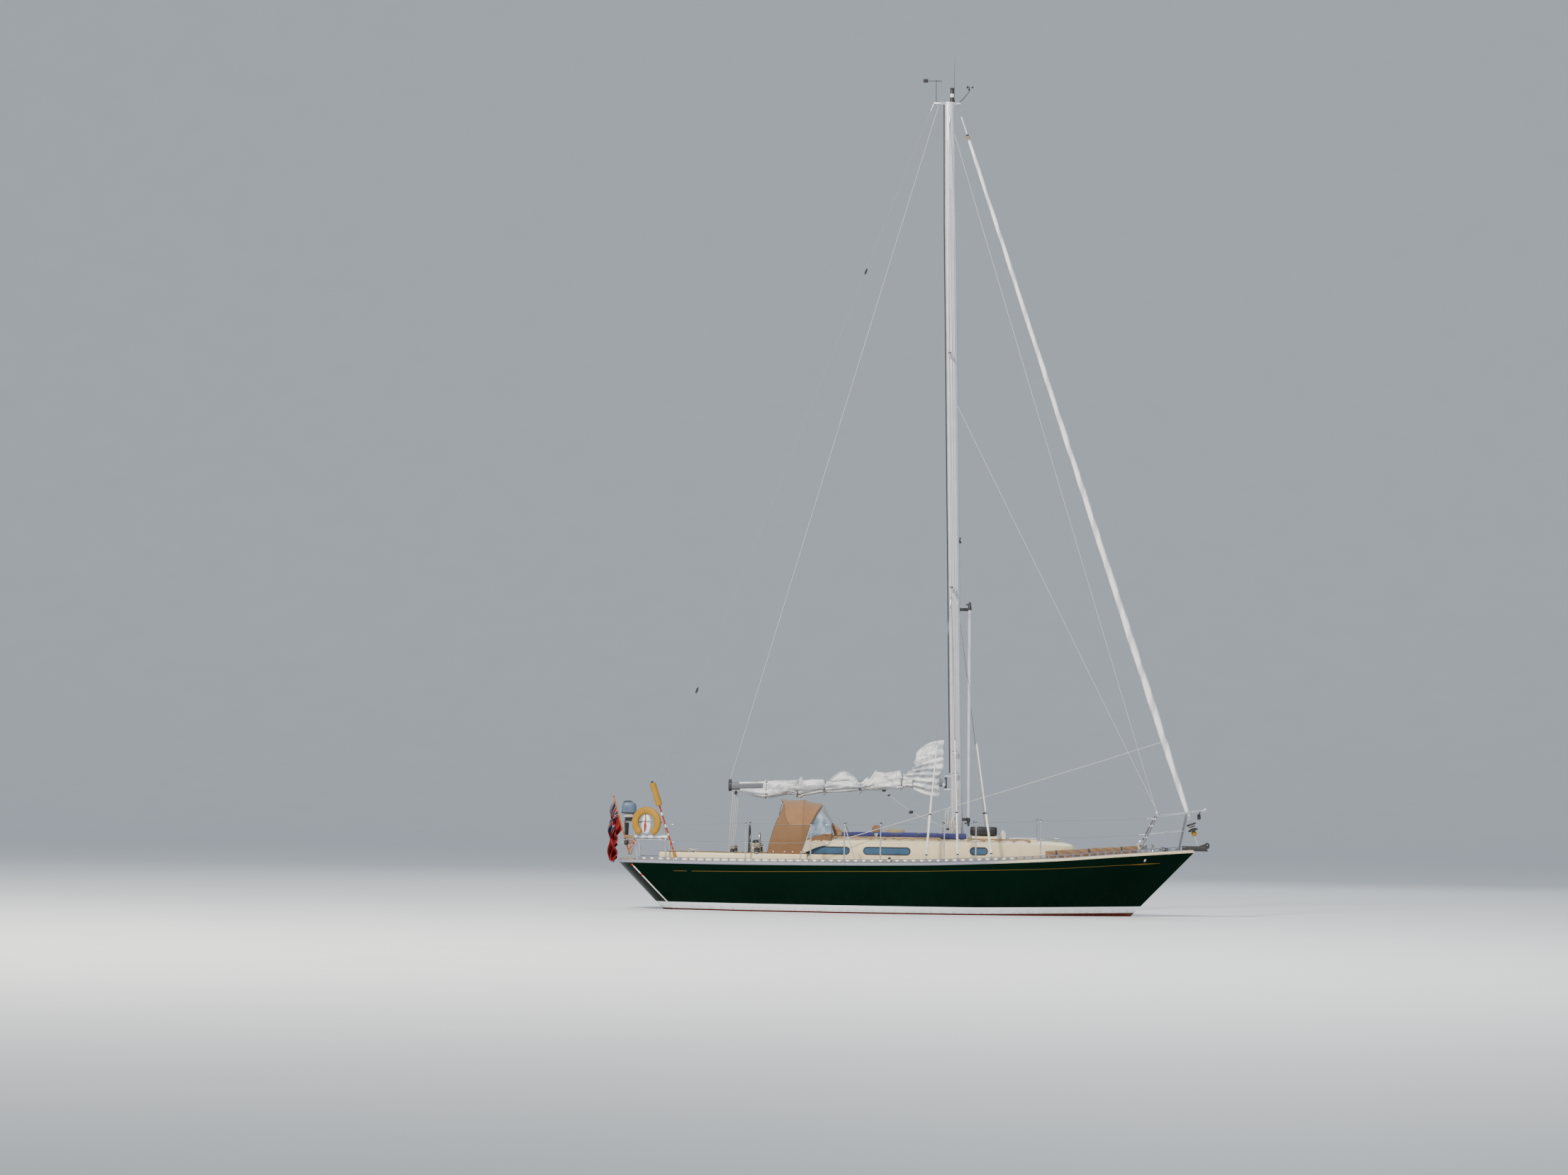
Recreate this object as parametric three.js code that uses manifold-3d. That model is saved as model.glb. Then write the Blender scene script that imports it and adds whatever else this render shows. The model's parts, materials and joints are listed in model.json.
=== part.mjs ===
// Sailing yacht afloat, about 10.8 m long over her bow roller.
// Millimetres: +X to the bow, +Y to port, +Z up; z = 0 is the waterline, x = 0 its middle.
import * as THREE from 'three';
import { mergeVertices } from 'three/addons/utils/BufferGeometryUtils.js';
import Module from 'manifold-3d';

const wasm = await Module();
wasm.setup();

const V = (x, y, z) => new THREE.Vector3(x, y, z);
const GAP = 0.3;
const SIDES = [['port', 1], ['starboard', -1]];

// Driving dimensions
const STERN_X = -4810;
const BOW_X = 5460;
const TRANSOM_BULGE = 250;
const TRANSOM_RAKE = 0.982;
const STEM_RAKE = 0.966;
const RAKE_SPREAD = 4;
const DECK_EDGE = 35;
const DECK_CAMBER = 70;
const MAX_BEAM = 1600;
const MAST_FOOT = V(1118, 0, 1425);
const MAST_HEAD = V(790, 0, 14900);
const MAST_CHORD = 215;
const MAST_WIDTH = 135;
const GOOSENECK = V(905, 0, 2385);
const BOOM_END_X = -3040;
const STAY_TOP = V(1112, 0, 14348);
const STAY_FOOT = V(5337, 0, 1867);
const WHEEL_CENTRE = V(-2665, 0, 1195);
const WHEEL_RADIUS = 375;
const RUDDER_AXIS_X = -3480;
const PROP_CENTRE = V(-2640, 0, -720);
const SHAFT_EXIT = V(-1700, 0, -502);
const SEAT_Z = 600;
const SOLE_Z = 220;
const CABIN_SOLE_Z = -300;
const COAMING_Z = 1050;

// Colour, roughness and metalness of each material
const FINISH = {
  green: [0x0b2b21, 0.12, 0],
  antifoul: [0x5d1a1c, 0.7, 0],
  cream: [0xe9e2cf, 0.35, 0],
  teak: [0xa98c66, 0.75, 0],
  alloy: [0xc3c7c9, 0.4, 0.9],
  steel: [0xd5d8da, 0.2, 1],
  bronze: [0xa67b45, 0.35, 1],
  glass: [0x24384a, 0.08, 0],
  sail: [0xf1f0ec, 0.85, 0],
  canvas: [0xcaa47c, 0.9, 0],
  blue: [0x1e3f8f, 0.9, 0],
  red: [0xb01822, 0.85, 0],
  yellow: [0xf2bd12, 0.6, 0],
  black: [0x1a1b1d, 0.6, 0],
  varnish: [0x8a4b22, 0.25, 0],
  iron: [0x4a4d50, 0.7, 0.3],
};

const yacht = new THREE.Group();

function addPiece(name, geometry, finish) {
  const [color, roughness, metalness] = FINISH[finish];
  const closed = asGeometry(asSolid(geometry));
  const mesh = new THREE.Mesh(closed, new THREE.MeshStandardMaterial({ color, roughness, metalness }));
  mesh.name = name;
  yacht.add(mesh);
}

// Closed mesh from a flat list of points and triangles
function meshOf(points, triangles) {
  const geometry = new THREE.BufferGeometry();
  const numbers = points.flatMap((p) => [p.x, p.y, p.z]);
  geometry.setAttribute('position', new THREE.Float32BufferAttribute(numbers, 3));
  geometry.setIndex(triangles);
  return geometry;
}

// Solid from a closed geometry, turned so that its faces point out
function asSolid(geometry) {
  let bare = geometry.clone();
  bare.deleteAttribute('normal');
  bare.deleteAttribute('uv');
  bare = mergeVertices(bare, 0.01);
  const xyz = bare.attributes.position.array;
  let tri = Array.from(bare.index.array);
  let volume = 0;
  for (let i = 0; i < tri.length; i += 3) {
    const [a, b, c] = [0, 1, 2].map((k) => V().fromArray(xyz, 3 * tri[i + k]));
    volume += a.dot(b.cross(c));
  }
  if (volume < 0) tri = tri.reverse();
  const vertProperties = new Float32Array(xyz);
  const triVerts = new Uint32Array(tri);
  return new wasm.Manifold(new wasm.Mesh({ numProp: 3, vertProperties, triVerts }));
}

function asGeometry(solid) {
  const mesh = solid.getMesh();
  const geometry = new THREE.BufferGeometry();
  geometry.setAttribute('position', new THREE.BufferAttribute(new Float32Array(mesh.vertProperties), 3));
  geometry.setIndex(new THREE.BufferAttribute(new Uint32Array(mesh.triVerts), 1));
  return geometry;
}

const join = (...shapes) => asGeometry(shapes.map(asSolid).reduce((all, next) => all.add(next)));
const cut = (body, ...tools) => {
  const start = asSolid(body);
  return asGeometry(tools.map(asSolid).reduce((all, next) => all.subtract(next), start));
};
const keep = (body, tool) => asGeometry(asSolid(body).intersect(asSolid(tool)));

// Body through a row of closed rings that have the same number of points
function loft(rings) {
  const n = rings[0].length;
  const points = rings.flat();
  const triangles = [];
  for (let i = 0; i + 1 < rings.length; i += 1) {
    for (let j = 0; j < n; j += 1) {
      const a = i * n + j;
      const b = i * n + ((j + 1) % n);
      triangles.push(a, b, a + n, b, b + n, a + n);
    }
  }
  [[0, 1], [rings.length - 1, -1]].forEach(([row, turn]) => {
    const middle = rings[row].reduce((sum, p) => sum.add(p), V(0, 0, 0)).divideScalar(n);
    const hub = points.push(middle) - 1;
    for (let j = 0; j < n; j += 1) {
      const a = row * n + j;
      const b = row * n + ((j + 1) % n);
      triangles.push(...(turn > 0 ? [b, a, hub] : [a, b, hub]));
    }
  });
  return meshOf(points, triangles);
}

// Closed plate between an upper and a lower surface over the same grid
function plate(upper, lower, rows, columns) {
  const rings = rows.map((r) => [
    ...columns.map((c) => upper(r, c)),
    ...[...columns].reverse().map((c) => lower(r, c)),
  ]);
  const n = columns.length;
  const points = rings.flat();
  const triangles = [];
  for (let i = 0; i + 1 < rows.length; i += 1) {
    for (let j = 0; j < 2 * n; j += 1) {
      const a = i * 2 * n + j;
      const b = i * 2 * n + ((j + 1) % (2 * n));
      triangles.push(a, b, a + 2 * n, b, b + 2 * n, a + 2 * n);
    }
  }
  [[0, 1], [rows.length - 1, -1]].forEach(([row, turn]) => {
    for (let j = 0; j + 1 < n; j += 1) {
      const base = row * 2 * n;
      const [a, b, c, d] = [base + j, base + j + 1, base + 2 * n - 2 - j, base + 2 * n - 1 - j];
      triangles.push(...(turn > 0 ? [b, a, c, a, d, c] : [a, b, c, a, c, d]));
    }
  });
  return meshOf(points, triangles);
}

function box(x0, x1, y0, y1, z0, z1) {
  const geometry = new THREE.BoxGeometry(x1 - x0, y1 - y0, z1 - z0);
  return geometry.translate((x0 + x1) / 2, (y0 + y1) / 2, (z0 + z1) / 2);
}

// Round bar from one point to another
function rod(from, to, radius, sides = 6, endRadius = radius) {
  const along = to.clone().sub(from);
  const geometry = new THREE.CylinderGeometry(endRadius, radius, along.length(), sides);
  const turn = new THREE.Quaternion().setFromUnitVectors(V(0, 1, 0), along.clone().normalize());
  const middle = from.clone().add(to).divideScalar(2);
  return geometry.applyQuaternion(turn).translate(middle.x, middle.y, middle.z);
}

// Round tube bent along a smooth curve through the points
function bentTube(points, radius, steps, sides = 6) {
  const shape = new THREE.Shape(circle(radius, sides));
  const extrudePath = new THREE.CatmullRomCurve3(points);
  return new THREE.ExtrudeGeometry(shape, { steps, extrudePath, bevelEnabled: false });
}

function circle(radius, sides) {
  return Array.from({ length: sides }, (_, i) => {
    const angle = (2 * Math.PI * i) / sides;
    return new THREE.Vector2(radius * Math.cos(angle), radius * Math.sin(angle));
  });
}

// Upright prism over an outline of [x, y] pairs
function prism(outline, z0, z1) {
  const shape = new THREE.Shape(outline.map(([x, y]) => new THREE.Vector2(x, y)));
  return new THREE.ExtrudeGeometry(shape, { depth: z1 - z0, bevelEnabled: false }).translate(0, 0, z0);
}

// Smooth value at x through the rows of a table, one column at a time
function smooth(rows, column, x) {
  const last = rows.length - 1;
  const i = Math.min(Math.max(rows.findIndex((row) => row.x > x) - 1, 0), last - 1);
  const k = rows[last].x <= x ? last - 1 : i;
  const slope = (m) => {
    const [p, q] = [rows[Math.max(m - 1, 0)], rows[Math.min(m + 1, last)]];
    return (q[column] - p[column]) / (q.x - p.x);
  };
  const [a, b] = [rows[k], rows[k + 1]];
  const width = b.x - a.x;
  const t = Math.min(Math.max((x - a.x) / width, 0), 1);
  const [t2, t3] = [t * t, t * t * t];
  return (2 * t3 - 3 * t2 + 1) * a[column] + (t3 - 2 * t2 + t) * width * slope(k)
    + (3 * t2 - 2 * t3) * b[column] + (t3 - t2) * width * slope(k + 1);
}

// Hull lines: x at the sheer, half beam, sheer height, bottom height and roundness of the section
const HULL_LINES = [
  { x: -4810, beam: 700, sheer: 855, bottom: -100, round: 0.8 },
  { x: -4000, beam: 980, sheer: 851, bottom: -240, round: 0.85 },
  { x: -2700, beam: 1350, sheer: 853, bottom: -410, round: 0.9 },
  { x: -1000, beam: 1570, sheer: 870, bottom: -545, round: 0.95 },
  { x: 0, beam: 1600, sheer: 886, bottom: -565, round: 0.95 },
  { x: 1000, beam: 1560, sheer: 911, bottom: -550, round: 1 },
  { x: 2840, beam: 1190, sheer: 1000, bottom: -420, round: 1.1 },
  { x: 4100, beam: 720, sheer: 1095, bottom: -270, round: 1.25 },
  { x: 4900, beam: 330, sheer: 1152, bottom: -150, round: 1.3 },
  { x: 5460, beam: 25, sheer: 1190, bottom: -60, round: 1.3 },
];
const hullAt = (column, x) => smooth(HULL_LINES, column, x);
const STATIONS = Array.from({ length: 22 }, (_, i) => STERN_X + ((BOW_X - STERN_X) * i) / 21);
const ACROSS = [-1, -0.75, -0.5, -0.25, 0, 0.25, 0.5, 0.75, 1];

// Point on the hull at a sheer station x and an angle from the keel (0) to the sheer (90 degrees)
function hullPoint(x, angle, side, grow = 0) {
  const u = (x - STERN_X) / (BOW_X - STERN_X);
  const top = hullAt('sheer', x);
  const bottom = hullAt('bottom', x) - grow;
  const z = top - (top - bottom) * Math.cos(angle);
  const rake = STEM_RAKE * u ** RAKE_SPREAD - TRANSOM_RAKE * (1 - u) ** RAKE_SPREAD;
  const y = (hullAt('beam', x) + grow) * Math.sin(angle) ** hullAt('round', x);
  return V(x + (z - top) * rake, side * y, z);
}

// Girth of the hull at a station, from the port sheer under the keel to the starboard sheer
function hullRing(x, grow = 0, steps = 8) {
  const angles = Array.from({ length: steps }, (_, j) => ((j + 1) * Math.PI) / 2 / steps);
  return [
    ...[...angles].reverse().map((angle) => hullPoint(x, angle, 1, grow)),
    hullPoint(x, 0, 1, grow),
    ...angles.map((angle) => hullPoint(x, angle, -1, grow)),
  ];
}

const transomRing = (share, grow) => hullRing(STERN_X, grow)
  .map((p) => V(p.x - TRANSOM_BULGE * (1 - share * share), p.y * share, p.z));
const hullBody = (grow = 0) => loft([
  ...[0.01, 0.25, 0.5, 0.75].map((share) => transomRing(share, grow)),
  ...STATIONS.map((x) => hullRing(x, grow)),
]);

// Deck surface: edge height above the sheer plus camber; t runs from starboard (-1) to port (1)
function deckPoint(x, t, lift) {
  const bulge = x <= STERN_X ? TRANSOM_BULGE * (1 - t * t) : 0;
  const beam = hullAt('beam', x);
  return V(x - bulge, t * beam, hullAt('sheer', x) + lift + (DECK_CAMBER * beam * (1 - t * t)) / MAX_BEAM);
}
const deckBody = (upperLift, lowerLift) => plate(
  (x, t) => deckPoint(x, t, upperLift), (x, t) => deckPoint(x, t, lowerLift), STATIONS, ACROSS);
const deckZ = (x, y) => deckPoint(x, y / hullAt('beam', x), DECK_EDGE).z;
const belowDeck = deckBody(DECK_EDGE + GAP, -1500);

// Coachroof lines: half width at the deck and height of the roof's middle
const ROOF_LINES = [
  { x: -1970, width: 900, roof: 1365 },
  { x: -1000, width: 935, roof: 1368 },
  { x: 0, width: 940, roof: 1370 },
  { x: 1000, width: 880, roof: 1368 },
  { x: 1900, width: 760, roof: 1364 },
  { x: 2600, width: 600, roof: 1356 },
  { x: 3050, width: 430, roof: 1330 },
  { x: 3230, width: 280, roof: 1285 },
  { x: 3300, width: 120, roof: 1220 },
];
const WALL = 45;
const HATCH_Z = 1374;
const VALISE_Z = 1420;

function roofRing(x, inset) {
  const width = smooth(ROOF_LINES, 'width', x) - inset;
  const roof = smooth(ROOF_LINES, 'roof', x) - inset;
  const edge = Math.max(width - 120, width * 0.4);
  const side = width - edge;
  const half = [
    [width, 650], [width - side * 0.1, 960],
    [width - side * 0.52, roof - 112], [width - side * 0.66, roof - 74],
    [edge, roof - 52], [edge * 0.66, roof - 23], [edge * 0.33, roof - 6],
  ];
  return [
    ...half.map(([y, z]) => V(x, y, z)), V(x, 0, roof), ...[...half].reverse().map(([y, z]) => V(x, -y, z)),
  ];
}
const roofLoft = (xs, inset) => loft(xs.map((x) => roofRing(x, inset)));
const ROOF_STATIONS = [-1970, -1000, 0, 900, 1800, 2400, 2800, 3050, 3180, 3260, 3300];
const INNER_STATIONS = [-1925, -1000, 0, 900, 1800, 2400, 2800, 3040, 3160, 3230];
const roofTopZ = (x) => smooth(ROOF_LINES, 'roof', x);

// Oval windows: aft end, fore end and middle height of each, the same on both sides
const WINDOWS = [
  { name: 'aft', x0: -1620, x1: -830, z: 1125 },
  { name: 'middle', x0: -570, x1: 270, z: 1128 },
  { name: 'forward', x0: 1360, x1: 1670, z: 1150 },
];
const WINDOW_HEIGHT = 125;

function windowPrism(opening, side, shrink) {
  const r = WINDOW_HEIGHT / 2 - shrink;
  const [x0, x1] = [opening.x0 + WINDOW_HEIGHT / 2, opening.x1 - WINDOW_HEIGHT / 2];
  const arc = (x, from) => Array.from({ length: 6 }, (_, i) => {
    const angle = from + (Math.PI * i) / 5;
    return new THREE.Vector2(x + r * Math.cos(angle), r * Math.sin(angle));
  });
  const shape = new THREE.Shape([...arc(x1, -Math.PI / 2), ...arc(x0, Math.PI / 2)]);
  const geometry = new THREE.ExtrudeGeometry(shape, { depth: 700, bevelEnabled: false }).rotateX(Math.PI / 2);
  return geometry.translate(0, side > 0 ? 1150 : -450, opening.z);
}

// Cockpit well outline: aft and fore half widths
const WELL = { aftX: -3950, foreX: -2080, aftY: 610, foreY: 830 };
const wellOutline = (grow) => [
  [WELL.aftX - grow, -WELL.aftY - grow], [WELL.foreX + grow, -WELL.foreY - grow],
  [WELL.foreX + grow, WELL.foreY + grow], [WELL.aftX - grow, WELL.aftY + grow],
];

// Hull with its cockpit well, accommodation and the holes for rudder stock and shaft
function makeHull() {
  const shaftDirection = SHAFT_EXIT.clone().sub(PROP_CENTRE).normalize();
  const shaftHole = rod(PROP_CENTRE, SHAFT_EXIT.clone().addScaledVector(shaftDirection, 120), 18, 8);
  const stockHole = rod(V(RUDDER_AXIS_X, 0, -400), V(RUDDER_AXIS_X, 0, 60), 33, 10);
  const well = prism(wellOutline(0), SEAT_Z, 1500);
  const footwell = box(-3850, -2200, -320, 320, SOLE_Z, 1500);
  const inside = loft(STATIONS.filter((x) => x > -2800 && x < 3900)
    .map((x) => hullRing(x, -55).map((p, i) => (i === 0 || i === 16 ? V(p.x, p.y, 1500) : p))));
  const cabin = keep(inside, box(-1900, 2950, -1500, 1500, CABIN_SOLE_Z, 1600));
  return cut(hullBody(), shaftHole, stockHole, well, footwell, cabin);
}

function makeDeck() {
  const roofFoot = prism([
    ...INNER_STATIONS.map((x) => [x, smooth(ROOF_LINES, 'width', x) - WALL - 30]),
    ...[...INNER_STATIONS].reverse().map((x) => [x, -(smooth(ROOF_LINES, 'width', x) - WALL - 30)]),
  ], 500, 1600);
  return cut(deckBody(DECK_EDGE, GAP), prism(wellOutline(0), 500, 1600), roofFoot);
}

function makeCoachroof() {
  const companion = box(-2100, -1300, -300, 300, 975, 1600);
  const forehatch = box(2080, 2560, -240, 240, 1250, 1600);
  const windows = WINDOWS.flatMap((w) => SIDES.map(([, side]) => windowPrism(w, side, 0)));
  const runners = SIDES.flatMap(([, side]) => [
    box(-1970, -680, side * 362 - 12, side * 362 + 12, 1320, 1406),
    box(-1970, -680, side * 350 - 24, side * 350 + 24, 1320, HATCH_Z - GAP),
  ]);
  const chocks = box(1400, 1870, -225, 225, 1330, VALISE_Z - GAP);
  const coaming = cut(box(2045, 2595, -275, 275, 1290, 1374), box(2080, 2560, -240, 240, 1200, 1600));
  const inside = roofLoft(INNER_STATIONS, WALL);
  const shell = cut(roofLoft(ROOF_STATIONS, 0), inside, belowDeck, companion, forehatch, ...windows);
  return join(shell, coaming, chocks, ...runners);
}

function makePane(opening, side) {
  return cut(keep(windowPrism(opening, side, GAP), roofLoft(ROOF_STATIONS, 12)), roofLoft(ROOF_STATIONS, 24));
}

// Fin, skeg or rudder blade: rows of height, aft edge, fore edge and thickness
function foil(rows) {
  const count = 14;
  return loft(rows.map(([z, aft, fore, thick]) => Array.from({ length: count }, (_, i) => {
    const angle = (2 * Math.PI * i) / count;
    const reach = Math.cos(angle);
    const half = (thick / 2) * (0.75 + 0.35 * reach);
    return V((aft + fore) / 2 + ((fore - aft) / 2) * reach, half * Math.sin(angle), z);
  })));
}

const grownHull = hullBody(GAP);

const makeKeel = () => cut(foil([
  [-300, -1050, 1650, 330], [-560, -960, 1560, 290], [-1100, -860, 1150, 240],
  [-1560, -780, 800, 230], [-1700, -740, 690, 150],
]), grownHull);

const SKEG_AFT = RUDDER_AXIS_X + 48;

function makeSkeg() {
  const blade = foil([
    [-120, SKEG_AFT, -2890, 110], [-700, SKEG_AFT, -3060, 90],
    [-1290, SKEG_AFT, -3230, 60], [-1345, SKEG_AFT, -3260, 50],
  ]);
  const shoe = box(RUDDER_AXIS_X - 45, SKEG_AFT + 60, -22, 22, -1345, -1311);
  const bearing = rod(V(RUDDER_AXIS_X, 0, -1400), V(RUDDER_AXIS_X, 0, -1250), 15, 16);
  return cut(join(blade, shoe), grownHull, bearing);
}

function makeRudder() {
  const noseX = RUDDER_AXIS_X + 34;
  const blade = foil([[-265, -4010, noseX, 72], [-800, -4020, noseX, 62], [-1305, -3900, noseX, 46]]);
  const stock = rod(V(RUDDER_AXIS_X, 0, -320), V(RUDDER_AXIS_X, 0, 40), 28, 10);
  const pintle = rod(V(RUDDER_AXIS_X, 0, -1340), V(RUDDER_AXIS_X, 0, -1290), 14.4, 16);
  return join(blade, stock, pintle);
}

// Three-blade propeller turned about its shaft line, with the shaft in one piece
function makePropeller() {
  const direction = SHAFT_EXIT.clone().sub(PROP_CENTRE).normalize();
  const turn = new THREE.Quaternion().setFromUnitVectors(V(1, 0, 0), direction);
  const hub = new THREE.LatheGeometry([[0, -70], [18, -60], [34, -20], [34, 45], [0, 45]]
    .map(([r, h]) => new THREE.Vector2(r, h)), 12).rotateZ(-Math.PI / 2);
  const blades = [0, 1, 2].map((i) => {
    const blade = new THREE.SphereGeometry(1, 8, 5).scale(9, 62, 92).rotateZ(0.6).translate(0, 0, 108);
    return blade.rotateX((i * 2 * Math.PI) / 3);
  });
  const shaft = rod(V(20, 0, 0), V(1010, 0, 0), 13.2, 12);
  const whole = join(hub, shaft, ...blades);
  return whole.applyQuaternion(turn).translate(PROP_CENTRE.x, PROP_CENTRE.y, PROP_CENTRE.z);
}

function makeShaftBracket() {
  const direction = SHAFT_EXIT.clone().sub(PROP_CENTRE).normalize();
  const at = (distance) => PROP_CENTRE.clone().addScaledVector(direction, distance);
  const barrel = rod(at(110), at(230), 34, 10);
  const strut = rod(at(170), at(170).add(V(60, 0, 420)), 20, 8);
  return cut(join(barrel, strut), grownHull, rod(at(50), at(300), 14, 12));
}

// Perforated toe rail along one side of the deck
function makeToeRail(side) {
  const rows = STATIONS.filter((x) => x > -4700 && x < 5300);
  const inner = 38;
  const outer = inner - 12;
  const foot = inner + 22;
  const edgeZ = (x) => hullAt('sheer', x) + DECK_EDGE;
  const at = (x, lift, inset) => V(x, side * (hullAt('beam', x) - inset), edgeZ(x) + lift);
  const rings = rows.map((x) => [at(x, 14, inner), at(x, 72, inner), at(x, 72, outer), at(x, 14, outer)]);
  const feet = rows.map((x) => [at(x, -20, foot), at(x, 18, foot), at(x, 18, outer), at(x, -20, outer)]);
  return cut(join(loft(rings), loft(feet)), belowDeck);
}

// Cockpit coaming: plan points as x, inner and outer half width, joined across the stern
function makeCoaming() {
  const rows = [
    [-1600, 945, 1110], [-2100, 900, 1110], [-2800, 775, 1060], [-3500, 690, 940], [-4020, 630, 790],
  ];
  const arms = SIDES.map(([, side]) => loft(rows.map(([x, inner, outer]) => [
    V(x, side * inner, 700), V(x, side * (inner + 12), COAMING_Z),
    V(x, side * (outer - 40), COAMING_Z), V(x, side * outer, 700),
  ])));
  const aft = box(-4290, -3960, -640, 640, 800, COAMING_Z);
  return cut(join(...arms, aft), belowDeck, prism(wellOutline(0), 500, COAMING_Z + 1));
}

// Locker lids on the seats, hinged at their outboard edges
const LID = { x0: -2900, x1: -2180, inner: 345, outer: 720, thick: 25 };
const makeLid = (side) => box(LID.x0, LID.x1, Math.min(side * LID.inner, side * LID.outer),
  Math.max(side * LID.inner, side * LID.outer), SEAT_Z + GAP, SEAT_Z + LID.thick);

const PEDESTAL_X = -2540;

function makePedestal() {
  const column = rod(V(PEDESTAL_X, 0, SOLE_Z + GAP), V(PEDESTAL_X, 0, 1130), 85, 12, 62);
  const head = box(PEDESTAL_X - 75, PEDESTAL_X + 75, -75, 75, 1110, 1290);
  const guard = bentTube([
    V(PEDESTAL_X + 60, -170, SOLE_Z + GAP), V(PEDESTAL_X + 60, -170, 1200), V(PEDESTAL_X + 60, -120, 1420),
    V(PEDESTAL_X + 60, 120, 1420), V(PEDESTAL_X + 60, 170, 1200), V(PEDESTAL_X + 60, 170, SOLE_Z + GAP),
  ], 14, 28);
  const stays = rod(V(PEDESTAL_X + 60, -172, 1150), V(PEDESTAL_X + 60, 172, 1150), 12);
  return cut(join(column, head, guard, stays), box(-2700, -2450, -300, 300, 100, SOLE_Z + GAP));
}

function makeWheel() {
  const rim = new THREE.TorusGeometry(WHEEL_RADIUS - 14, 14, 6, 26).rotateY(Math.PI / 2);
  const spokes = [0, 1, 2, 3, 4, 5].map((i) => rod(V(0, 0, 0), V(0, 0, WHEEL_RADIUS - 14), 7, 5)
    .rotateX((i * Math.PI) / 3));
  const hub = rod(V(-25, 0, 0), V(25, 0, 0), 38, 12);
  const shaft = rod(V(0, 0, 0), V(PEDESTAL_X - 75 - GAP - WHEEL_CENTRE.x, 0, 0), 12, 8);
  return join(rim, hub, shaft, ...spokes).translate(WHEEL_CENTRE.x, WHEEL_CENTRE.y, WHEEL_CENTRE.z);
}

// Sheet winches on the coaming: x, half width and drum radius
const WINCHES = [
  { name: 'primary', x: -2500, y: 985, radius: 68, height: 165 },
  { name: 'secondary', x: -2950, y: 925, radius: 50, height: 125 },
];

function makeWinch({ x, y, radius, height }, side) {
  const profile = [
    [0, 0], [1, 0], [1, 0.1], [0.72, 0.2], [0.68, 0.62],
    [0.95, 0.76], [0.95, 0.9], [0.55, 0.93], [0.5, 1], [0, 1],
  ].map(([r, h]) => new THREE.Vector2(r * radius, h * height));
  return new THREE.LatheGeometry(profile, 12).rotateX(Math.PI / 2).translate(x, side * y, COAMING_Z + GAP);
}

const TRACK_X = -3020;
const makeTrack = () => join(
  box(TRACK_X - 22, TRACK_X + 22, -700, 700, 650, 690),
  ...SIDES.map(([, side]) => box(
    TRACK_X - 30, TRACK_X + 30, side * 500 - 60, side * 500 + 60, SEAT_Z + GAP, 655)),
);

// Folding hood: fore and aft hoops with cloth between, open aft and below
const HOOD = { half: 1010, thick: 14 };

function hoodPoint(u, angle, inset) {
  const hoops = [
    { x: -2320, top: 2040, lean: 200, half: 0, foot: 0 }, { x: -1700, top: 2030, lean: 40, half: 0, foot: 0 },
    { x: -1360, top: 1965, lean: 30, half: -90, foot: 150 },
    { x: -1190, top: 1690, lean: 15, half: -140, foot: 175 },
    { x: -1140, top: 1345, lean: 0, half: -190, foot: 200 },
  ];
  const { x, top, lean, half, foot } = hoops[u];
  const rise = Math.sin(angle) ** 0.62;
  const across = Math.cos(angle) ** 0.5 || 0;
  const base = COAMING_Z + 1 + GAP + foot;
  const back = u > 2 ? inset : 0;
  return V(x + lean * rise - back, (HOOD.half + half - inset) * across * (angle > Math.PI / 2 ? -1 : 1),
    base + (top - base - inset) * rise);
}

function makeSprayhood() {
  const angles = Array.from({ length: 15 }, (_, i) => (Math.PI * i) / 14);
  const fold = (angle) => (angle > Math.PI / 2 ? Math.PI - angle : angle);
  const at = (u, angle, inset) => {
    const p = hoodPoint(u, fold(angle), inset);
    return V(p.x, angle > Math.PI / 2 + 1e-6 ? -p.y : p.y, p.z);
  };
  const shell = plate((u, a) => at(u, a, 0), (u, a) => at(u, a, HOOD.thick), [0, 1, 2, 3, 4], angles);
  return cut(shell, box(-2500, -1000, -1200, 1200, 900, COAMING_Z + 1 + GAP), roofLoft(ROOF_STATIONS, -GAP),
    box(-2010, -1000, -382, 382, 1300, 1412));
}

const mastAt = (z) => MAST_FOOT.clone().lerp(MAST_HEAD, (z - MAST_FOOT.z) / (MAST_HEAD.z - MAST_FOOT.z));

const VANE = { x: 545, z: 15290 };
const CUPS = { x: 1150, z: 15180 };

// Spreaders: height, half length and sweep aft
const SPREADERS = [
  { z: 5900, reach: 820, sweep: 60 },
  { z: 10190, reach: 600, sweep: 45 },
];
const spreaderTip = ({ z, reach, sweep }, side) => mastAt(z).add(V(-sweep, side * reach, 30));

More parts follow.
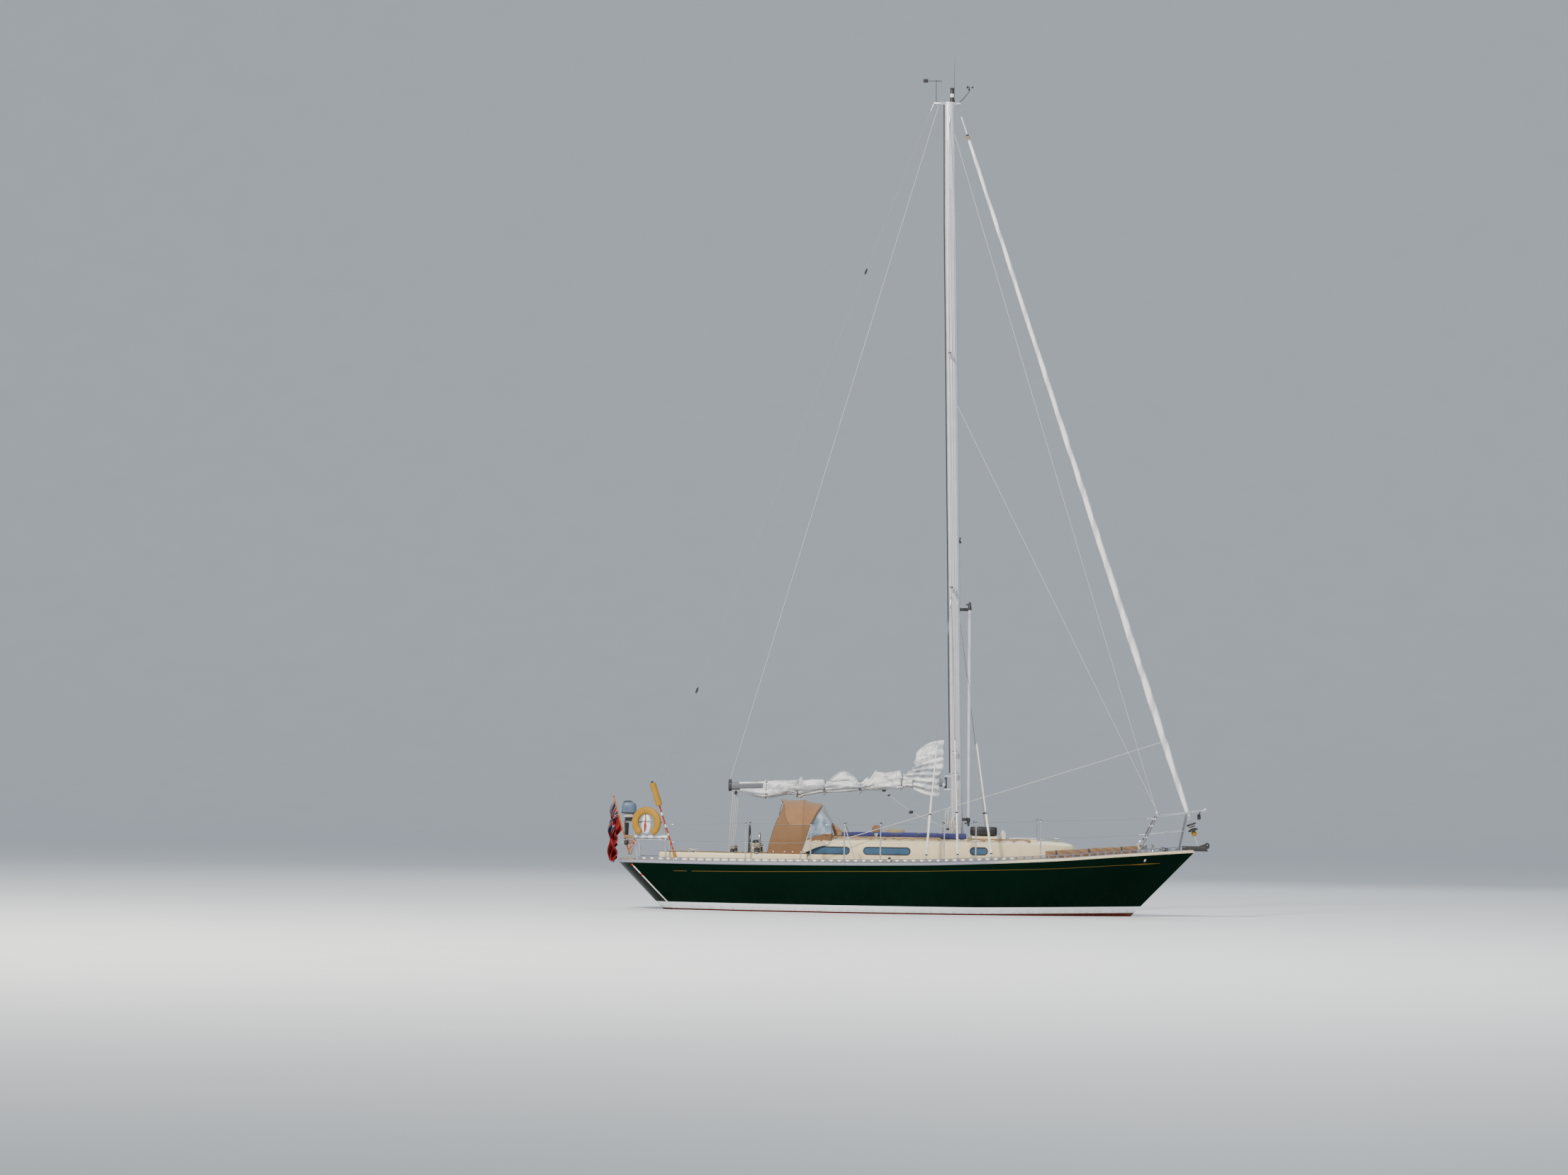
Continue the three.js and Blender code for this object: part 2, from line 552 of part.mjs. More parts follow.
function makeMast() {
  const oval = Array.from({ length: 14 }, (_, i) => {
    const angle = (2 * Math.PI * i) / 14;
    return [(MAST_CHORD / 2) * Math.cos(angle), (MAST_WIDTH / 2) * Math.sin(angle)];
  });
  const tube = loft([[MAST_FOOT, 1], [mastAt(12600), 1], [MAST_HEAD, 0.82]].map(([centre, scale]) => oval
    .map(([x, y]) => V(centre.x + x * scale, y * scale, centre.z))));
  const stepLow = roofTopZ(MAST_FOOT.x) + GAP;
  const step = box(MAST_FOOT.x - 150, MAST_FOOT.x + 150, -95, 95, stepLow, MAST_FOOT.z + 20);
  const crane = box(506, 1000, -32, 32, MAST_HEAD.z - 45, MAST_HEAD.z - 5);
  const arms = SPREADERS.flatMap((spreader) => SIDES.map(([, side]) => rod(
    mastAt(spreader.z), spreaderTip(spreader, side), 26, 8, 16)));
  const lugs = [[2252, 2276], [2494, 2518]].map(([z0, z1]) => cut(
    box(GOOSENECK.x - 32, 1030, -32, 32, z0, z1),
    rod(V(GOOSENECK.x, 0, 2210), V(GOOSENECK.x, 0, 2560), 10, 12)));
  const whip = rod(V(880, 60, MAST_HEAD.z - 40), V(880, 60, 15740), 5, 6, 3);
  const whipFoot = box(840, 920, 0, 75, MAST_HEAD.z - 60, MAST_HEAD.z - 20);
  const light = rod(V(838, 0, MAST_HEAD.z - 30), V(838, 0, MAST_HEAD.z + 230), 28, 8);
  const vanePost = rod(V(VANE.x, 0, MAST_HEAD.z - 20), V(VANE.x, 0, VANE.z - 6), 7);
  const cupArm = rod(V(960, 0, MAST_HEAD.z - 20), V(CUPS.x, 0, CUPS.z - 100), 8);
  const cupPost = rod(V(CUPS.x, 0, CUPS.z - 140), V(CUPS.x, 0, CUPS.z - 26), 10);
  const stay = rod(STAY_TOP, V(935, 0, 14875), 7);
  const poleCups = [1720, 5560].map((z) => box(mastAt(z).x, 1262, -30, 30, z - 30, z + 30));
  const whole = join(
    tube, step, crane, ...arms, ...lugs, whipFoot, whip, light, vanePost, cupArm, cupPost, stay, ...poleCups);
  return cut(whole, roofLoft(ROOF_STATIONS, -GAP));
}

function makeVane() {
  const arrow = rod(V(-235, 0, 0), V(95, 0, 0), 5);
  const tail = box(-240, -150, -3, 3, -34, 34);
  const hub = rod(V(0, 0, -6 + GAP), V(0, 0, 12), 11, 8);
  return join(arrow, tail, hub).translate(VANE.x, 0, VANE.z);
}

function makeCups() {
  const hub = rod(V(0, 0, -26 + GAP), V(0, 0, 6), 10, 8);
  const cups = [0, 1, 2].flatMap((i) => [
    rod(V(0, 0, 0), V(62, 0, 0), 3, 5),
    new THREE.SphereGeometry(20, 6, 4).translate(62, 0, 0),
  ].map((shape) => shape.rotateZ((i * 2 * Math.PI) / 3)));
  return join(hub, ...cups).translate(CUPS.x, 0, CUPS.z);
}

const makePole = () => cut(rod(V(1330, 0, 1600), V(1298, 0, 5700), 35, 10),
  ...[1720, 5560].map((z) => box(1000, 1262 + GAP, -40, 40, z - 40, z + 40)));

// The boom droops aft: half width, half height and the fall of its axis from gooseneck to end
const BOOM = { half: 45, deep: 67.5, fall: 125 };
const BOOM_TILT = -Math.atan2(BOOM.fall, GOOSENECK.x - BOOM_END_X);

// Box along the drooping boom; heights are measured from its axis
const boomBox = (x0, x1, half, low, high) => box(x0, x1, -half, half, low, high)
  .translate(-GOOSENECK.x, 0, 0).rotateY(BOOM_TILT).translate(GOOSENECK.x, 0, GOOSENECK.z);

function makeBoom() {
  const { half, deep } = BOOM;
  const beam = boomBox(BOOM_END_X, 845, half, -deep, deep);
  const cap = boomBox(BOOM_END_X - 30, BOOM_END_X + 30, half + 8, -deep - 20, deep + 20);
  const { x, z } = GOOSENECK;
  const knuckle = box(830, x, -22, 22, z - 65, z + 65);
  const barrel = rod(V(x, 0, z - 104), V(x, 0, z + 104), 22, 10);
  const pin = rod(V(x, 0, z - 140), V(x, 0, z + 140), 9.3, 12);
  return join(beam, cap, knuckle, barrel, pin);
}

// Loosely tied mainsail: x, half width, bottom and top of the bundle along the boom
const BUNDLE = [
  { x: -2840, width: 62, bottom: 2150, top: 2345 },
  { x: -2400, width: 85, bottom: 2040, top: 2365 },
  { x: -2130, width: 100, bottom: 2080, top: 2390 },
  { x: -1790, width: 120, bottom: 2065, top: 2425 },
  { x: -1400, width: 125, bottom: 2150, top: 2440 },
  { x: -1010, width: 130, bottom: 2170, top: 2545 },
  { x: -690, width: 125, bottom: 2205, top: 2420 },
  { x: -400, width: 135, bottom: 2225, top: 2585 },
  { x: 60, width: 145, bottom: 2250, top: 2600 },
  { x: 200, width: 150, bottom: 2285, top: 2560 },
  { x: 400, width: 150, bottom: 2238, top: 2690 },
  { x: 560, width: 140, bottom: 2185, top: 2800 },
  { x: 740, width: 110, bottom: 2140, top: 2900 },
  { x: 850, width: 50, bottom: 2150, top: 2900 },
];

function makeMainsail() {
  const count = 14;
  const roll = loft(BUNDLE.map(({ x, width, bottom, top }) => Array.from({ length: count }, (_, i) => {
    const angle = (2 * Math.PI * i) / count;
    return V(x, width * Math.cos(angle), (bottom + top) / 2 + ((top - bottom) / 2) * Math.sin(angle));
  })));
  const stack = loft([
    [2420, 390, 850, 100], [2800, 375, 850, 110], [2990, 490, 850, 85],
    [3090, 590, 850, 55], [3165, 690, 850, 30],
  ].map(([z, aft, fore, thick]) => Array.from({ length: 12 }, (_, i) => {
      const angle = (2 * Math.PI * i) / 12;
      return V((aft + fore) / 2 + ((fore - aft) / 2) * Math.cos(angle), thick * Math.sin(angle), z);
    })));
  return cut(join(roll, stack), boomBox(BOOM_END_X, 860, BOOM.half + 3, -BOOM.deep - 60, BOOM.deep + GAP),
    box(800, 1000, -40, 40, 2200, 2560));
}

const stayDirection = STAY_FOOT.clone().sub(STAY_TOP).normalize();
const onStay = (z) => STAY_FOOT.clone().addScaledVector(stayDirection, (STAY_FOOT.z - z) / -stayDirection.z);

// Furled genoa on its foil: height and radius
const GENOA = [
  [14320, 12], [14215, 14], [14190, 30], [12000, 38], [8000, 50], [5000, 62], [3500, 64],
  [2300, 50], [1800, 38], [1755, 15], [1719.35, 15],
];
const DRUM = { low: 1575, radius: 95 };

function ringAcross(centre, radius, sides) {
  const ahead = V(0, 1, 0);
  const up = stayDirection.clone().cross(ahead).normalize();
  return Array.from({ length: sides }, (_, i) => {
    const angle = (2 * Math.PI * i) / sides;
    const aside = centre.clone().addScaledVector(ahead, radius * Math.cos(angle));
    return aside.addScaledVector(up, radius * Math.sin(angle));
  });
}

const makeGenoa = () => loft(GENOA.map(([z, radius]) => ringAcross(onStay(z), radius, 12)));
const makeDrum = () => loft([[1, 0], [1, 14], [0.55, 16], [0.55, 128], [1, 130], [1, 144]]
  .map(([share, rise]) => ringAcross(onStay(DRUM.low + rise), DRUM.radius * share, 16)));

function makeStemhead() {
  const cheeks = SIDES.map(([, side]) => prism([
    [5240, side * 30], [5730, side * 30], [5730, side * 42], [5240, side * 42],
  ], 1215, 1300));
  const nose = rod(V(5690, -60, 1320), V(5690, 60, 1320), 45, 12);
  const floor = box(5240, 5700, -42, 42, 1205, 1240);
  const toggle = rod(V(onStay(1240).x, 0, 1230), onStay(DRUM.low - 1), 14, 8);
  return cut(join(...cheeks, nose, floor, toggle), belowDeck);
}

// Shroud feet on deck and their upper ends on the mast
const LOWERS = [
  { name: 'forward_lower', x: 1750, y: 1330, top: 5760, fore: 60 },
  { name: 'aft_lower', x: 550, y: 1440, top: 5760, fore: -60 },
];
const CAP = { x: 1130, y: 1430 };
const BACKSTAY = [V(-4860, 0, 925), V(505 - GAP, 0, MAST_HEAD.z - 28)];

function makeCapShroud(side) {
  const points = [
    V(CAP.x, side * CAP.y, deckZ(CAP.x, CAP.y) + GAP),
    spreaderTip(SPREADERS[0], side).add(V(0, side * 22, 0)),
    spreaderTip(SPREADERS[1], side).add(V(0, side * 22, 0)),
    mastAt(14650).add(V(0, side * (MAST_WIDTH / 2 - 3), 0)),
  ];
  const wires = points.slice(1).map((p, i) => rod(points[i], p, 6));
  const cover = rod(points[0], points[0].clone().lerp(points[1], 0.14), 17, 8);
  return cut(join(cover, ...wires), belowDeck);
}

function makeLower({ x, y, top, fore }, side) {
  const foot = V(x, side * y, deckZ(x, y) + GAP);
  const head = mastAt(top).add(V(fore, side * (MAST_WIDTH / 2 + 4), 0));
  return cut(join(rod(foot, foot.clone().lerp(head, 0.14), 17, 8), rod(foot, head, 6)), belowDeck);
}

const makeBackstay = () => cut(join(
  rod(BACKSTAY[0], BACKSTAY[1], 6),
  rod(BACKSTAY[0], BACKSTAY[0].clone().lerp(BACKSTAY[1], 0.03), 16, 8)), belowDeck, makeMast());

// Stanchions along each side: x and whether a gate brace runs aft (-1) or forward (1)
const STANCHIONS = [
  { x: -2700, brace: 0 }, { x: -1520, brace: -1 }, { x: -915, brace: 1 }, { x: -265, brace: 0 },
  { x: 880, brace: 0 }, { x: 1450, brace: 0 }, { x: 2620, brace: 0 },
];
const RAIL_INSET = 88;
const RAIL_HEIGHT = 695;
const railPoint = (x, side, share) => V(x, side * (hullAt('beam', x) - RAIL_INSET),
  hullAt('sheer', x) + DECK_EDGE + 12 + RAIL_HEIGHT * share);

function makeGuardrail(side) {
  const posts = STANCHIONS.map(({ x }) => rod(railPoint(x, side, 0), railPoint(x, side, 1), 12));
  const braces = STANCHIONS.filter(({ brace }) => brace).map(({ x, brace }) => rod(
    railPoint(x + brace * 215, side, 0), railPoint(x, side, 0.96), 9));
  const wires = [[0.5, 1230, 1500], [0.97, 1545, 1800]].flatMap(([share, aftZ, foreZ]) => {
    const points = [
      atHeight(pushpitLeg(side), aftZ), ...STANCHIONS.map(({ x }) => railPoint(x, side, share)),
      atHeight(pulpitLeg(side), foreZ),
    ];
    return points.slice(1).map((point, i) => rod(points[i], point, 5, 5));
  });
  return cut(join(...posts, ...braces, ...wires), belowDeck, makePushpit(GAP), makePulpit(GAP));
}

const PUSHPIT = { topZ: 1580, midZ: 1270 };
const PULPIT = { aftX: 4750, topZ: 1835, midZ: 1505, foreFootX: 5160, foreTopX: 5312 };

const pushpitLeg = (side) => [
  V(-4150, side * (hullAt('beam', -4150) - RAIL_INSET), 870),
  V(-4190, side * (hullAt('beam', -4190) - RAIL_INSET), PUSHPIT.topZ),
];
const pulpitLeg = (side) => [
  V(4400, side * (hullAt('beam', 4400) - RAIL_INSET), 1100),
  V(PULPIT.aftX, side * (hullAt('beam', PULPIT.aftX) - 40), PULPIT.topZ),
];
const atHeight = ([low, high], z) => low.clone().lerp(high, (z - low.z) / (high.z - low.z));

function makePushpit(grow = 0) {
  const sideY = (x) => hullAt('beam', x) - RAIL_INSET;
  const loop = (z) => bentTube([
    V(-4150, sideY(-4150), z), V(-4500, sideY(-4500), z), V(-4800, 540, z), V(-4960, 250, z),
    V(-4960, -250, z), V(-4800, -540, z), V(-4500, -sideY(-4500), z), V(-4150, -sideY(-4150), z),
  ], 13 + grow, 22);
  const legs = SIDES.flatMap(([, side]) => [
    rod(...pushpitLeg(side), 13 + grow),
    rod(V(-4680, side * 590, deckZ(-4680, 590) - 30), V(-4760, side * 570, PUSHPIT.topZ), 13 + grow),
  ]);
  return cut(join(loop(PUSHPIT.topZ), loop(PUSHPIT.midZ), ...legs), belowDeck);
}

const pulpitForeLeg = (side) => [
  V(PULPIT.foreFootX, side * (hullAt('beam', PULPIT.foreFootX) - 85), 1150),
  V(PULPIT.foreTopX, side * 124, 1884),
];

function makePulpit(grow = 0) {
  const wide = (x) => hullAt('beam', x) - 40;
  const [aftX, midX, foreX] = [PULPIT.aftX, 5205, 5660];
  const [low, rise] = [PULPIT.topZ, 112];
  const loop = bentTube([
    V(aftX, wide(aftX), low), V(midX, 135, low + rise / 2), V(foreX - 60, 110, low + rise),
    V(foreX, 0, low + rise), V(foreX - 60, -110, low + rise), V(midX, -135, low + rise / 2),
    V(aftX, -wide(aftX), low),
  ], 13 + grow, 20);
  const legs = SIDES.flatMap(([, side]) => [
    rod(...pulpitLeg(side), 13 + grow), rod(...pulpitForeLeg(side), 13 + grow),
  ]);
  const mids = SIDES.map(([, side]) => rod(
    atHeight(pulpitLeg(side), PULPIT.midZ), atHeight(pulpitForeLeg(side), 1575), 11 + grow));
  return cut(join(loop, ...legs, ...mids), belowDeck);
}

function makeWindlass() {
  const base = box(4380, 4620, -110, 110, 1000, 1290);
  const drum = rod(V(4500, -190, 1330), V(4500, 190, 1330), 62, 12);
  const bitts = SIDES.map(([, side]) => rod(V(4700, side * 60, 1100), V(4700, side * 60, 1350), 22, 8));
  const bridge = box(4600, 4710, -75, 75, 1000, 1262);
  return cut(join(base, drum, bridge, ...bitts), belowDeck);
}

// Horseshoe lifebuoy hung on the starboard quarter of the pushpit
const BUOY = { x: -4520, z: 1575, radius: 225, tube: 52, turn: -0.38 };

function makeLifebuoy() {
  const path = Array.from({ length: 15 }, (_, i) => {
    const angle = Math.PI * (-0.28 + (1.56 * i) / 14);
    return V(BUOY.radius * Math.cos(angle), 0, BUOY.radius * Math.sin(angle));
  });
  const rail = hullAt('beam', BUOY.x) - RAIL_INSET;
  const ring = bentTube(path, BUOY.tube, 28, 8).rotateZ(BUOY.turn).translate(BUOY.x, -rail - 58, BUOY.z);
  return cut(ring, makePushpit(GAP));
}

function makeDanbuoy() {
  const y = -(hullAt('beam', -4168) - RAIL_INSET + 48);
  const foot = V(-3960, y, 870);
  const top = V(-4430, y, 2330);
  const along = (share) => foot.clone().lerp(top, share);
  const whole = join(rod(foot, top, 13), rod(along(0.74), top, 50, 10), rod(foot, along(0.16), 34, 8));
  return cut(whole, belowDeck, makePushpit(GAP));
}

function makeOutboard() {
  const cowl = box(-5025, -4800, 340, 530, 1750, 1960);
  const neck = box(-4995, -4905, 385, 485, 1500, 1760);
  const leg = box(-4990, -4900, 400, 470, 1170, 1650);
  const gear = rod(V(-5040, 435, 1175), V(-4850, 435, 1175), 36, 8);
  const clamp = box(-4935, -4800, 380, 490, 1585, 1670);
  return cut(join(cowl, neck, leg, gear, clamp), makePushpit(GAP));
}

// Limp ensign: height, fore edge, aft edge and half depth of its folds
const ENSIGN = [
  [1950, -5138, -5180, 14], [1850, -5108, -5215, 30], [1600, -5036, -5250, 50],
  [1300, -5068, -5270, 60], [1000, -5075, -5280, 62], [790, -5080, -5250, 45],
];
const STAFF_Y = -170;

const makeEnsign = () => cut(loft(ENSIGN.map(([z, fore, aft, depth]) => Array.from({ length: 10 }, (_, i) => {
  const angle = (2 * Math.PI * i) / 10;
  return V((aft + fore) / 2 + ((fore - aft) / 2) * Math.cos(angle), STAFF_Y + depth * Math.sin(angle), z);
}))), makeStaff(GAP));

const STAFF_FOOT = V(-4835, STAFF_Y, 920);
const STAFF_TOP = V(-5160, STAFF_Y, 2045);
const makeStaff = (grow = 0) => rod(STAFF_FOOT, STAFF_TOP, 15 + grow, 8, 11 + grow);

addPiece('hull', makeHull(), 'green');
addPiece('deck', makeDeck(), 'teak');
addPiece('coachroof', makeCoachroof(), 'cream');
addPiece('keel', makeKeel(), 'antifoul');
addPiece('skeg', makeSkeg(), 'antifoul');
addPiece('rudder', makeRudder(), 'antifoul');
addPiece('propeller', makePropeller(), 'bronze');
addPiece('shaft_bracket', makeShaftBracket(), 'bronze');
addPiece('engine', box(-1800, -1100, -230, 230, CABIN_SOLE_Z + GAP, 260), 'iron');
SIDES.forEach(([name, side]) => addPiece(`toe_rail_${name}`, makeToeRail(side), 'alloy'));
WINDOWS.forEach((opening) => SIDES.forEach(([name, side]) => addPiece(
  `window_${opening.name}_${name}`, makePane(opening, side), 'glass')));
addPiece('companionway_hatch', box(-1995, -1290, -345, 345, HATCH_Z, HATCH_Z + 30), 'cream');
addPiece('washboards', box(-1962, -1938, -300 + GAP, 300 - GAP, 975 + GAP, HATCH_Z - 6), 'teak');
addPiece('forehatch', box(2045, 2595, -275, 275, 1374 + GAP, 1404), 'cream');
addPiece('cockpit_coaming', makeCoaming(), 'cream');
SIDES.forEach(([name, side]) => addPiece(`locker_lid_${name}`, makeLid(side), 'teak'));
addPiece('steering_pedestal', makePedestal(), 'cream');
addPiece('steering_wheel', makeWheel(), 'black');
WINCHES.forEach((winch) => SIDES.forEach(([name, side]) => addPiece(
  `winch_${winch.name}_${name}`, makeWinch(winch, side), 'steel')));
addPiece('mainsheet_track', makeTrack(), 'alloy');
addPiece('sprayhood', makeSprayhood(), 'canvas');
addPiece('mast', makeMast(), 'alloy');
addPiece('spinnaker_pole', makePole(), 'alloy');
addPiece('boom', makeBoom(), 'alloy');
addPiece('mainsail', makeMainsail(), 'sail');
addPiece('furled_genoa', makeGenoa(), 'sail');
addPiece('furler_drum', makeDrum(), 'black');
addPiece('backstay', makeBackstay(), 'steel');
SIDES.forEach(([name, side]) => {
  addPiece(`cap_shroud_${name}`, makeCapShroud(side), 'steel');
  LOWERS.forEach((lower) => addPiece(`${lower.name}_${name}`, makeLower(lower, side), 'steel'));
  addPiece(`guardrail_${name}`, makeGuardrail(side), 'steel');
});
addPiece('pulpit', makePulpit(), 'steel');
addPiece('pushpit', makePushpit(), 'steel');
addPiece('stemhead_roller', makeStemhead(), 'black');
addPiece('windlass', makeWindlass(), 'steel');
addPiece('ensign_staff', cut(makeStaff(), belowDeck, makePushpit(GAP)), 'varnish');
addPiece('ensign', makeEnsign(), 'red');
addPiece('lifebuoy', makeLifebuoy(), 'yellow');
addPiece('danbuoy', makeDanbuoy(), 'yellow');
addPiece('outboard_motor', makeOutboard(), 'iron');
addPiece('canvas_roll', rod(V(-990, -470, 1413.8), V(1300, -470, 1413.8), 62, 12), 'blue');
addPiece('valise', box(1360, 1860, -240, 240, VALISE_Z, 1600), 'black');
addPiece('wind_vane', makeVane(), 'black');
addPiece('anemometer', makeCups(), 'black');

export default yacht;
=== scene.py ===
"""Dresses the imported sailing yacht: smooth skins, cloth, rigging, fittings and their finishes.

Metres, +X to the bow, +Y to port, +Z up; z = 0 is the waterline.
"""

import json
import math

import bmesh
import bpy
import numpy as np
from mathutils import Matrix, Vector
from mathutils.bvhtree import BVHTree

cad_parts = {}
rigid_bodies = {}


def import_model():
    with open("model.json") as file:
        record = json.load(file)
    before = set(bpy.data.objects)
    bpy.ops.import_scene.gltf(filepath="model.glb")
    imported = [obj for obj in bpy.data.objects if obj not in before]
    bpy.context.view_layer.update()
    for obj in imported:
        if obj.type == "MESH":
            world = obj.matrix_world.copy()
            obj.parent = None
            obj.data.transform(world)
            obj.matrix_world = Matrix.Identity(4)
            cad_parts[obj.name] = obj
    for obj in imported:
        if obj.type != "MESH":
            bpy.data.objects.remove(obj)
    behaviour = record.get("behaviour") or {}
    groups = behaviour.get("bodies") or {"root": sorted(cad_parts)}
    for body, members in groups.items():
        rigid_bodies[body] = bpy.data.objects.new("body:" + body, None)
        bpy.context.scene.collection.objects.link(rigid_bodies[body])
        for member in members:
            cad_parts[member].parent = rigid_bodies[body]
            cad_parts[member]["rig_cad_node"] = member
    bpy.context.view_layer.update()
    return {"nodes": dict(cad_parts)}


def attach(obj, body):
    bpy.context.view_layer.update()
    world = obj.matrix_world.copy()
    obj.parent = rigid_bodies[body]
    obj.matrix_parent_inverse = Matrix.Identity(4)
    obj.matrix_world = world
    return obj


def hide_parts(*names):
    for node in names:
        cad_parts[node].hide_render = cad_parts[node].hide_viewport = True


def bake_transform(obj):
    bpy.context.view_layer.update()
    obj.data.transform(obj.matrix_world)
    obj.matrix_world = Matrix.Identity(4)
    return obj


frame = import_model()

bl_info = {
    "name": "Sailing Yacht Dresser",
    "version": (1, 0, 0),
    "blender": (4, 5, 0),
    "location": "View3D > Sidebar > Yacht",
    "description": "Builds the skins, cloth, rigging and fittings of a sailing yacht round its frame",
    "category": "Object",
}

SIDES = (("port", 1), ("starboard", -1))
TAU = 2 * math.pi
# Camera read off the photograph: sensor and lens in mm, point aimed at and distance in m, angles in degrees
CAMERA = {"sensor": 36, "lens": 112.7, "aim": (-2.11, 0, 5.916), "away": 90,
          "azimuth": 1.4, "elevation": -2.5, "roll": .92}
FOREHATCH = (2.32, 0, 0)
# Rails: where the pushpit's and the pulpit's after legs stand, and the height of their tops
PUSHPIT_X, PUSHPIT_TOP, PULPIT_X, PULPIT_TOP = -4.15, 1.58, 4.75, 1.835
# Sprayhood: height at which its clear film ends, least height over the sliding hatch, top of its base strip,
# and the first rows of its grid that are film and apron
FILM_FOOT, OVER_HATCH, HOOD_BASE_TOP = 1.42, 1.428, 1.31
FILM_ROW, APRON_ROW = 56, 82

# Hull lines: x at the sheer, half beam, sheer height, bottom height, roundness of the section
HULL_LINES = np.array([
    (-4.81, .70, .855, -.10, .8), (-4.0, .98, .851, -.24, .85), (-2.7, 1.35, .853, -.41, .9),
    (-1.0, 1.57, .870, -.545, .95), (0, 1.6, .886, -.565, .95), (1.0, 1.56, .911, -.55, 1),
    (2.84, 1.19, 1.0, -.42, 1.1), (4.1, .72, 1.095, -.27, 1.25), (4.9, .33, 1.152, -.15, 1.3),
    (5.46, .025, 1.19, -.06, 1.3)])
BEAM, SHEER, BOTTOM, ROUND = 1, 2, 3, 4
STERN_X, BOW_X = -4.81, 5.46
TRANSOM_BULGE, TRANSOM_RAKE, STEM_RAKE, RAKE_SPREAD = .25, .982, .966, 4
DECK_EDGE, DECK_CAMBER = .035, .07 / 1.6

# Coachroof lines: x, half width at the deck, height of the roof's middle
ROOF_LINES = np.array([
    (-1.97, .9, 1.365), (-1.0, .935, 1.368), (0, .94, 1.37), (1.0, .88, 1.368), (1.9, .76, 1.364),
    (2.6, .6, 1.356), (3.05, .43, 1.33), (3.23, .28, 1.285), (3.3, .12, 1.22)])
ROOF_WIDTH, ROOF_TOP = 1, 2
WALL = .045
HATCH_Z = 1.374
COAMING_Z = 1.0495
WINDOWS = (("aft", -1.62, -.83, 1.125), ("middle", -.57, .27, 1.128), ("forward", 1.36, 1.67, 1.15))
WINDOW_HEIGHT = .125

WELL = {"aft_x": -3.95, "fore_x": -2.08, "aft_y": .61, "fore_y": .83}
FOOTWELL = {"aft_x": -3.85, "fore_x": -2.2, "half": .32}
SEAT_Z, SOLE_Z, CABIN_SOLE_Z = .6, .22, -.3

MAST_FOOT = np.array((1.118, 0, 1.425))
MAST_HEAD = np.array((.79, 0, 14.9))
MAST_CHORD, MAST_WIDTH = .215, .135
GOOSENECK = np.array((.905, 0, 2.385))
BOOM_END_X, BOOM_SLOPE = -3.04, .125 / 3.945
STAY_TOP = np.array((1.112, 0, 14.348))
STAY_FOOT = np.array((5.337, 0, 1.867))
SPREADERS = ((5.9, .82, .06), (10.19, .6, .045))
RAIL_INSET, RAIL_HEIGHT = .088, .695
STANCHIONS = ((-2.7, 0), (-1.52, -1), (-.915, 1), (-.265, 0), (.88, 0), (1.45, 0), (2.62, 0))


# ---------------------------------------------------------------- curves and surfaces

def round_angles(count):
    """Angles of a full turn, evenly spaced, without the last one that would repeat the first."""
    return np.linspace(0, TAU, count, endpoint=False)


def flat_hoop(ring, inner, outer, low, high):
    """A flat hoop's grid from ring(radius, place): out at one edge, along, and in at the other."""
    return np.stack([ring(inner, low), ring(outer, low), ring(outer, high), ring(inner, high), ring(inner, low)])


def round_bar(path, out, up, radius, sides):
    """Rings of a round bar along a closed path, which out and up lie across."""
    section = round_angles(sides)[:, None, None]
    return path[None] + radius * (np.cos(section) * out[None] + np.sin(section) * up)


def signed_power(v, n):
    """Power of a value's size with its sign kept, which turns a circle's sine and cosine into a superellipse's."""
    return np.sign(v) * np.abs(v)**n


def vec(*numbers):
    return np.array(numbers, float)


def unit(v):
    v = np.asarray(v, float)
    return v / np.maximum(np.linalg.norm(v, axis=-1, keepdims=True), 1e-12)


def smooth(table, column, x):
    """Cubic Hermite curve through a table's rows; each row's slope is that of the line joining its neighbours."""
    xs, ys = table[:, 0], table[:, column]
    before, after = np.maximum(np.arange(len(xs)) - 1, 0), np.minimum(np.arange(len(xs)) + 1, len(xs) - 1)
    slope = (ys[after] - ys[before]) / (xs[after] - xs[before])
    x = np.asarray(x, float)
    k = np.clip(np.searchsorted(xs, x, "right") - 1, 0, len(xs) - 2)
    width = xs[k + 1] - xs[k]
    t = np.clip((x - xs[k]) / width, 0, 1)
    return ((2 * t**3 - 3 * t**2 + 1) * ys[k] + (t**3 - 2 * t**2 + t) * width * slope[k]
            + (3 * t**2 - 2 * t**3) * ys[k + 1] + (t**3 - t**2) * width * slope[k + 1])


def curve(points, count):
    """Catmull-Rom curve through the points, sampled evenly by point number."""
    p = np.asarray(points, float)
    p = np.vstack([2 * p[0] - p[1], p, 2 * p[-1] - p[-2]])
    s = np.linspace(0, len(p) - 3, count)
    k = np.minimum(s.astype(int), len(p) - 4)
    t = (s - k)[:, None]
    a, b, c, d = p[k], p[k + 1], p[k + 2], p[k + 3]
    return .5 * (2 * b + (c - a) * t + (2 * a - 5 * b + 4 * c - d) * t**2 + (3 * b - a - 3 * c + d) * t**3)


def line(a, b, count=2):
    return vec(*a) + (vec(*b) - vec(*a)) * np.linspace(0, 1, count)[:, None]


def soften(ring, rounds=2):
    """Corner cutting: each edge of an open line gives its quarter points, and the ends stay."""
    for _ in range(rounds):
        a, b = ring[:-1], ring[1:]
        cut = np.stack([.75 * a + .25 * b, .25 * a + .75 * b], 1).reshape(-1, ring.shape[1])
        ring = np.vstack([ring[:1], cut[1:-1], ring[-1:]])
    return ring


def side_axes(path):
    """Two unit directions across a path at each point, from its tangent and the direction it moves in least."""
    tangent = unit(np.gradient(path, axis=0))
    least = np.linalg.svd(tangent)[2][-1]
    across = unit(np.cross(least, tangent))
    return across, np.cross(tangent, across)


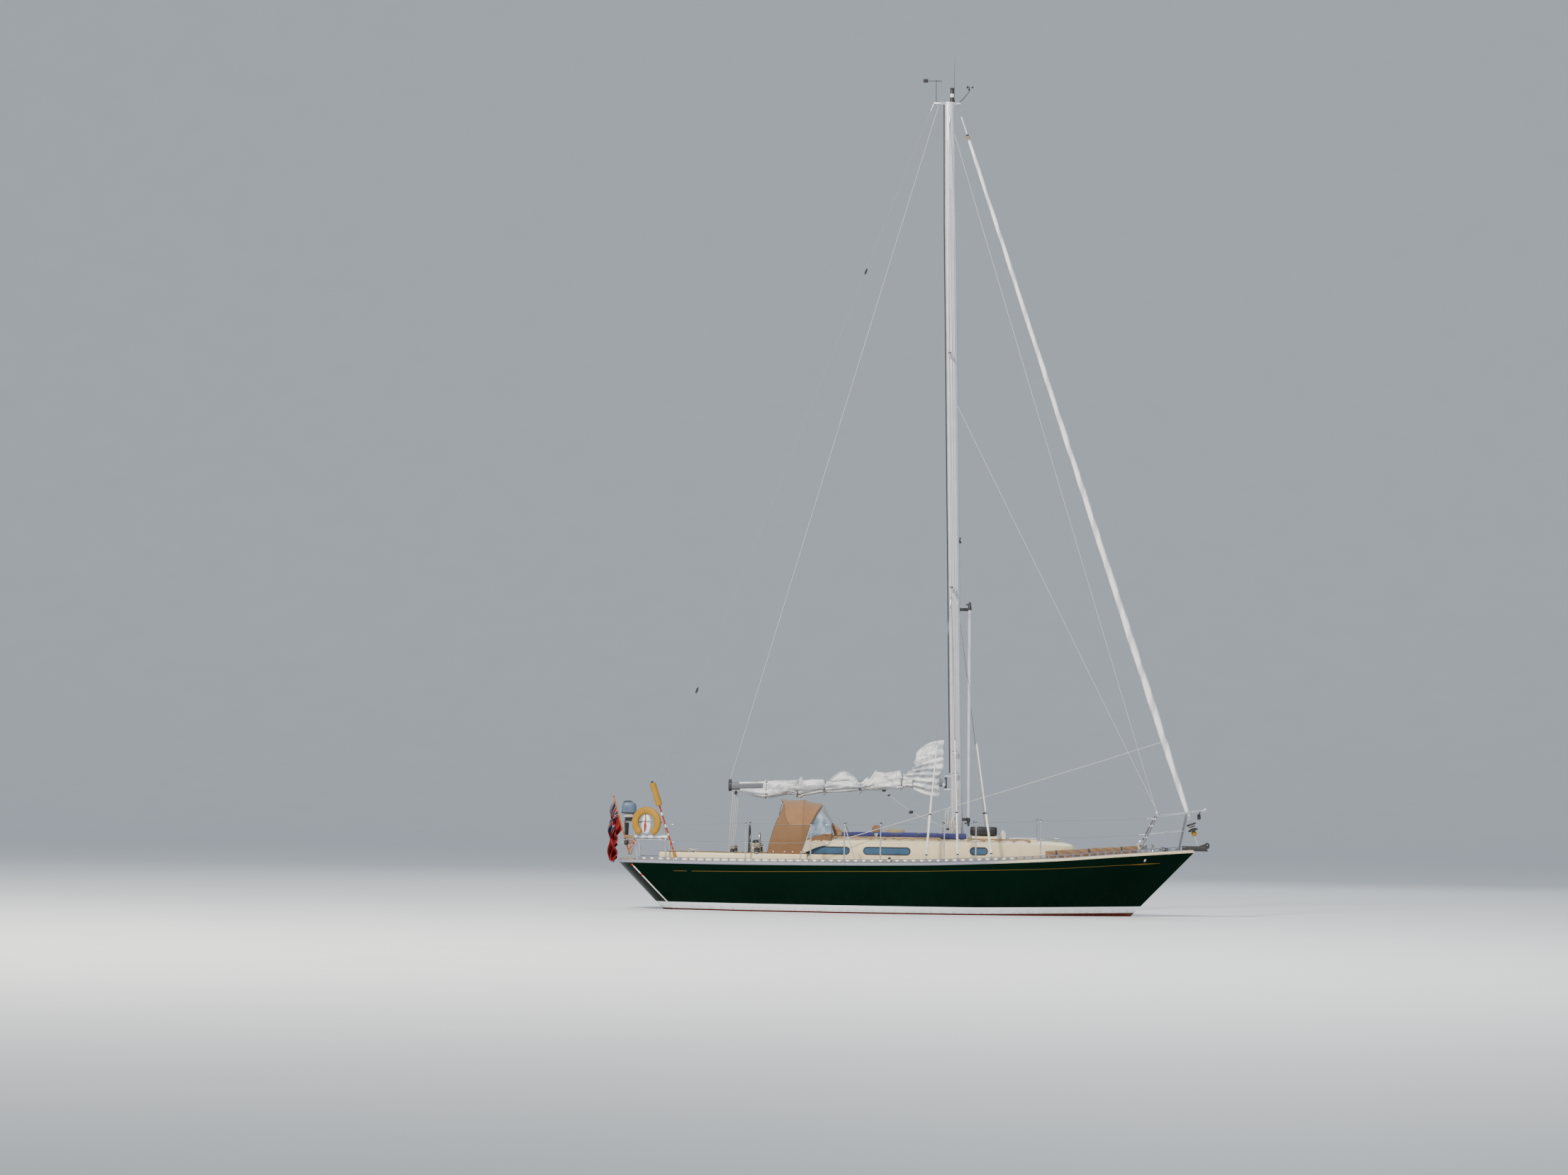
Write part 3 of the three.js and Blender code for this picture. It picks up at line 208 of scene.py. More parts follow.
def tube(path, radius, sides=12, flat=1.0, dome=True):
    """Round bar: circles of the given radius across a path, flattened by flat along the second direction.
    Its ends close over a quarter-circle dome or a flat disc, drawn in to a point."""
    path = np.asarray(path, float)
    radius = np.broadcast_to(np.asarray(radius, float), (len(path),)).copy()
    across, up = side_axes(path)
    ends = unit(np.gradient(path, axis=0))
    bulge = np.array([0, .4, .75, .94]) if dome else np.array([0, 1.0])
    reach = np.sqrt(1 - bulge**2) if dome else np.array([0, 0])
    head = path[0] - ends[0] * (radius[0] * reach * .7)[:, None]
    tail = path[-1] + ends[-1] * (radius[-1] * reach[::-1] * .7)[:, None]
    centre = np.vstack([head, path, tail])
    k = len(bulge)
    across = np.vstack([np.repeat(across[:1], k, 0), across, np.repeat(across[-1:], k, 0)])
    up = np.vstack([np.repeat(up[:1], k, 0), up, np.repeat(up[-1:], k, 0)])
    r = np.concatenate([radius[0] * bulge, radius, radius[-1] * bulge[::-1]])
    angle = round_angles(sides)
    return (centre[:, None] + r[:, None, None] * (np.cos(angle)[:, None] * across[:, None]
            + flat * np.sin(angle)[:, None] * up[:, None]))


def sweep(path, section, up=(0, 0, 1)):
    """Carries a closed section of (side, height) pairs along a path; height is along up, side is across both."""
    path = np.asarray(path, float)
    side = unit(np.cross(unit(np.gradient(path, axis=0)), up))
    lift = unit(np.cross(side, np.gradient(path, axis=0)))
    rings = path[:, None] + section[:, 0][:, None] * side[:, None] + section[:, 1][:, None] * lift[:, None]
    return closed(rings)


def closed(rings):
    """Draws the first and last ring of a body in to their middles, so that it has no open end."""
    first, last = rings[:1].mean(1, keepdims=True), rings[-1:].mean(1, keepdims=True)
    n = rings.shape[1]
    return np.concatenate([np.repeat(first, n, 1), rings, np.repeat(last, n, 1)])


def lathe(profile, base, axis=(0, 0, 1), sides=32):
    """Turns a profile of (radius, height) pairs round an axis that starts at base."""
    profile = np.asarray(profile, float)
    axis = unit(axis)
    across = unit(np.cross(axis, (0, 1, 0) if abs(axis[1]) < .9 else (1, 0, 0)))
    up = np.cross(axis, across)
    angle = round_angles(sides)
    ring = np.cos(angle)[:, None] * across + np.sin(angle)[:, None] * up
    r, h = profile[:, 0], profile[:, 1]
    rings = np.asarray(base, float) + h[:, None, None] * axis + r[:, None, None] * ring
    return closed(rings)


def rounded(width, depth, radius, steps=4):
    """Outline of a rectangle with quarter-circle corners, centred on zero."""
    radius = min(radius, width / 2, depth / 2)
    angle = np.linspace(0, math.pi / 2, steps + 1)
    quarter = radius * np.stack([np.cos(angle), np.sin(angle)], 1)
    spin = lambda p, k: p @ np.array([[math.cos(k), math.sin(k)], [-math.sin(k), math.cos(k)]])
    reach = vec(width / 2 - radius, depth / 2 - radius)
    signs = ((1, 1), (-1, 1), (-1, -1), (1, -1))
    return np.vstack([spin(quarter, k * math.pi / 2) + reach * s for k, s in enumerate(signs)])


def slab(outline, low, high, bevel=.003, origin=(0, 0, 0), axes=((1, 0, 0), (0, 1, 0), (0, 0, 1))):
    """Plate over a flat outline from low to high; its rims are quarter circles whose inset follows
    the outline's own normals. axes are the outline's two directions and the plate's upward one."""
    turn = np.roll(outline, -1, 0) - np.roll(outline, 1, 0)
    inward = unit(np.stack([-turn[:, 1], turn[:, 0]], 1))
    angle = np.linspace(0, math.pi / 2, 4)
    inset = bevel * (1 - np.sin(angle))
    rise = bevel * (1 - np.cos(angle))
    inset = np.concatenate([inset, inset[::-1]])
    level = np.concatenate([low + rise, high - rise[::-1]])
    flat = outline[None] + inset[:, None, None] * inward[None]
    axes = np.asarray(axes, float)
    rings = np.asarray(origin, float) + flat @ axes[:2] + level[:, None, None] * axes[2]
    return closed(rings)


def block(low, high, radius=.006, rim=None):
    """Box with rounded corners and rims between two opposite corners."""
    low, high = vec(*low), vec(*high)
    size, middle = high - low, (low + high) / 2
    rim = radius * .8 if rim is None else rim
    rim = min(rim, size.min() * .45)
    return slab(rounded(size[0], size[1], radius), low[2], high[2], rim, (middle[0], middle[1], 0))


def ball(centre, radius, sides=20, squeeze=(1, 1, 1)):
    """Sphere from latitude and longitude, scaled along each axis."""
    lat = np.linspace(-math.pi / 2, math.pi / 2, sides // 2 + 1)
    lon = round_angles(sides)
    p = np.stack([np.cos(lat)[:, None] * np.cos(lon), np.cos(lat)[:, None] * np.sin(lon),
                  np.repeat(np.sin(lat)[:, None], sides, 1)], 2)
    return np.asarray(centre, float) + radius * p * np.asarray(squeeze, float)


def turned(points, axis, angle, about=(0, 0, 0)):
    """Rotates points about an axis through a point (Rodrigues' formula)."""
    axis, about = unit(axis), np.asarray(about, float)
    p = points - about
    along = (p @ axis)[..., None] * axis
    return about + along + (p - along) * math.cos(angle) + np.cross(axis, p) * math.sin(angle)


def wobble(*phases):
    """Slow smooth unevenness between about -1 and 1: a sum of sines of mixed, unrelated frequencies."""
    total = 0
    for k, phase in enumerate(phases):
        total = total + np.sin(phase * (1 + .618 * k) + 1.7 * k) * np.sin(phase * .37 + k)
    return total / max(len(phases), 1)


# ---------------------------------------------------------------- yacht's own forms

def hull_point(x, angle, grow=0.0):
    """Point of the hull: height falls with the cosine of the angle from keel to sheer, half width grows
    with its sine to the power of the section's roundness, and the ends rake with the fourth power."""
    u = (x - STERN_X) / (BOW_X - STERN_X)
    top, bottom = smooth(HULL_LINES, SHEER, x), smooth(HULL_LINES, BOTTOM, x) - grow
    z = top - (top - bottom) * np.cos(angle)
    rake = STEM_RAKE * u**RAKE_SPREAD - TRANSOM_RAKE * (1 - u)**RAKE_SPREAD
    fullness = smooth(HULL_LINES, ROUND, x)
    y = np.maximum(smooth(HULL_LINES, BEAM, x) + grow, .002) * np.clip(np.sin(angle), 0, 1)**fullness
    return np.stack([x + (z - top) * rake, y, z + 0 * y], -1)


def beam(x):
    return smooth(HULL_LINES, BEAM, x)


def deck_z(x, y):
    """Height of the deck: sheer plus edge, plus a camber that falls with the square of the share of the beam."""
    width = beam(x)
    return smooth(HULL_LINES, SHEER, x) + DECK_EDGE + DECK_CAMBER * width * (1 - (y / width)**2)


def roof_ring(x, inset=0.0, foot=None):
    """Half section of the coachroof from the deck to the middle of the roof, its corners cut round."""
    width, roof = smooth(ROOF_LINES, ROOF_WIDTH, x) - inset, smooth(ROOF_LINES, ROOF_TOP, x) - inset
    edge = max(width - .12, width * .4)
    side = width - edge
    low = .65 if foot is None else foot
    ring = np.array([
        (width, low), (width - side * .1, .96), (width - side * .52, roof - .112),
        (width - side * .66, roof - .074), (edge, roof - .052), (edge * .66, roof - .023),
        (edge * .33, roof - .006), (0, roof)])
    return soften(ring, 2)


def roof_z(x, y):
    ring = roof_ring(x)[::-1]
    return float(np.interp(abs(y), ring[:, 0], ring[:, 1]))


def mast_at(z):
    return MAST_FOOT + (MAST_HEAD - MAST_FOOT) * (z - MAST_FOOT[2]) / (MAST_HEAD[2] - MAST_FOOT[2])


def on_stay(z):
    direction = unit(STAY_FOOT - STAY_TOP)
    return STAY_FOOT + direction * (STAY_FOOT[2] - z) / -direction[2]


def rail_point(x, side, share):
    return vec(x, side * (beam(x) - RAIL_INSET), smooth(HULL_LINES, SHEER, x) + DECK_EDGE + .012 + RAIL_HEIGHT * share)


def hull_side(x, z):
    """Where the starboard side of the hull lies at that place along and up."""
    if "skin" not in MADE:
        solid = bmesh.new()
        solid.from_mesh(bpy.data.objects["hull"].data)
        MADE["skin"] = BVHTree.FromBMesh(solid)
        solid.free()
    spot = MADE["skin"].ray_cast(Vector((x, -3, z)), Vector((0, 1, 0)))[0]
    return spot[1] if spot else -.3


def smooth_path(points):
    """A run of points with its small steps averaged out."""
    points = np.array(points)
    inner = (points[:-2] + points[1:-1] * 2 + points[2:]) / 4
    return np.concatenate([points[:1], inner, points[-1:]])


def on_boom(x, y=0.0, up=0.0):
    """Point beside the boom's axis, which falls evenly from the gooseneck aft."""
    return vec(x, y, GOOSENECK[2] - BOOM_SLOPE * (GOOSENECK[0] - x) + up)


def spreader_tip(spreader, side):
    z, reach, sweep_aft = spreader
    return mast_at(z) + vec(-sweep_aft, side * reach, .03)


# ---------------------------------------------------------------- meshes

class Form:
    """Gathers rings and patches as one mesh: points, four-sided faces, a finish number for each face,
    and for each point a place, which patterns read: metres along and around, and a number of its own."""

    def __init__(self):
        self.points, self.faces, self.finishes, self.places, self.count = [], [], [], [], 0

    def add(self, rings, finish=0, wrap=True, place=None, flip=False):
        """Adds a grid of points; with wrap its columns close into rings, and flip turns its faces over."""
        rings = np.asarray(rings, float)
        if flip:
            rings, place = rings[:, ::-1], None if place is None else place[:, ::-1]
        rows, columns = rings.shape[:2]
        i = np.arange(rows - 1)[:, None]
        j = np.arange(columns if wrap else columns - 1)[None]
        a, b = i * columns + j, i * columns + (j + 1) % columns
        faces = np.stack([a, b, b + columns, a + columns], -1).reshape(-1, 4)
        self.points.append(rings.reshape(-1, 3))
        self.faces.append(faces + self.count)
        self.finishes.append(np.full(len(faces), finish))
        self.places.append(np.zeros((rows * columns, 3)) if place is None else place.reshape(-1, 3))
        self.count += rows * columns
        return self


def new_mesh(name, form, weld=True, outward=True):
    """Puts a form's arrays into a mesh; points that coincide are merged and faces turned outward."""
    points, faces = np.vstack(form.points), np.vstack(form.faces)
    mesh = bpy.data.meshes.new(name)
    mesh.vertices.add(len(points))
    mesh.vertices.foreach_set("co", points.astype(np.float32).ravel())
    mesh.loops.add(faces.size)
    mesh.loops.foreach_set("vertex_index", faces.astype(np.int32).ravel())
    mesh.polygons.add(len(faces))
    mesh.polygons.foreach_set("loop_start", np.arange(0, faces.size, 4, dtype=np.int32))
    mesh.polygons.foreach_set("material_index", np.concatenate(form.finishes).astype(np.int32))
    place = mesh.attributes.new("place", "FLOAT_VECTOR", "POINT")
    place.data.foreach_set("vector", np.vstack(form.places).astype(np.float32).ravel())
    mesh.update(calc_edges=True)
    mesh.validate()
    if weld:
        work = bmesh.new()
        work.from_mesh(mesh)
        bmesh.ops.remove_doubles(work, verts=work.verts, dist=2e-5)
        bmesh.ops.dissolve_degenerate(work, edges=work.edges, dist=1e-6)
        if outward:
            bmesh.ops.recalc_face_normals(work, faces=work.faces)
        work.to_mesh(mesh)
        work.free()
    return mesh


def piece(name, form, finishes, body="hull", stands_for=(), sharp=38, weld=True,
          outward=True, wall=0.0, rim=0.0, fine=0, holes=None, crossing=None):
    """Makes a form a piece of the yacht: a wall, a rounded rim, subdivision and holes where asked, then its
    finishes, and the body that it rides on; with crossing it rides on no body and its place is baked into its mesh."""
    old = bpy.data.objects.get(name)
    if old is not None and "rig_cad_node" in old:
        raise RuntimeError(f"{name} is the name of a node")
    thing = bpy.data.objects.new(name, new_mesh(name, form, weld, outward))
    bpy.context.scene.collection.objects.link(thing)
    for finish in finishes:
        thing.data.materials.append(finish)
    if wall:
        solidify = thing.modifiers.new("wall", "SOLIDIFY")
        solidify.thickness, solidify.offset, solidify.use_even_offset = wall, -1, False
    if rim:
        bevel = thing.modifiers.new("rim", "BEVEL")
        bevel.width, bevel.segments, bevel.limit_method, bevel.angle_limit = rim, 2, "ANGLE", math.radians(40)
    if fine:
        surface = thing.modifiers.new("fine", "SUBSURF")
        surface.levels = surface.render_levels = fine
    cutters = []
    for number, hole in enumerate(holes or ()):
        cutter = bpy.data.objects.new("cutter", new_mesh("cutter", Form().add(hole)))
        bpy.context.scene.collection.objects.link(cutter)
        cutters.append(cutter)
        difference = thing.modifiers.new(f"hole {number}", "BOOLEAN")
        difference.operation, difference.object, difference.solver = "DIFFERENCE", cutter, "EXACT"
    if thing.modifiers:
        graph = bpy.context.evaluated_depsgraph_get()
        done = bpy.data.meshes.new_from_object(thing.evaluated_get(graph))
        thing.modifiers.clear()
        thing.data = done
    for cutter in cutters:
        bpy.data.objects.remove(cutter)
    thing.data.polygons.foreach_set("use_smooth", np.ones(len(thing.data.polygons), bool))
    thing.data.set_sharp_from_angle(angle=math.radians(sharp))
    if crossing:
        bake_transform(thing)
    else:
        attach(thing, body)
    if stands_for:
        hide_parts(*stands_for)
    return thing


def soft_rope(form, points, radius, count=24, sides=7, finish=0):
    """A laid line through the points, with its length kept in place for the pattern of its strands."""
    path = curve(points, count) if len(points) > 2 else line(points[0], points[1], count)
    rings = tube(path, radius, sides)
    steps = np.linalg.norm(np.diff(rings.mean(1), axis=0), axis=1)
    along = np.concatenate([[0], np.cumsum(steps)])
    place = np.zeros(rings.shape)
    place[..., 0] = along[:, None]
    place[..., 1] = np.arange(sides)[None] / sides
    form.add(rings, finish, place=place)


# ---------------------------------------------------------------- finishes

class Field:
    """One value that varies over a surface. Arithmetic on it adds the Math nodes of the same name."""

    def __init__(self, paint, socket):
        self.paint, self.socket = paint, socket

    def math(self, operation, *others, clamp=False):
        settings = {"operation": operation, "use_clamp": clamp}
        return self.paint.node("ShaderNodeMath", settings, dict(enumerate((self, *others))))

    def __add__(self, other):
        return self.math("ADD", other)

    __radd__ = __add__

    def __sub__(self, other):
        return self.math("SUBTRACT", other)

    def __rsub__(self, other):
        settings = {"operation": "SUBTRACT"}
        return self.paint.node("ShaderNodeMath", settings, {0: other, 1: self})

    def __mul__(self, other):
        return self.math("MULTIPLY", other)

    __rmul__ = __mul__

    def __truediv__(self, other):
        return self.math("DIVIDE", other)

    def __neg__(self):
        return self.math("MULTIPLY", -1)

    def __abs__(self):
        return self.math("ABSOLUTE")

    def above(self, level, soft=.0):
        """1 where the value is over a level, with an edge of the given softness."""
        if soft <= 0:
            return self.math("GREATER_THAN", level)
        return ((self - level) / soft + .5).math("MAXIMUM", 0).math("MINIMUM", 1)

    def within(self, middle, half, soft=.002):
        """1 within half of a middle value, which may itself be a field."""
        return 1 - abs(self - middle).above(half, soft)

    def repeat(self, step):
        """The value's remainder over a step, from 0 to the step."""
        return (self / step).math("FRACT") * step

    def sine(self):
        return self.math("SINE")

    def clamp(self):
        return self.math("MAXIMUM", 0).math("MINIMUM", 1)


class Paint:
    """One procedural finish: a Principled surface whose colour, roughness and relief come from nodes."""

    def __init__(self, name, rough=.5, metal=0.0, coat=0.0, **sockets):
        self.material = bpy.data.materials.new(name)
        self.material.use_nodes = True
        self.nodes, self.links = self.material.node_tree.nodes, self.material.node_tree.links
        self.surface = self.nodes["Principled BSDF"]
        self.surface.inputs["Roughness"].default_value = rough
        self.surface.inputs["Metallic"].default_value = metal
        self.surface.inputs["Coat Weight"].default_value = coat
        for key, value in sockets.items():
            self.surface.inputs[key.replace("_", " ").title().replace("Ior", "IOR")].default_value = value

    def node(self, kind, settings=None, values=None, output=0):
        """Adds a node: its settings first, with a ramp's stops among them, then its sockets' values or links."""
        made = self.nodes.new(kind)
        for key, value in (settings or {}).items():
            if key == "stops":
                self.set_stops(made.color_ramp, value)
            else:
                setattr(made, key, value)
        for key, value in (values or {}).items():
            self.feed(made.inputs[key], value)
        return Field(self, made.outputs[output])

    @staticmethod
    def set_stops(ramp, stops):
        while len(ramp.elements) < len(stops):
            ramp.elements.new(.5)
        for element, (position, colour) in zip(ramp.elements, stops):
            element.position, element.color = position, (*colour, 1)

    def feed(self, socket, value):
        if isinstance(value, Field):
            self.links.new(value.socket, socket)
        elif hasattr(value, "__len__") and len(value) == 3 and len(socket.default_value) == 4:
            socket.default_value = (*value, 1)
        else:
            socket.default_value = value

    def spot(self):
        """Object coordinates."""
        return self.node("ShaderNodeTexCoord", None, None, "Object")

    def xyz(self, source=None):
        """The three numbers of a place: Object coordinates unless another vector is given."""
        split = self.node("ShaderNodeSeparateXYZ", None, {0: source or self.spot()})
        sockets = split.socket.node.outputs
        return [Field(self, sockets[k]) for k in range(3)]

    def place(self):
        """The piece's own metres along and around."""
        return self.xyz(self.node("ShaderNodeAttribute", {"attribute_name": "place"}, None, "Vector"))

    def noise(self, scale, detail=3, stretch=(1, 1, 1), rough=.5, source=None, shift=0.0):
        source = source or self.spot()
        if stretch != (1, 1, 1) or shift:
            source = self.node("ShaderNodeMapping", None, {
                "Vector": source, "Scale": stretch, "Location": (shift, shift, shift)})
        values = {"Vector": source, "Scale": scale, "Detail": detail, "Roughness": rough}
        return self.node("ShaderNodeTexNoise", None, values, "Fac")

    def join(self, x, y, z):
        return self.node("ShaderNodeCombineXYZ", None, {0: x, 1: y, 2: z})

    def mix(self, share, first, second):
        """Colour that goes from the first to the second as the share goes from 0 to 1."""
        made = self.nodes.new("ShaderNodeMix")
        made.data_type = "RGBA"
        self.feed(made.inputs[0], share)
        self.feed(made.inputs[6], first)
        self.feed(made.inputs[7], second)
        return Field(self, made.outputs[2])

    def colour(self, value):
        self.feed(self.surface.inputs["Base Color"], value)
        return self

    def rough(self, value):
        self.feed(self.surface.inputs["Roughness"], value)
        return self

    def relief(self, height, distance=.001, strength=1.0):
        bump = self.node("ShaderNodeBump", None, {"Height": height, "Distance": distance, "Strength": strength})
        self.feed(self.surface.inputs["Normal"], bump)
        return self

    def done(self):
        return self.material


def tint(code):
    """Linear colour of a hexadecimal screen colour."""
    parts = np.array([int(code[k:k + 2], 16) for k in (0, 2, 4)]) / 255
    return tuple(float(c) for c in np.where(parts <= .04045, parts / 12.92, ((parts + .055) / 1.055)**2.4))


def shade(colour, share):
    return tuple(c * share for c in colour)


def finish_topsides(look):
    """Gloss paint with a white boot-top, antifouling below and a gilt cove line that follows the sheer."""
    p = Paint("topsides_green", rough=.25, ior=1.07)
    x, _, z = p.xyz()
    station, depth, _ = p.place()
    cloud = p.noise(1.3, 3)
    streak = p.noise(9, 4, stretch=(1, 1, .12))
    green = p.mix(cloud, shade(look.topsides, .7), shade(look.topsides, 1.15))
    salt = streak.above(.56, .3) * (1 - (z / .75).clamp()) * .03
    green = p.mix(salt, green, (.05, .09, .07))
    middle = .111 + (-station - 1).math("MAXIMUM", 0) * .0095 + (station - 1).math("MAXIMUM", 0) * .0166
    point = ((station - 4.35) / .25).clamp() * (1 - ((station - 4.7) / .2).clamp())
    band = depth.within(middle, .0042 + point * .008, .002)
    run = station.within(.60, 4.36, .01).math("MAXIMUM", station.within(-3.98, .13, .01))
    gilt = p.mix(p.noise(40), shade(look.gilt, .75), look.gilt)
    colour = p.mix(band * run, green, gilt)
    low = .028 + ((x - 1.5) / 3).clamp() * .042
    scum = p.noise(14, 5, stretch=(1, 1, .5))
    white = p.mix(scum.above(.5, .4) * (1 - ((z - low) / .09).clamp()), (.88, .9, .92), (.5, .54, .5))
    colour = p.mix(z.above(low + .115, .003), white, colour)
    red = p.mix(p.noise(6, 5), shade(look.antifouling, .65), shade(look.antifouling, 1.2))
    red = p.mix(scum.above(.5, .3) * (z / .05).clamp() * .6, red, (.07, .075, .035))
    below = 1 - z.above(low, .003)
    p.colour(p.mix(below, colour, red))
    p.rough(.2 + cloud * .08 + salt * 1.5 + below * .5 + scum * .06)
    p.relief(p.noise(1.1, 2) + below * p.noise(60, 4) * .05, .004, .35)
    return p.done()


def finish_antifouling(look):
    p = Paint("antifouling", rough=.75)
    brush = p.noise(30, 4, stretch=(.15, 1, 1))
    p.colour(p.mix(p.noise(5, 5), shade(look.antifouling, .6), shade(look.antifouling, 1.25)))
    p.rough(.62 + brush * .25).relief(brush + p.noise(3), .0012, .7)
    return p.done()


def finish_gelcoat(look, name="moulded_cream", dirt=.5):
    p = Paint(name, rough=.32, coat=.15)
    _, _, z = p.xyz()
    soft, streak = p.noise(2.2, 4), p.noise(16, 5, stretch=(1, 1, .1), shift=3)
    colour = p.mix(soft, shade(look.cream, .9), look.cream)
    colour = p.mix(streak.above(.58, .25) * dirt * .4, colour, (.36, .33, .26))
    fine = p.noise(140, 2)
    p.colour(colour).rough(.26 + soft * .16 + fine * .05).relief(soft * .7 + fine * .05, .0015, .4)
    return p.done()


def finish_nonslip(look):
    """Moulded tread: a fine diamond pattern between the smooth margins."""
    p = Paint("nonslip_cream", rough=.6)
    x, y, _ = p.xyz()
    tread = ((x + y) * 330).sine() * ((x - y) * 330).sine()
    dirt = p.noise(5, 5)
    p.colour(p.mix(dirt * .6 + tread.above(0, .5) * .1, shade(look.cream, .92), shade(look.cream, .66)))
    p.rough(.5 + dirt * .2).relief(tread, .0006, .8)
    return p.done()


def finish_planks(look):
    """Laid teak: 46 mm planks that follow the deck edge, black caulking between them, butts every 2.2 m,
    and a grain stretched along each plank. The place is metres along, metres in from the edge."""
    p = Paint("teak_deck", rough=.7)
    along, inward, _ = p.place()
    number = (inward / .046).math("FLOOR")
    chance = p.node("ShaderNodeTexWhiteNoise", {"noise_dimensions": "1D"}, {"W": number})
    butt = (along + chance * 2.2).repeat(2.2).within(.003, .0025, .001)
    seam = inward.repeat(.046).within(.003, .0026, .001).math("MAXIMUM", butt)
    grain = p.noise(1, 5, source=p.join(along * 7 + chance * 40, inward * 160, 0), rough=.65)
    wood = p.mix(grain, shade(look.teak, .62), shade(look.teak, 1.15))
    wood = p.mix(chance * .5, wood, shade(look.teak, .85))
    wood = p.mix(p.noise(1.4, 4) * .5, wood, (.42, .39, .33))
    p.colour(p.mix(seam, wood, (.012, .012, .012)))
    p.rough(.62 + grain * .2 - seam * .2).relief(grain * .25 - seam, .0012, .8)
    return p.done()


def finish_wood(look, name, colour, rough, coat, lengthwise=(1, 22, 22)):
    """Solid timber: growth rings warped by noise and stretched along the piece."""
    p = Paint(name, rough=rough, coat=coat, coat_roughness=.06)
    x, y, z = p.xyz()
    sway = p.noise(1.6, 3)
    rings = ((y * lengthwise[1] + z * lengthwise[2] + x * lengthwise[0]) * 3 + sway * 9).sine() * .5 + .5
    fibre = p.noise(55, 5, stretch=tuple(1 if k > 5 else .06 for k in lengthwise))
    wood = p.mix(rings * .5 + fibre * .5, shade(colour, .55), shade(colour, 1.25))
    p.colour(wood).rough(rough + fibre * .15).relief(fibre, .0006, .5)
    return p.done()


def finish_alloy(look, name="alloy", colour=(.6, .61, .66), rough=.36):
    """Anodised tube: faint drawing lines along it, dulled in clouds."""
    p = Paint(name, rough=rough, metal=.6)
    lines, cloud = p.noise(220, 3, stretch=(1, 1, .01)), p.noise(3, 4)
    p.colour(p.mix(cloud, shade(colour, .8), shade(colour, 1.12)))
    p.rough(rough + cloud * .15 + lines * .08).relief(lines, .0002, .4)
    return p.done()


def finish_steel(look, name="stainless_steel", colour=(.72, .73, .75), rough=.12):
    p = Paint(name, rough=rough, metal=1)
    cloud, scratch = p.noise(18, 4), p.noise(300, 3, stretch=(.05, 1, 1))
    tea = p.noise(7, 5).above(.62, .15)
    p.colour(p.mix(tea * .5, p.mix(cloud, shade(colour, .85), colour), (.35, .24, .14)))
    p.rough(rough + cloud * .12 + tea * .2 + scratch * .05).relief(scratch, .0001, .3)
    return p.done()


def finish_bronze(look):
    p = Paint("bronze", rough=.35, metal=1)
    cloud = p.noise(12, 5)
    p.colour(p.mix(cloud, (.24, .13, .045), (.55, .34, .14))).rough(.28 + cloud * .3).relief(cloud, .0006, .5)
    return p.done()


def finish_glass(look):
    """Tinted acrylic: dark, glossy, with a slow ripple in what it mirrors."""
    p = Paint("window_glass", rough=.04, coat=1, coat_roughness=.02, specular_ior_level=.7)
    cloud = p.noise(4, 3)
    p.colour(p.mix(cloud, (.02, .06, .12), (.05, .12, .2)))
    p.rough(.03 + cloud * .05).relief(p.noise(3, 2), .0008, .3)
    return p.done()


def finish_clear(look):
    """Flexible clear window: mostly see-through, with a slack, rippled gloss and pale painted reflections in its
    ripples.
    """
    p = Paint("clear_vinyl", rough=.08, coat=1, coat_roughness=.05)
    ripple = p.noise(6, 3)
    # painted reflections: pale patches where the ripples would mirror the sky
    p.colour(p.mix(ripple.above(.5, .3), (.12, .22, .36), (.6, .66, .74)))
    p.feed(p.surface.inputs["Alpha"], .34 + ripple * .3)
    p.relief(ripple, .004, .6)
    return p.done()


def finish_sail(look, name="sailcloth", colour=(.8, .8, .79)):
    """Woven polyester: a tight square weave, creases at two scales, faint yellowing, and painted shade in the fold
    valleys and on the faces turned downward.
    """
    p = Paint(name, rough=.7, sheen_weight=.15)
    x, y, z = p.xyz()
    weave = (x * 1900).sine() * (z * 1900).sine() + (y * 1900).sine() * .5
    crease = p.noise(9, 6, stretch=(1, 1, .6), rough=.6)
    small = p.noise(38, 5, rough=.6)
    cloth = p.mix(p.noise(2.3, 5), shade(colour, .86), shade(colour, 1.1))
    # painted shade: blue-grey patches where the folds would lie in shadow
    fold = p.noise(5.5, 4, stretch=(.8, 1, 1.7), rough=.7).above(.52, .1)
    cloth = p.mix(fold * .7, cloth, (.27, .3, .36))
    # painted shade on the undersides, darker the more a face turns downward
    facing = p.xyz(p.node("ShaderNodeNewGeometry", None, None, "Normal"))[2]
    p.colour(p.mix((facing * -1.1 - .05).clamp() * .75, cloth, (.24, .27, .33)))
    p.rough(.6 + crease * .2).relief(crease + small * .3 + weave * .006, .02, .9)
    return p.done()


def finish_cloth(look, name, colour, relief=.8, fade=.35, scale=1400):
    """Acrylic canvas: plain weave of about a millimetre, sun-faded clouds, and soft creases darkened with painted
    shade.
    """
    p = Paint(name, rough=.85, sheen_weight=.25)
    x, y, z = p.xyz()
    weave = ((x + y * .3) * scale).sine() * ((z + y) * scale).sine()
    cloud, crease = p.noise(3.2, 5), p.noise(11, 5, rough=.6)
    faded = tuple(c + (.75 - c) * .22 for c in colour)
    shown = p.mix(cloud * fade, colour, faded)
    # painted shade darkens the creases
    shown = p.mix(crease.above(.6, .3) * .25, shown, shade(colour, .6))
    p.colour(p.mix(weave.above(0, 1.5) * .12, shown, shade(colour, .7)))
    p.rough(.78 + cloud * .15).relief(crease + weave * .02, .006, relief)
    return p.done()


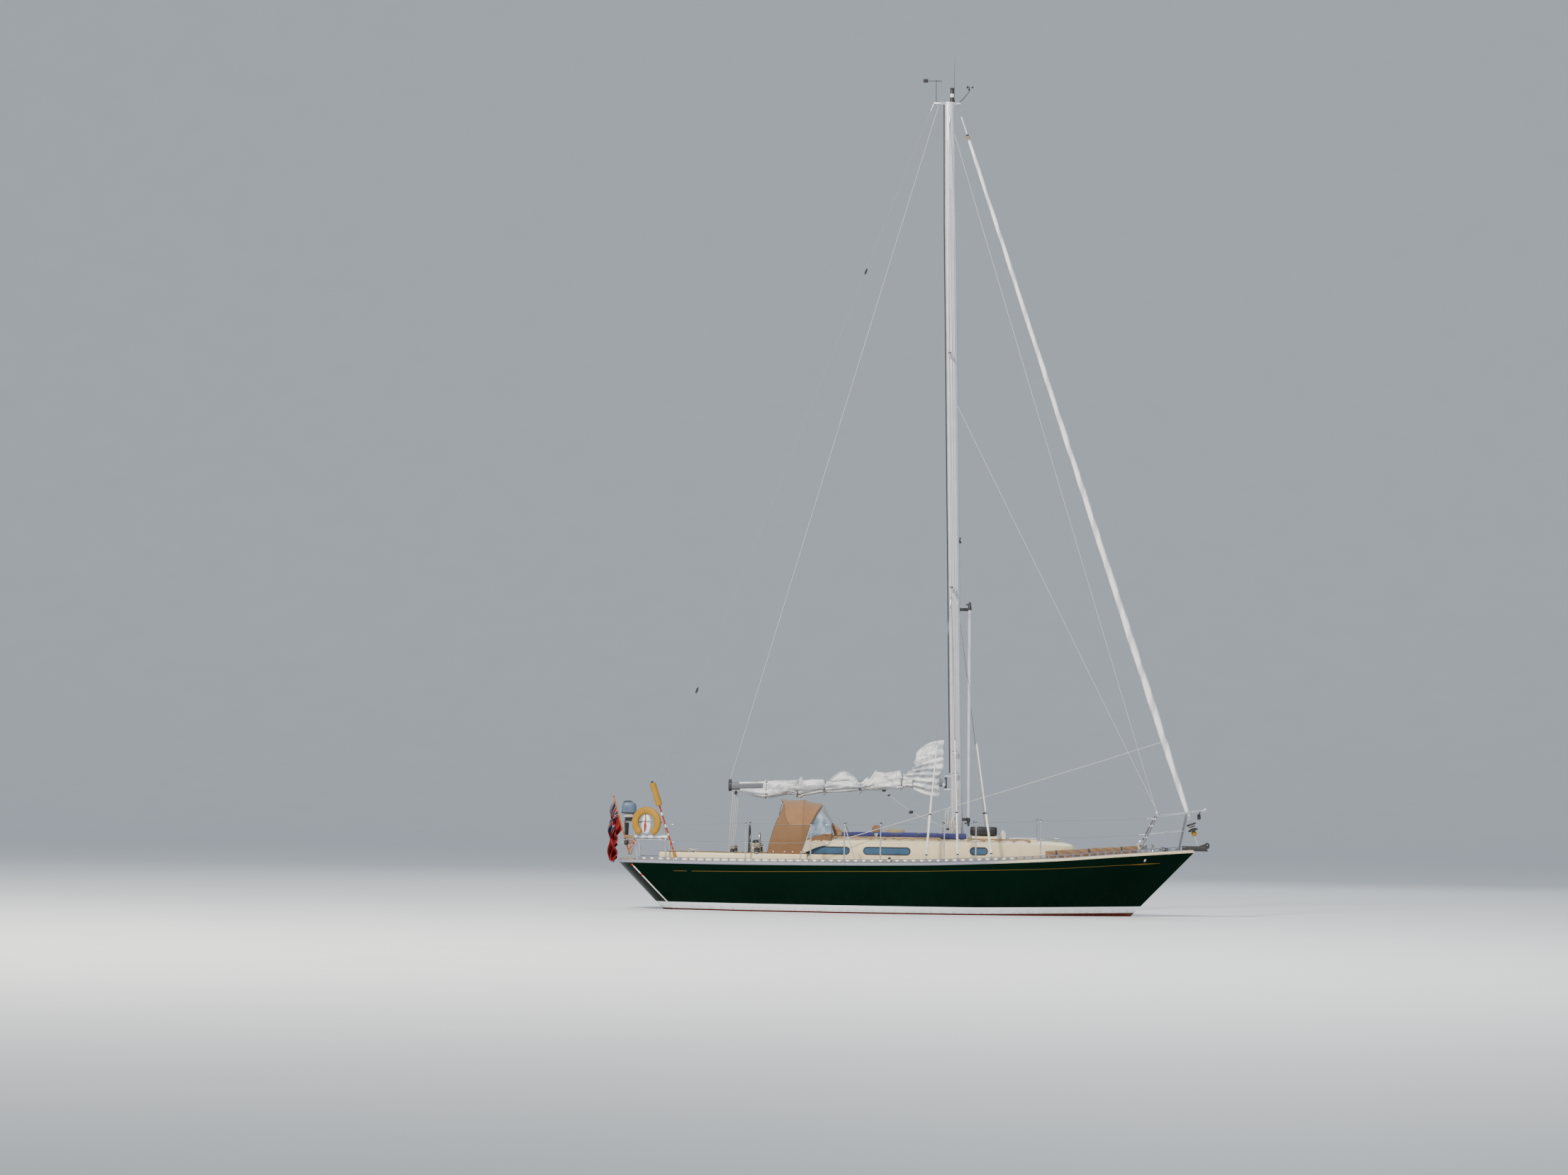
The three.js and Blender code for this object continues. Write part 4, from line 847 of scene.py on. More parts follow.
def finish_hood(look):
    """Sprayhood canvas. The place runs from hoop to hoop and up each hoop from 0 to 1. Above a seam at half
    height a paler panel of painted sunlight widens from the seam to the whole crown, and painted shade darkens the
    creases."""
    p = Paint("hood_canvas", rough=.85, sheen_weight=.2)
    row, rise, _ = p.place()
    x, y, z = p.xyz()
    weave = ((x + y * .3) * 1400).sine() * ((z + y) * 1400).sine()
    cloud, crease = p.noise(3.2, 5), p.noise(7, 5, rough=.6)
    up = ((rise - .53) / .47).clamp()
    edge = row - (1 - up.math("POWER", .6)) * .63
    panel = rise.above(.53, .004) * edge.above(0, .01)
    seam = rise.within(.53, .004, .003) + edge.within(0, .012, .01) * rise.above(.53, .004)
    colour = p.mix(cloud * .5, look.hood, shade(look.hood, 1.12))
    # painted sunlight: the upper panel is a paler copy of the canvas
    colour = p.mix(panel, colour, shade(look.hood, 1.45))
    # painted shade in the creases
    colour = p.mix(crease.above(.6, .3) * .3, colour, shade(look.hood, .7))
    p.colour(p.mix(seam.clamp() * .8, colour, shade(look.hood, .4)))
    p.rough(.78 + cloud * .15).relief(crease + weave * .02, .008, .9)
    return p.done()


def finish_furled(look):
    """Sail wound on its stay: a paler and a darker lap follow each other round and up, as the place says."""
    p = Paint("furled_sailcloth", rough=.65, sheen_weight=.15)
    lap, _, _ = p.place()
    crease, small = p.noise(9, 6, rough=.6), p.noise(38, 5, rough=.6)
    white = p.mix(p.noise(2.3, 5), (.8, .8, .8), (.92, .92, .92))
    p.colour(p.mix(lap.above(.45, .5) * .7, white, (.5, .49, .54)))
    p.rough(.6 + crease * .2).relief(crease + small * .3, .009, .6)
    return p.done()


def finish_edge(look):
    """Deck edge: grey alloy trim that turns to plain cream at the bow."""
    p = Paint("edge_trim", rough=.45)
    x, _, z = p.xyz()
    wear, spot = p.noise(30, 4), p.noise(5, 3)
    grey = p.mix(wear, (.2, .21, .26), (.31, .32, .38))
    cream = p.mix(spot * .4, look.cream, shade(look.cream, .82))
    p.colour(p.mix(((x - 1.6) / .8).clamp(), grey, cream))
    p.rough(.4 + wear * .2).relief(wear, .0008, .4)
    return p.done()


def finish_ensign(look):
    """Red cloth with a navy canton by the head of the hoist, crossed by white and red lines.
    The place runs from the hoist (0) to the fly (1) and from the foot (0) to the head (1)."""
    p = Paint("ensign_cloth", rough=.85)
    fly, rise, _ = p.place()
    red = p.mix(p.noise(7, 4), shade(look.ensign, .75), shade(look.ensign, 1.1))
    across, up = fly / .5, (rise - .5) / .5
    canton = (1 - fly.above(.5, .004)) * rise.above(.5, .004)
    colour = p.mix(canton, red, (.012, .016, .06))
    slant = (across - up).math("ABSOLUTE")
    counter = (across + up - 1).math("ABSOLUTE")
    diagonal = 1 - slant.math("MINIMUM", counter).above(.07, .02)
    colour = p.mix(diagonal * canton, colour, (.36, .36, .38))
    thin = 1 - slant.math("MINIMUM", counter).above(.04, .02)
    colour = p.mix(thin * canton, colour, shade(look.ensign, .9))
    upright = across.within(.5, .12, .02).math("MAXIMUM", up.within(.5, .12, .02))
    colour = p.mix(upright * canton, colour, (.36, .36, .38))
    cross = across.within(.5, .08, .02).math("MAXIMUM", up.within(.5, .08, .02))
    colour = p.mix(cross * canton, colour, shade(look.ensign, .95))
    weave = (fly * 1500).sine() * (rise * 2400).sine()
    p.colour(colour).rough(.8 + weave * .03).relief(p.noise(14, 5) + weave * .03, .004, .6)
    return p.done()


def finish_rope(look, name, colour, fleck=None):
    """Braided line: two sets of strands that cross, and dark flecks where a tracer runs."""
    p = Paint(name, rough=.8, sheen_weight=.2)
    along, around, _ = p.place()
    one, two = ((along * 95 + around) * TAU).sine(), ((along * 95 - around) * TAU).sine()
    braid = (one * two) * .5 + .5
    shown = p.mix(braid, shade(colour, .55), colour)
    shown = p.mix(one.above(.72, .2) * (1 if fleck else .25), shown, fleck or shade(colour, .7))
    p.colour(shown).rough(.75 + braid * .12).relief(braid, .0012, .8)
    return p.done()


def finish_moulding(look, name, colour, rough=.5, grain=.5):
    """Moulded plastic or rubber: a fine pebbled skin, chalked a little by the sun."""
    p = Paint(name, rough=rough)
    cloud, pebble = p.noise(6, 4), p.noise(260, 2)
    p.colour(p.mix(cloud, shade(colour, .75), tuple(min(1, c * 1.15 + .01) for c in colour)))
    p.rough(rough + cloud * .15).relief(pebble * .5 + cloud, .0007, grain)
    return p.done()


def finish_iron(look):
    p = Paint("cast_iron", rough=.6, metal=.2)
    cloud = p.noise(9, 5)
    p.colour(p.mix(cloud, (.09, .1, .11), (.2, .21, .22))).rough(.5 + cloud * .3).relief(p.noise(70, 4), .0012, .7)
    return p.done()


FINISHES = {
    "topsides": finish_topsides,
    "antifouling": finish_antifouling,
    "cream": finish_gelcoat,
    "nonslip": finish_nonslip,
    "planks": finish_planks,
    "teak": lambda look: finish_wood(look, "oiled_teak", shade(look.teak, .8), .55, .05),
    "varnish": lambda look: finish_wood(look, "varnished_wood", tint("a8662c"), .3, .5),
    "alloy": finish_alloy,
    "dark_alloy": lambda look: finish_alloy(look, "dark_alloy", (.05, .052, .055), .4),
    "steel": finish_steel,
    "bronze": finish_bronze,
    "glass": finish_glass,
    "clear": finish_clear,
    "sail": finish_sail,
    "edge": finish_edge,
    # dark grey copy of the alloy: painted shade, on the boom and on the pulpit's legs
    "spar_in_shade": lambda look: finish_alloy(look, "spar_in_shade", (.15, .155, .175), .45),
    "cowl": lambda look: finish_moulding(look, "cowl_paint", (.085, .13, .2), .35),
    "hood_base": lambda look: finish_cloth(look, "hood_base", shade(look.cream, .8)),
    "lit_plank": lambda look: finish_wood(look, "weathered_plank", (.27, .16, .085), .7, 0),
    "rail_alloy": lambda look: finish_alloy(look, "rail_alloy", (.22, .23, .28), .4),
    # near-white fill for the toe rail's slots: painted light
    "slot_light": lambda look: finish_moulding(look, "painted_slot_light", (.86, .87, .9), .4),
    "hood": finish_hood,
    "furled": finish_furled,
    # paler copy of the hood canvas: painted sunlight, on the strips between the film's panes and on a flap
    "hood_sunlit": lambda look: finish_cloth(look, "hood_sunlit_canvas", tuple(min(1, c * 1.45) for c in look.hood)),
    "hood_dark": lambda look: finish_cloth(look, "hood_binding", shade(look.hood, .42)),
    "blue": lambda look: finish_cloth(look, "blue_canvas", tuple(look.blue)),
    "khaki": lambda look: finish_cloth(look, "khaki_canvas", tint("8a7b58")),
    "webbing": lambda look: finish_cloth(look, "black_webbing", (.02, .02, .022)),
    "pale_webbing": lambda look: finish_cloth(look, "pale_webbing", (.6, .6, .57)),
    "ensign": finish_ensign,
    "yellow": lambda look: finish_moulding(look, "yellow_foam", tint("9c7200"), .5, .8),
    "red": lambda look: finish_moulding(look, "red_plastic", tint("980c08"), .45),
    "orange": lambda look: finish_moulding(look, "orange_plastic", tint("c04a0c"), .5),
    "white": lambda look: finish_moulding(look, "white_plastic", (.75, .75, .73), .35),
    "black": lambda look: finish_moulding(look, "black_plastic", (.014, .014, .016), .45),
    "rubber": lambda look: finish_moulding(look, "black_rubber", (.018, .018, .018), .75),
    "light_grey": lambda look: finish_moulding(look, "grey_board", tint("a9aca8"), .5),
    "iron": finish_iron,
    "rope": lambda look: finish_rope(look, "white_rope", (.66, .65, .6)),
    "rope_blue": lambda look: finish_rope(look, "blue_fleck_rope", (.66, .65, .62), (.03, .08, .35)),
    "rope_red": lambda look: finish_rope(look, "red_fleck_rope", (.6, .45, .42), (.4, .04, .04)),
    "wire": lambda look: finish_rope(look, "twisted_wire", (.3, .31, .33)),
}
MADE = {}


def finish(name):
    """The finish of that name, made the first time it is asked for."""
    if name not in MADE:
        MADE[name] = FINISHES[name](bpy.context.scene.yacht_colours)
    return MADE[name]


def finishes(*names):
    return [finish(name) for name in names]


# ---------------------------------------------------------------- settings

def colour_setting(name, description, default):
    return bpy.props.FloatVectorProperty(
        name=name, description=description, default=default, subtype="COLOR", size=3, min=0, max=1)


def length_setting(name, description, default, low=.0, high=20.0):
    return bpy.props.FloatProperty(
        name=name, description=description, default=default, min=low, max=high, unit="LENGTH", subtype="DISTANCE")


class YachtColours(bpy.types.PropertyGroup):
    """Colours that an owner would choose."""
    topsides: colour_setting("Topsides", "Gloss paint of the hull above the boot-top", tint("03180f"))
    antifouling: colour_setting("Antifouling", "Paint below the waterline", tint("5d1a1c"))
    cream: colour_setting("Mouldings", "Gelcoat of coachroof, coamings and deck margins", tint("e6d5ae"))
    teak: colour_setting("Teak", "Weathered deck planking", tint("a58963"))
    gilt: colour_setting("Cove line", "Gilt line below the deck edge", tint("6e5826"))
    hood: colour_setting("Sprayhood", "Canvas of the folding hood", tint("765638"))
    blue: colour_setting("Canvas roll", "Canvas rolled on the coachroof", tint("000c5c"))
    ensign: colour_setting("Ensign", "Field of the flag", tint("7c000a"))


class YachtSizes(bpy.types.PropertyGroup):
    """Sizes of what is dressed on, in metres."""
    wire: length_setting("Wire radius", "Radius of shrouds and backstay", .006, .002, .02)
    rail_tube: length_setting("Rail tube radius", "Radius of pulpit and pushpit tube", .0135, .005, .03)
    lifeline: length_setting("Lifeline radius", "Radius of the guardrail wires", .0022, .001, .02)
    slot_pitch: length_setting("Toe rail slot pitch", "Distance from slot to slot in the toe rail", .148, .05, .5)
    handrail: length_setting("Handrail pitch", "Distance from foot to foot of the coachroof handrails", .25, .1, 1)
    wall: length_setting("Hull wall", "Thickness of the hull's laminate", .035, .01, .1)


class YachtOperator:
    """What every piece's operator shares."""
    bl_options = {"REGISTER", "UNDO"}

    @property
    def sizes(self):
        return bpy.context.scene.yacht_sizes

    def execute(self, context):
        self.build()
        return {"FINISHED"}


# ---------------------------------------------------------------- stage

class BuildStage(YachtOperator, bpy.types.Operator):
    """Camera at the photograph's angle, pale floor at the waterline, backdrop and soft lights"""
    bl_idname = "yacht.stage"
    bl_label = "Stage"

    def build(self):
        self.camera()
        self.floor()
        self.lights()

    def camera(self):
        """The long side spans 28.7 m at the mast from 90 m off; the picture is rolled a little, as it was held."""
        lens = bpy.data.cameras.new("camera")
        lens.sensor_width, lens.lens = CAMERA["sensor"], CAMERA["lens"]
        lens.clip_end = 500
        camera = bpy.data.objects.new("camera", lens)
        bpy.context.scene.collection.objects.link(camera)
        azimuth, elevation, roll = (math.radians(CAMERA[name]) for name in ("azimuth", "elevation", "roll"))
        back = vec(math.sin(azimuth) * math.cos(elevation), -math.cos(azimuth) * math.cos(elevation),
                   math.sin(elevation))
        place = vec(*CAMERA["aim"]) + back * CAMERA["away"]
        forward = -back
        right = unit(np.cross(forward, (0, 0, 1)))
        up = np.cross(right, forward)
        right, up = (turned(v, forward, -roll) for v in (right, up))
        matrix = np.eye(4)
        matrix[:3, 0], matrix[:3, 1], matrix[:3, 2], matrix[:3, 3] = right, up, back, place
        camera.matrix_world = Matrix(matrix.tolist())
        bpy.context.scene.camera = camera

    def floor(self):
        """A flat pale floor that turns up behind in a wide quarter circle."""
        across = np.linspace(-160, 160, 9)
        turn = np.linspace(0, math.pi / 2, 24)
        depth = np.concatenate([[-130, -60, 0, 60], 110 + 60 * np.sin(turn), [170]])
        height = np.concatenate([[0, 0, 0, 0], 60 * (1 - np.cos(turn)), [120]])
        rings = np.stack([np.repeat(across[None], len(depth), 0), np.repeat(depth[:, None], 9, 1),
                          np.repeat(height[:, None], 9, 1)], 2)
        form = Form().add(rings, wrap=False)
        floor = bpy.data.objects.new("floor", new_mesh("floor", form, weld=False))
        bpy.context.scene.collection.objects.link(floor)
        floor.data.polygons.foreach_set("use_smooth", np.ones(len(floor.data.polygons), bool))
        p = Paint("pale_floor", rough=.55)
        cloud = p.noise(.6, 4)
        p.colour(p.mix(cloud, (.80, .82, .84), (.86, .875, .89))).rough(.5 + cloud * .12)
        floor.data.materials.append(p.done())

    def lights(self):
        """A pale sky all round, a broad key light aft and above on the near side, and a weak fill."""
        world = bpy.data.worlds.new("studio")
        world.use_nodes = True
        nodes, links = world.node_tree.nodes, world.node_tree.links
        sky = nodes["Background"]
        sky.inputs["Color"].default_value = (.80, .90, 1, 1)
        path, scale = nodes.new("ShaderNodeLightPath"), nodes.new("ShaderNodeMath")
        scale.operation = "MULTIPLY_ADD"
        scale.inputs[1].default_value, scale.inputs[2].default_value = .5, .52
        links.new(path.outputs["Is Camera Ray"], scale.inputs[0])
        links.new(scale.outputs[0], sky.inputs["Strength"])
        bpy.context.scene.world = world
        for name, place, aim, size, power, colour in (
                ("key", (-18, -36, 34), (0, 0, 3), 5, 36000, (1, .94, .86)),
                ("fill", (30, -34, 16), (0, 0, 4), 22, 2500, (.86, .93, 1)),
                ("back", (8, 34, 26), (0, 0, 6), 20, 3500, (.92, .96, 1))):
            lamp = bpy.data.lights.new(name, "AREA")
            lamp.size, lamp.energy, lamp.color = size, power, colour
            light = bpy.data.objects.new(name, lamp)
            bpy.context.scene.collection.objects.link(light)
            light.location = place
            light.rotation_euler = (Vector(aim) - Vector(place)).to_track_quat("-Z", "Y").to_euler()


# ---------------------------------------------------------------- hull

class BuildHull(YachtOperator, bpy.types.Operator):
    """Hull skin with its boot-top and cove line, the deck edge, and the bare inside of the hull"""
    bl_idname = "yacht.hull"
    bl_label = "Hull"

    def build(self):
        form = Form()
        outer, place = self.skin(self.plan())
        inner, inner_place = self.skin(self.plan(self.sizes.wall), -self.sizes.wall)
        form.add(outer, 0, wrap=False, place=place)
        form.add(inner, 1, wrap=False, place=inner_place)
        for edge in (0, -1):
            form.add(np.stack([outer[:, edge], inner[:, edge]], 1), 1, wrap=False)
        form.add(np.stack([outer[0], inner[0]], 0), 0, wrap=False)
        piece("hull_skin", form, finishes("topsides", "cream"),
              stands_for=["hull"], sharp=50)
        self.edge()

    @staticmethod
    def plan(inset=0.0):
        """Rows from bow to stern as (x, share of the half width): even stations, then the quarter's corner
        cut round, then a transom that bulges aft by a parabola as its share falls to nothing."""
        side = np.stack([np.linspace(BOW_X - inset * 2, STERN_X + .12, 140), np.ones(140)], 1)
        share = np.linspace(.88, 0, 22)
        back = np.stack([STERN_X - TRANSOM_BULGE * (1 - share**2), share], 1)
        corner = soften(np.vstack([side[-1:], [[STERN_X, 1]], back[:1]]), 4)
        rows = np.vstack([side[:-1], corner, back[1:]])
        rows[:, 0] += inset * (1 - rows[:, 1] * .5) * (rows[:, 0] < 0)
        return rows

    @staticmethod
    def skin(plan, grow=0.0):
        """The hull from the port sheer under the keel to the starboard sheer, for each row of its plan."""
        x, share = plan[:, :1], plan[:, 1:]
        angle = (np.linspace(0, 1, 40)**.92 * math.pi / 2)[None]
        half = hull_point(np.maximum(x, STERN_X), angle, grow)
        half[..., 0] += np.minimum(x - STERN_X, 0)
        half[..., 1] *= share
        rings = np.concatenate([half[:, ::-1], half[:, 1:] * (1, -1, 1)], 1)
        place = np.zeros(rings.shape)
        place[..., 0] = np.where(share < .999, STERN_X - 3, x)
        place[..., 1] = smooth(HULL_LINES, SHEER, np.maximum(x, STERN_X)) - rings[..., 2]
        return rings, place

    def edge(self):
        """The moulded edge that the toe rail stands on: a low rounded strip carried round the sheer."""
        plan = self.plan()
        x, share = plan[:, 0], plan[:, 1]
        width = beam(np.maximum(x, STERN_X)) * share
        height = smooth(HULL_LINES, SHEER, np.maximum(x, STERN_X))
        path = np.stack([x, width, height], 1)[:-1]
        path = np.vstack([path, path[::-1] * (1, -1, 1)])
        section = np.array([(-.060, .0), (-.060, .034), (-.050, .041), (-.010, .041), (.001, .037), (.006, .026),
                            (.006, .008), (.001, -.006), (-.004, -.010), (-.03, -.012)])
        piece("deck_edge", Form().add(sweep(path, section)), finishes("edge"))


class BuildUnderbody(YachtOperator, bpy.types.Operator):
    """Fin keel, skeg, rudder, propeller and its bracket as fair foils"""
    bl_idname = "yacht.underbody"
    bl_label = "Underbody"

    @staticmethod
    def foil(rows, levels=28, around=40):
        """A blade whose edges and thickness run straight between rows of (z, aft, fore, thick); each section
        is an ellipse swollen towards its fore edge, and the tip closes over a rounded end."""
        rows = np.array(rows, float)[::-1]
        z = np.linspace(rows[0, 0], rows[-1, 0], levels)
        aft, fore, thick = (np.interp(z, rows[:, 0], rows[:, k]) for k in (1, 2, 3))
        angle = round_angles(around)
        reach = np.cos(angle)
        ring = lambda z, aft, fore, thick: np.stack([
            (aft + fore)[:, None] / 2 + (fore - aft)[:, None] / 2 * reach,
            thick[:, None] / 2 * np.sin(angle) * (.75 + .35 * reach),
            np.repeat(z[:, None], around, 1)], 2)
        rounding = np.array([.0, .3, .6, .85])
        ease = np.sqrt(1 - (1 - rounding)**2)
        end = ring(z[0] + thick[0] * .22 * rounding, aft[0] + (1 - ease) * thick[0] * .3,
                   fore[0] - (1 - ease) * thick[0] * .3, thick[0] * ease)
        keep = z > z[0] + thick[0] * .22
        return closed(np.concatenate([end, ring(z[keep], aft[keep], fore[keep], thick[keep])]))

    def build(self):
        keel = self.foil([(-.28, -1.05, 1.65, .33), (-.56, -.96, 1.56, .29), (-1.1, -.86, 1.15, .24),
                          (-1.56, -.78, .8, .23), (-1.7, -.74, .69, .15)])
        piece("keel_fairing", Form().add(keel), finishes("antifouling"), stands_for=["keel"])
        aft = -3.432
        skeg = Form().add(self.foil([(-.13, aft, -2.89, .11), (-.7, aft, -3.06, .09), (-1.29, aft, -3.23, .06),
                                     (-1.345, aft, -3.26, .05)], levels=20))
        skeg.add(block((-3.525, -.022, -1.345), (-3.38, .022, -1.311), .012))
        piece("skeg_fairing", skeg, finishes("antifouling"), stands_for=["skeg"])
        rudder = Form().add(self.foil([(-.265, -4.01, -3.446, .072), (-.8, -4.02, -3.446, .062),
                                       (-1.305, -3.9, -3.446, .046)], levels=24))
        rudder.add(tube(line((-3.48, 0, -.32), (-3.48, 0, .04)), .027, 24), 1)
        rudder.add(tube(line((-3.48, 0, -1.338), (-3.48, 0, -1.29)), .0143, 20), 1)
        piece("rudder_blade", rudder, finishes("antifouling", "bronze"), body="rudder",
              stands_for=["rudder"])
        self.propeller()

    def propeller(self):
        """Each blade is an ellipse whose pitch eases from root to tip and whose face is cupped."""
        centre, gland = vec(-2.64, 0, -.72), vec(-1.7, 0, -.502)
        ahead = unit(gland - centre)
        lift = unit(np.cross(ahead, (0, 1, 0)))
        form = Form().add(lathe([(.0, -.075), (.012, -.068), (.022, -.05), (.034, -.015), (.036, .02), (.034, .045),
                                 (.016, .046)], centre, ahead, 40))
        form.add(tube(line(centre, centre + ahead * 1.01), .0131, 20))
        r, t = np.linspace(0, 1, 16)[:, None], round_angles(28)[None]
        chord = .062 * np.sqrt(np.clip(1 - (2 * (r * .92 + .04) - .88)**2, 0, 1)) * (r < 1)
        thick = .007 * (1 - r * .75) * (r < 1)
        pitch = .95 - .5 * r
        reach = .02 + r * .178
        for turn in range(3):
            c, h = chord * np.cos(t), thick * np.sin(t) + .004 * np.cos(t)**2 * (r < 1)
            along, aside = c * np.sin(pitch) * .55 + h * np.cos(pitch), c * np.cos(pitch) - h * np.sin(pitch)
            blade = centre + along[..., None] * ahead + aside[..., None] * vec(0, 1, 0) + (
                reach + 0 * t)[..., None] * -lift
            form.add(closed(turned(blade, ahead, turn * TAU / 3, centre)))
        piece("propeller_wheel", form, finishes("bronze"), body="propeller", stands_for=["propeller"])
        at = lambda d: centre + ahead * d
        bracket = Form().add(lathe([(.022, 0), (.033, .004), (.034, .06), (.033, .116), (.022, .12)], at(.11), ahead))
        path = curve([at(.17), at(.17) + vec(.03, 0, .2), at(.17) + vec(.06, 0, .36)], 14)
        bracket.add(tube(path, np.linspace(.024, .03, 14), 20, flat=.4))
        piece("propeller_bracket", bracket, finishes("bronze"), stands_for=["shaft_bracket"])


# ---------------------------------------------------------------- deck

class BuildDeck(YachtOperator, bpy.types.Operator):
    """Teak deck laid to the curve of the edge, perforated toe rails, and the cockpit's well"""
    bl_idname = "yacht.deck"
    bl_label = "Deck and well"

    @staticmethod
    def patch(xs, inner, outer, columns=18, side=0):
        """A strip of deck between two half widths; its place is metres along and metres in from the edge.
        With side 0 it runs right across."""
        t = np.linspace(-1, 1, columns * 2) if side == 0 else np.linspace(0, 1, columns)
        low, high = inner(xs)[:, None], outer(xs)[:, None]
        y = high * t if side == 0 else side * (low + (high - low) * t)
        z = deck_z(xs[:, None], y)
        grid = np.stack([np.repeat(xs[:, None], len(t), 1), y, z], 2)
        place = np.stack([grid[..., 0], beam(xs)[:, None] - abs(y), 0 * y], 2)
        return grid, place, side < 0

    def build(self):
        form = Form()
        edge = lambda x: beam(x) - .05
        well = lambda x: np.interp(x, (WELL["aft_x"], WELL["fore_x"]), (WELL["aft_y"], WELL["fore_y"]))
        house = lambda x: smooth(ROOF_LINES, ROOF_WIDTH, x) - .02
        nothing = lambda x: 0 * x
        spans = [(np.linspace(-3.95, -2.08, 30), well, 1), (np.linspace(-1.97, 3.3, 80), house, 1),
                 (np.linspace(-2.08, -1.97, 3), nothing, 0), (np.linspace(3.3, 5.36, 34), nothing, 0)]
        for xs, inner, sided in spans:
            for side in ((1, -1) if sided else (0,)):
                grid, place, over = self.patch(xs, inner, edge, side=side)
                form.add(grid, 0, wrap=False, place=place, flip=not over)
        form.add(*self.after_deck())
        piece("teak_planking", form, finishes("planks"), stands_for=["deck"], outward=False,
              wall=.02)
        for name, side in SIDES:
            self.toe_rail(name, side)
        self.well()

    def after_deck(self):
        """The deck abaft the well, which follows the round of the transom."""
        rows = BuildHull.plan()
        rows = rows[rows[:, 0] < -3.95]
        rows = np.vstack([[[-3.95, 1]], rows])
        x, share = rows[:, :1], rows[:, 1:]
        section = np.maximum(x, STERN_X)
        t = np.linspace(-1, 1, 36)[None]
        y = t * np.maximum(beam(section) * share - .04 * share, 0)
        grid = np.stack([x + .03 * (share < .999) + 0 * y, y, deck_z(section, y)], 2)
        place = np.stack([grid[..., 0], beam(section) - abs(y), 0 * y], 2)
        return grid, 0, False, place, False

    def toe_rail(self, name, side):
        """An L-shaped extrusion on the deck edge with a row of rounded slots: its web is a lattice of closed
        bars, rising from foot to cap between the slots."""
        xs = np.linspace(-4.7, 5.28, 150)
        at = lambda x, inset, lift: np.stack([
            x, side * (beam(x) - inset), smooth(HULL_LINES, SHEER, x) + DECK_EDGE + lift], -1)
        form = Form()
        for low, high in ((.0, .020), (.060, .073)):
            mid, half = (low + high) / 2, (high - low) / 2
            section = np.array([(-.0042, -half), (.0042, -half), (.0055, 0), (.0042, half), (-.0042, half),
                                (-.0055, 0)])
            form.add(sweep(at(xs, .032, mid), section))
        foot = np.array([(-.014, -.004), (.014, -.004), (.014, .003), (.012, .005), (-.012, .005), (-.014, .003)])
        form.add(sweep(at(xs, .047, .006), foot))
        pitch = self.sizes.slot_pitch
        centres = np.arange(-4.7 + pitch / 2, 5.25, pitch)
        height = np.linspace(.016, .066, 7)
        flare = .016 + .03 * (2 * (height - .041) / .05)**4
        ring = np.array([(-1, -.0042), (1, -.0042), (1, .0042), (-1, .0042)])
        x = centres[:, None, None] + flare[None, :, None] * ring[None, None, :, 0]
        y = side * (beam(x) - .032) + ring[:, 1]
        z = smooth(HULL_LINES, SHEER, x) + DECK_EDGE + height[None, :, None]
        bars = np.stack([x, y, z], -1)
        for bar in bars:
            form.add(closed(bar))
        # pale flattened balls over the slots: painted light showing in them
        for at_x in centres[:-1] + pitch / 2:
            if at_x < 2.2:
                lift = float(smooth(HULL_LINES, SHEER, at_x)) + DECK_EDGE + .041
                lug = vec(at_x, side * (float(beam(at_x)) - .022), lift)
                form.add(ball(lug, .024, 14, (1.25, .22, .72)), 1)
        piece(f"toe_rail_extrusion_{name}", form, finishes("rail_alloy", "slot_light"),
              stands_for=[f"toe_rail_{name}"])

    def well(self):
        """Seats, footwell and sole as moulded panels round the well, with the walls up to the deck."""
        form = Form()
        foot = FOOTWELL
        aft, fore = WELL["aft_x"], WELL["fore_x"]
        for side in (1, -1):
            seat = np.array([(aft, side * foot["half"]), (fore, side * foot["half"]),
                             (fore, side * WELL["fore_y"]), (aft, side * WELL["aft_y"])])
            wall = np.array([(aft, side * WELL["aft_y"]), (fore, side * WELL["fore_y"]),
                             (fore, side * (WELL["fore_y"] + .02)), (aft, side * (WELL["aft_y"] + .02))])
            turn = slice(None, None, side)
            form.add(slab(seat[turn], SEAT_Z - .02, SEAT_Z, .004), 1)
            form.add(slab(wall[turn], SEAT_Z - .03, .93, .004))
            form.add(block((foot["aft_x"], side * foot["half"] - .01 + .01 * side, SOLE_Z - .02),
                           (foot["fore_x"], side * foot["half"] + .01 + .01 * side, SEAT_Z - .001), .004))
        for x0, x1 in ((aft, foot["aft_x"]), (foot["fore_x"], fore)):
            form.add(block((x0, -foot["half"], SEAT_Z - .02), (x1, foot["half"], SEAT_Z), .004), 1)
        for x, thick in ((foot["aft_x"], -.02), (foot["fore_x"], .02)):
            form.add(block((min(x, x + thick), -.34, SOLE_Z - .02), (max(x, x + thick), .34, SEAT_Z - .001), .004))
        form.add(block((aft - .02, -.64, SEAT_Z - .02), (aft, .64, .93), .004))
        form.add(block((fore, -.85, SEAT_Z - .02), (fore + .02, .85, .985), .004))
        form.add(block((foot["aft_x"] - .02, -.34, SOLE_Z - .022), (foot["fore_x"] + .02, .34, SOLE_Z), .004), 1)
        piece("cockpit_well", form, finishes("cream", "nonslip"))
        slats = Form()
        for y in np.linspace(-.27, .27, 10):
            slats.add(block((foot["aft_x"] + .03, y - .024, SOLE_Z + .0005), (-2.66, y + .024, SOLE_Z + .017), .004))
        piece("sole_grating", slats, finishes("teak"))
        inside = Form()
        inside.add(slab(np.array([(-1.9, -.9), (1.5, -.75), (2.9, -.35), (2.9, .35), (1.5, .75), (-1.9, .9)]),
                        CABIN_SOLE_Z - .01, CABIN_SOLE_Z, .003))
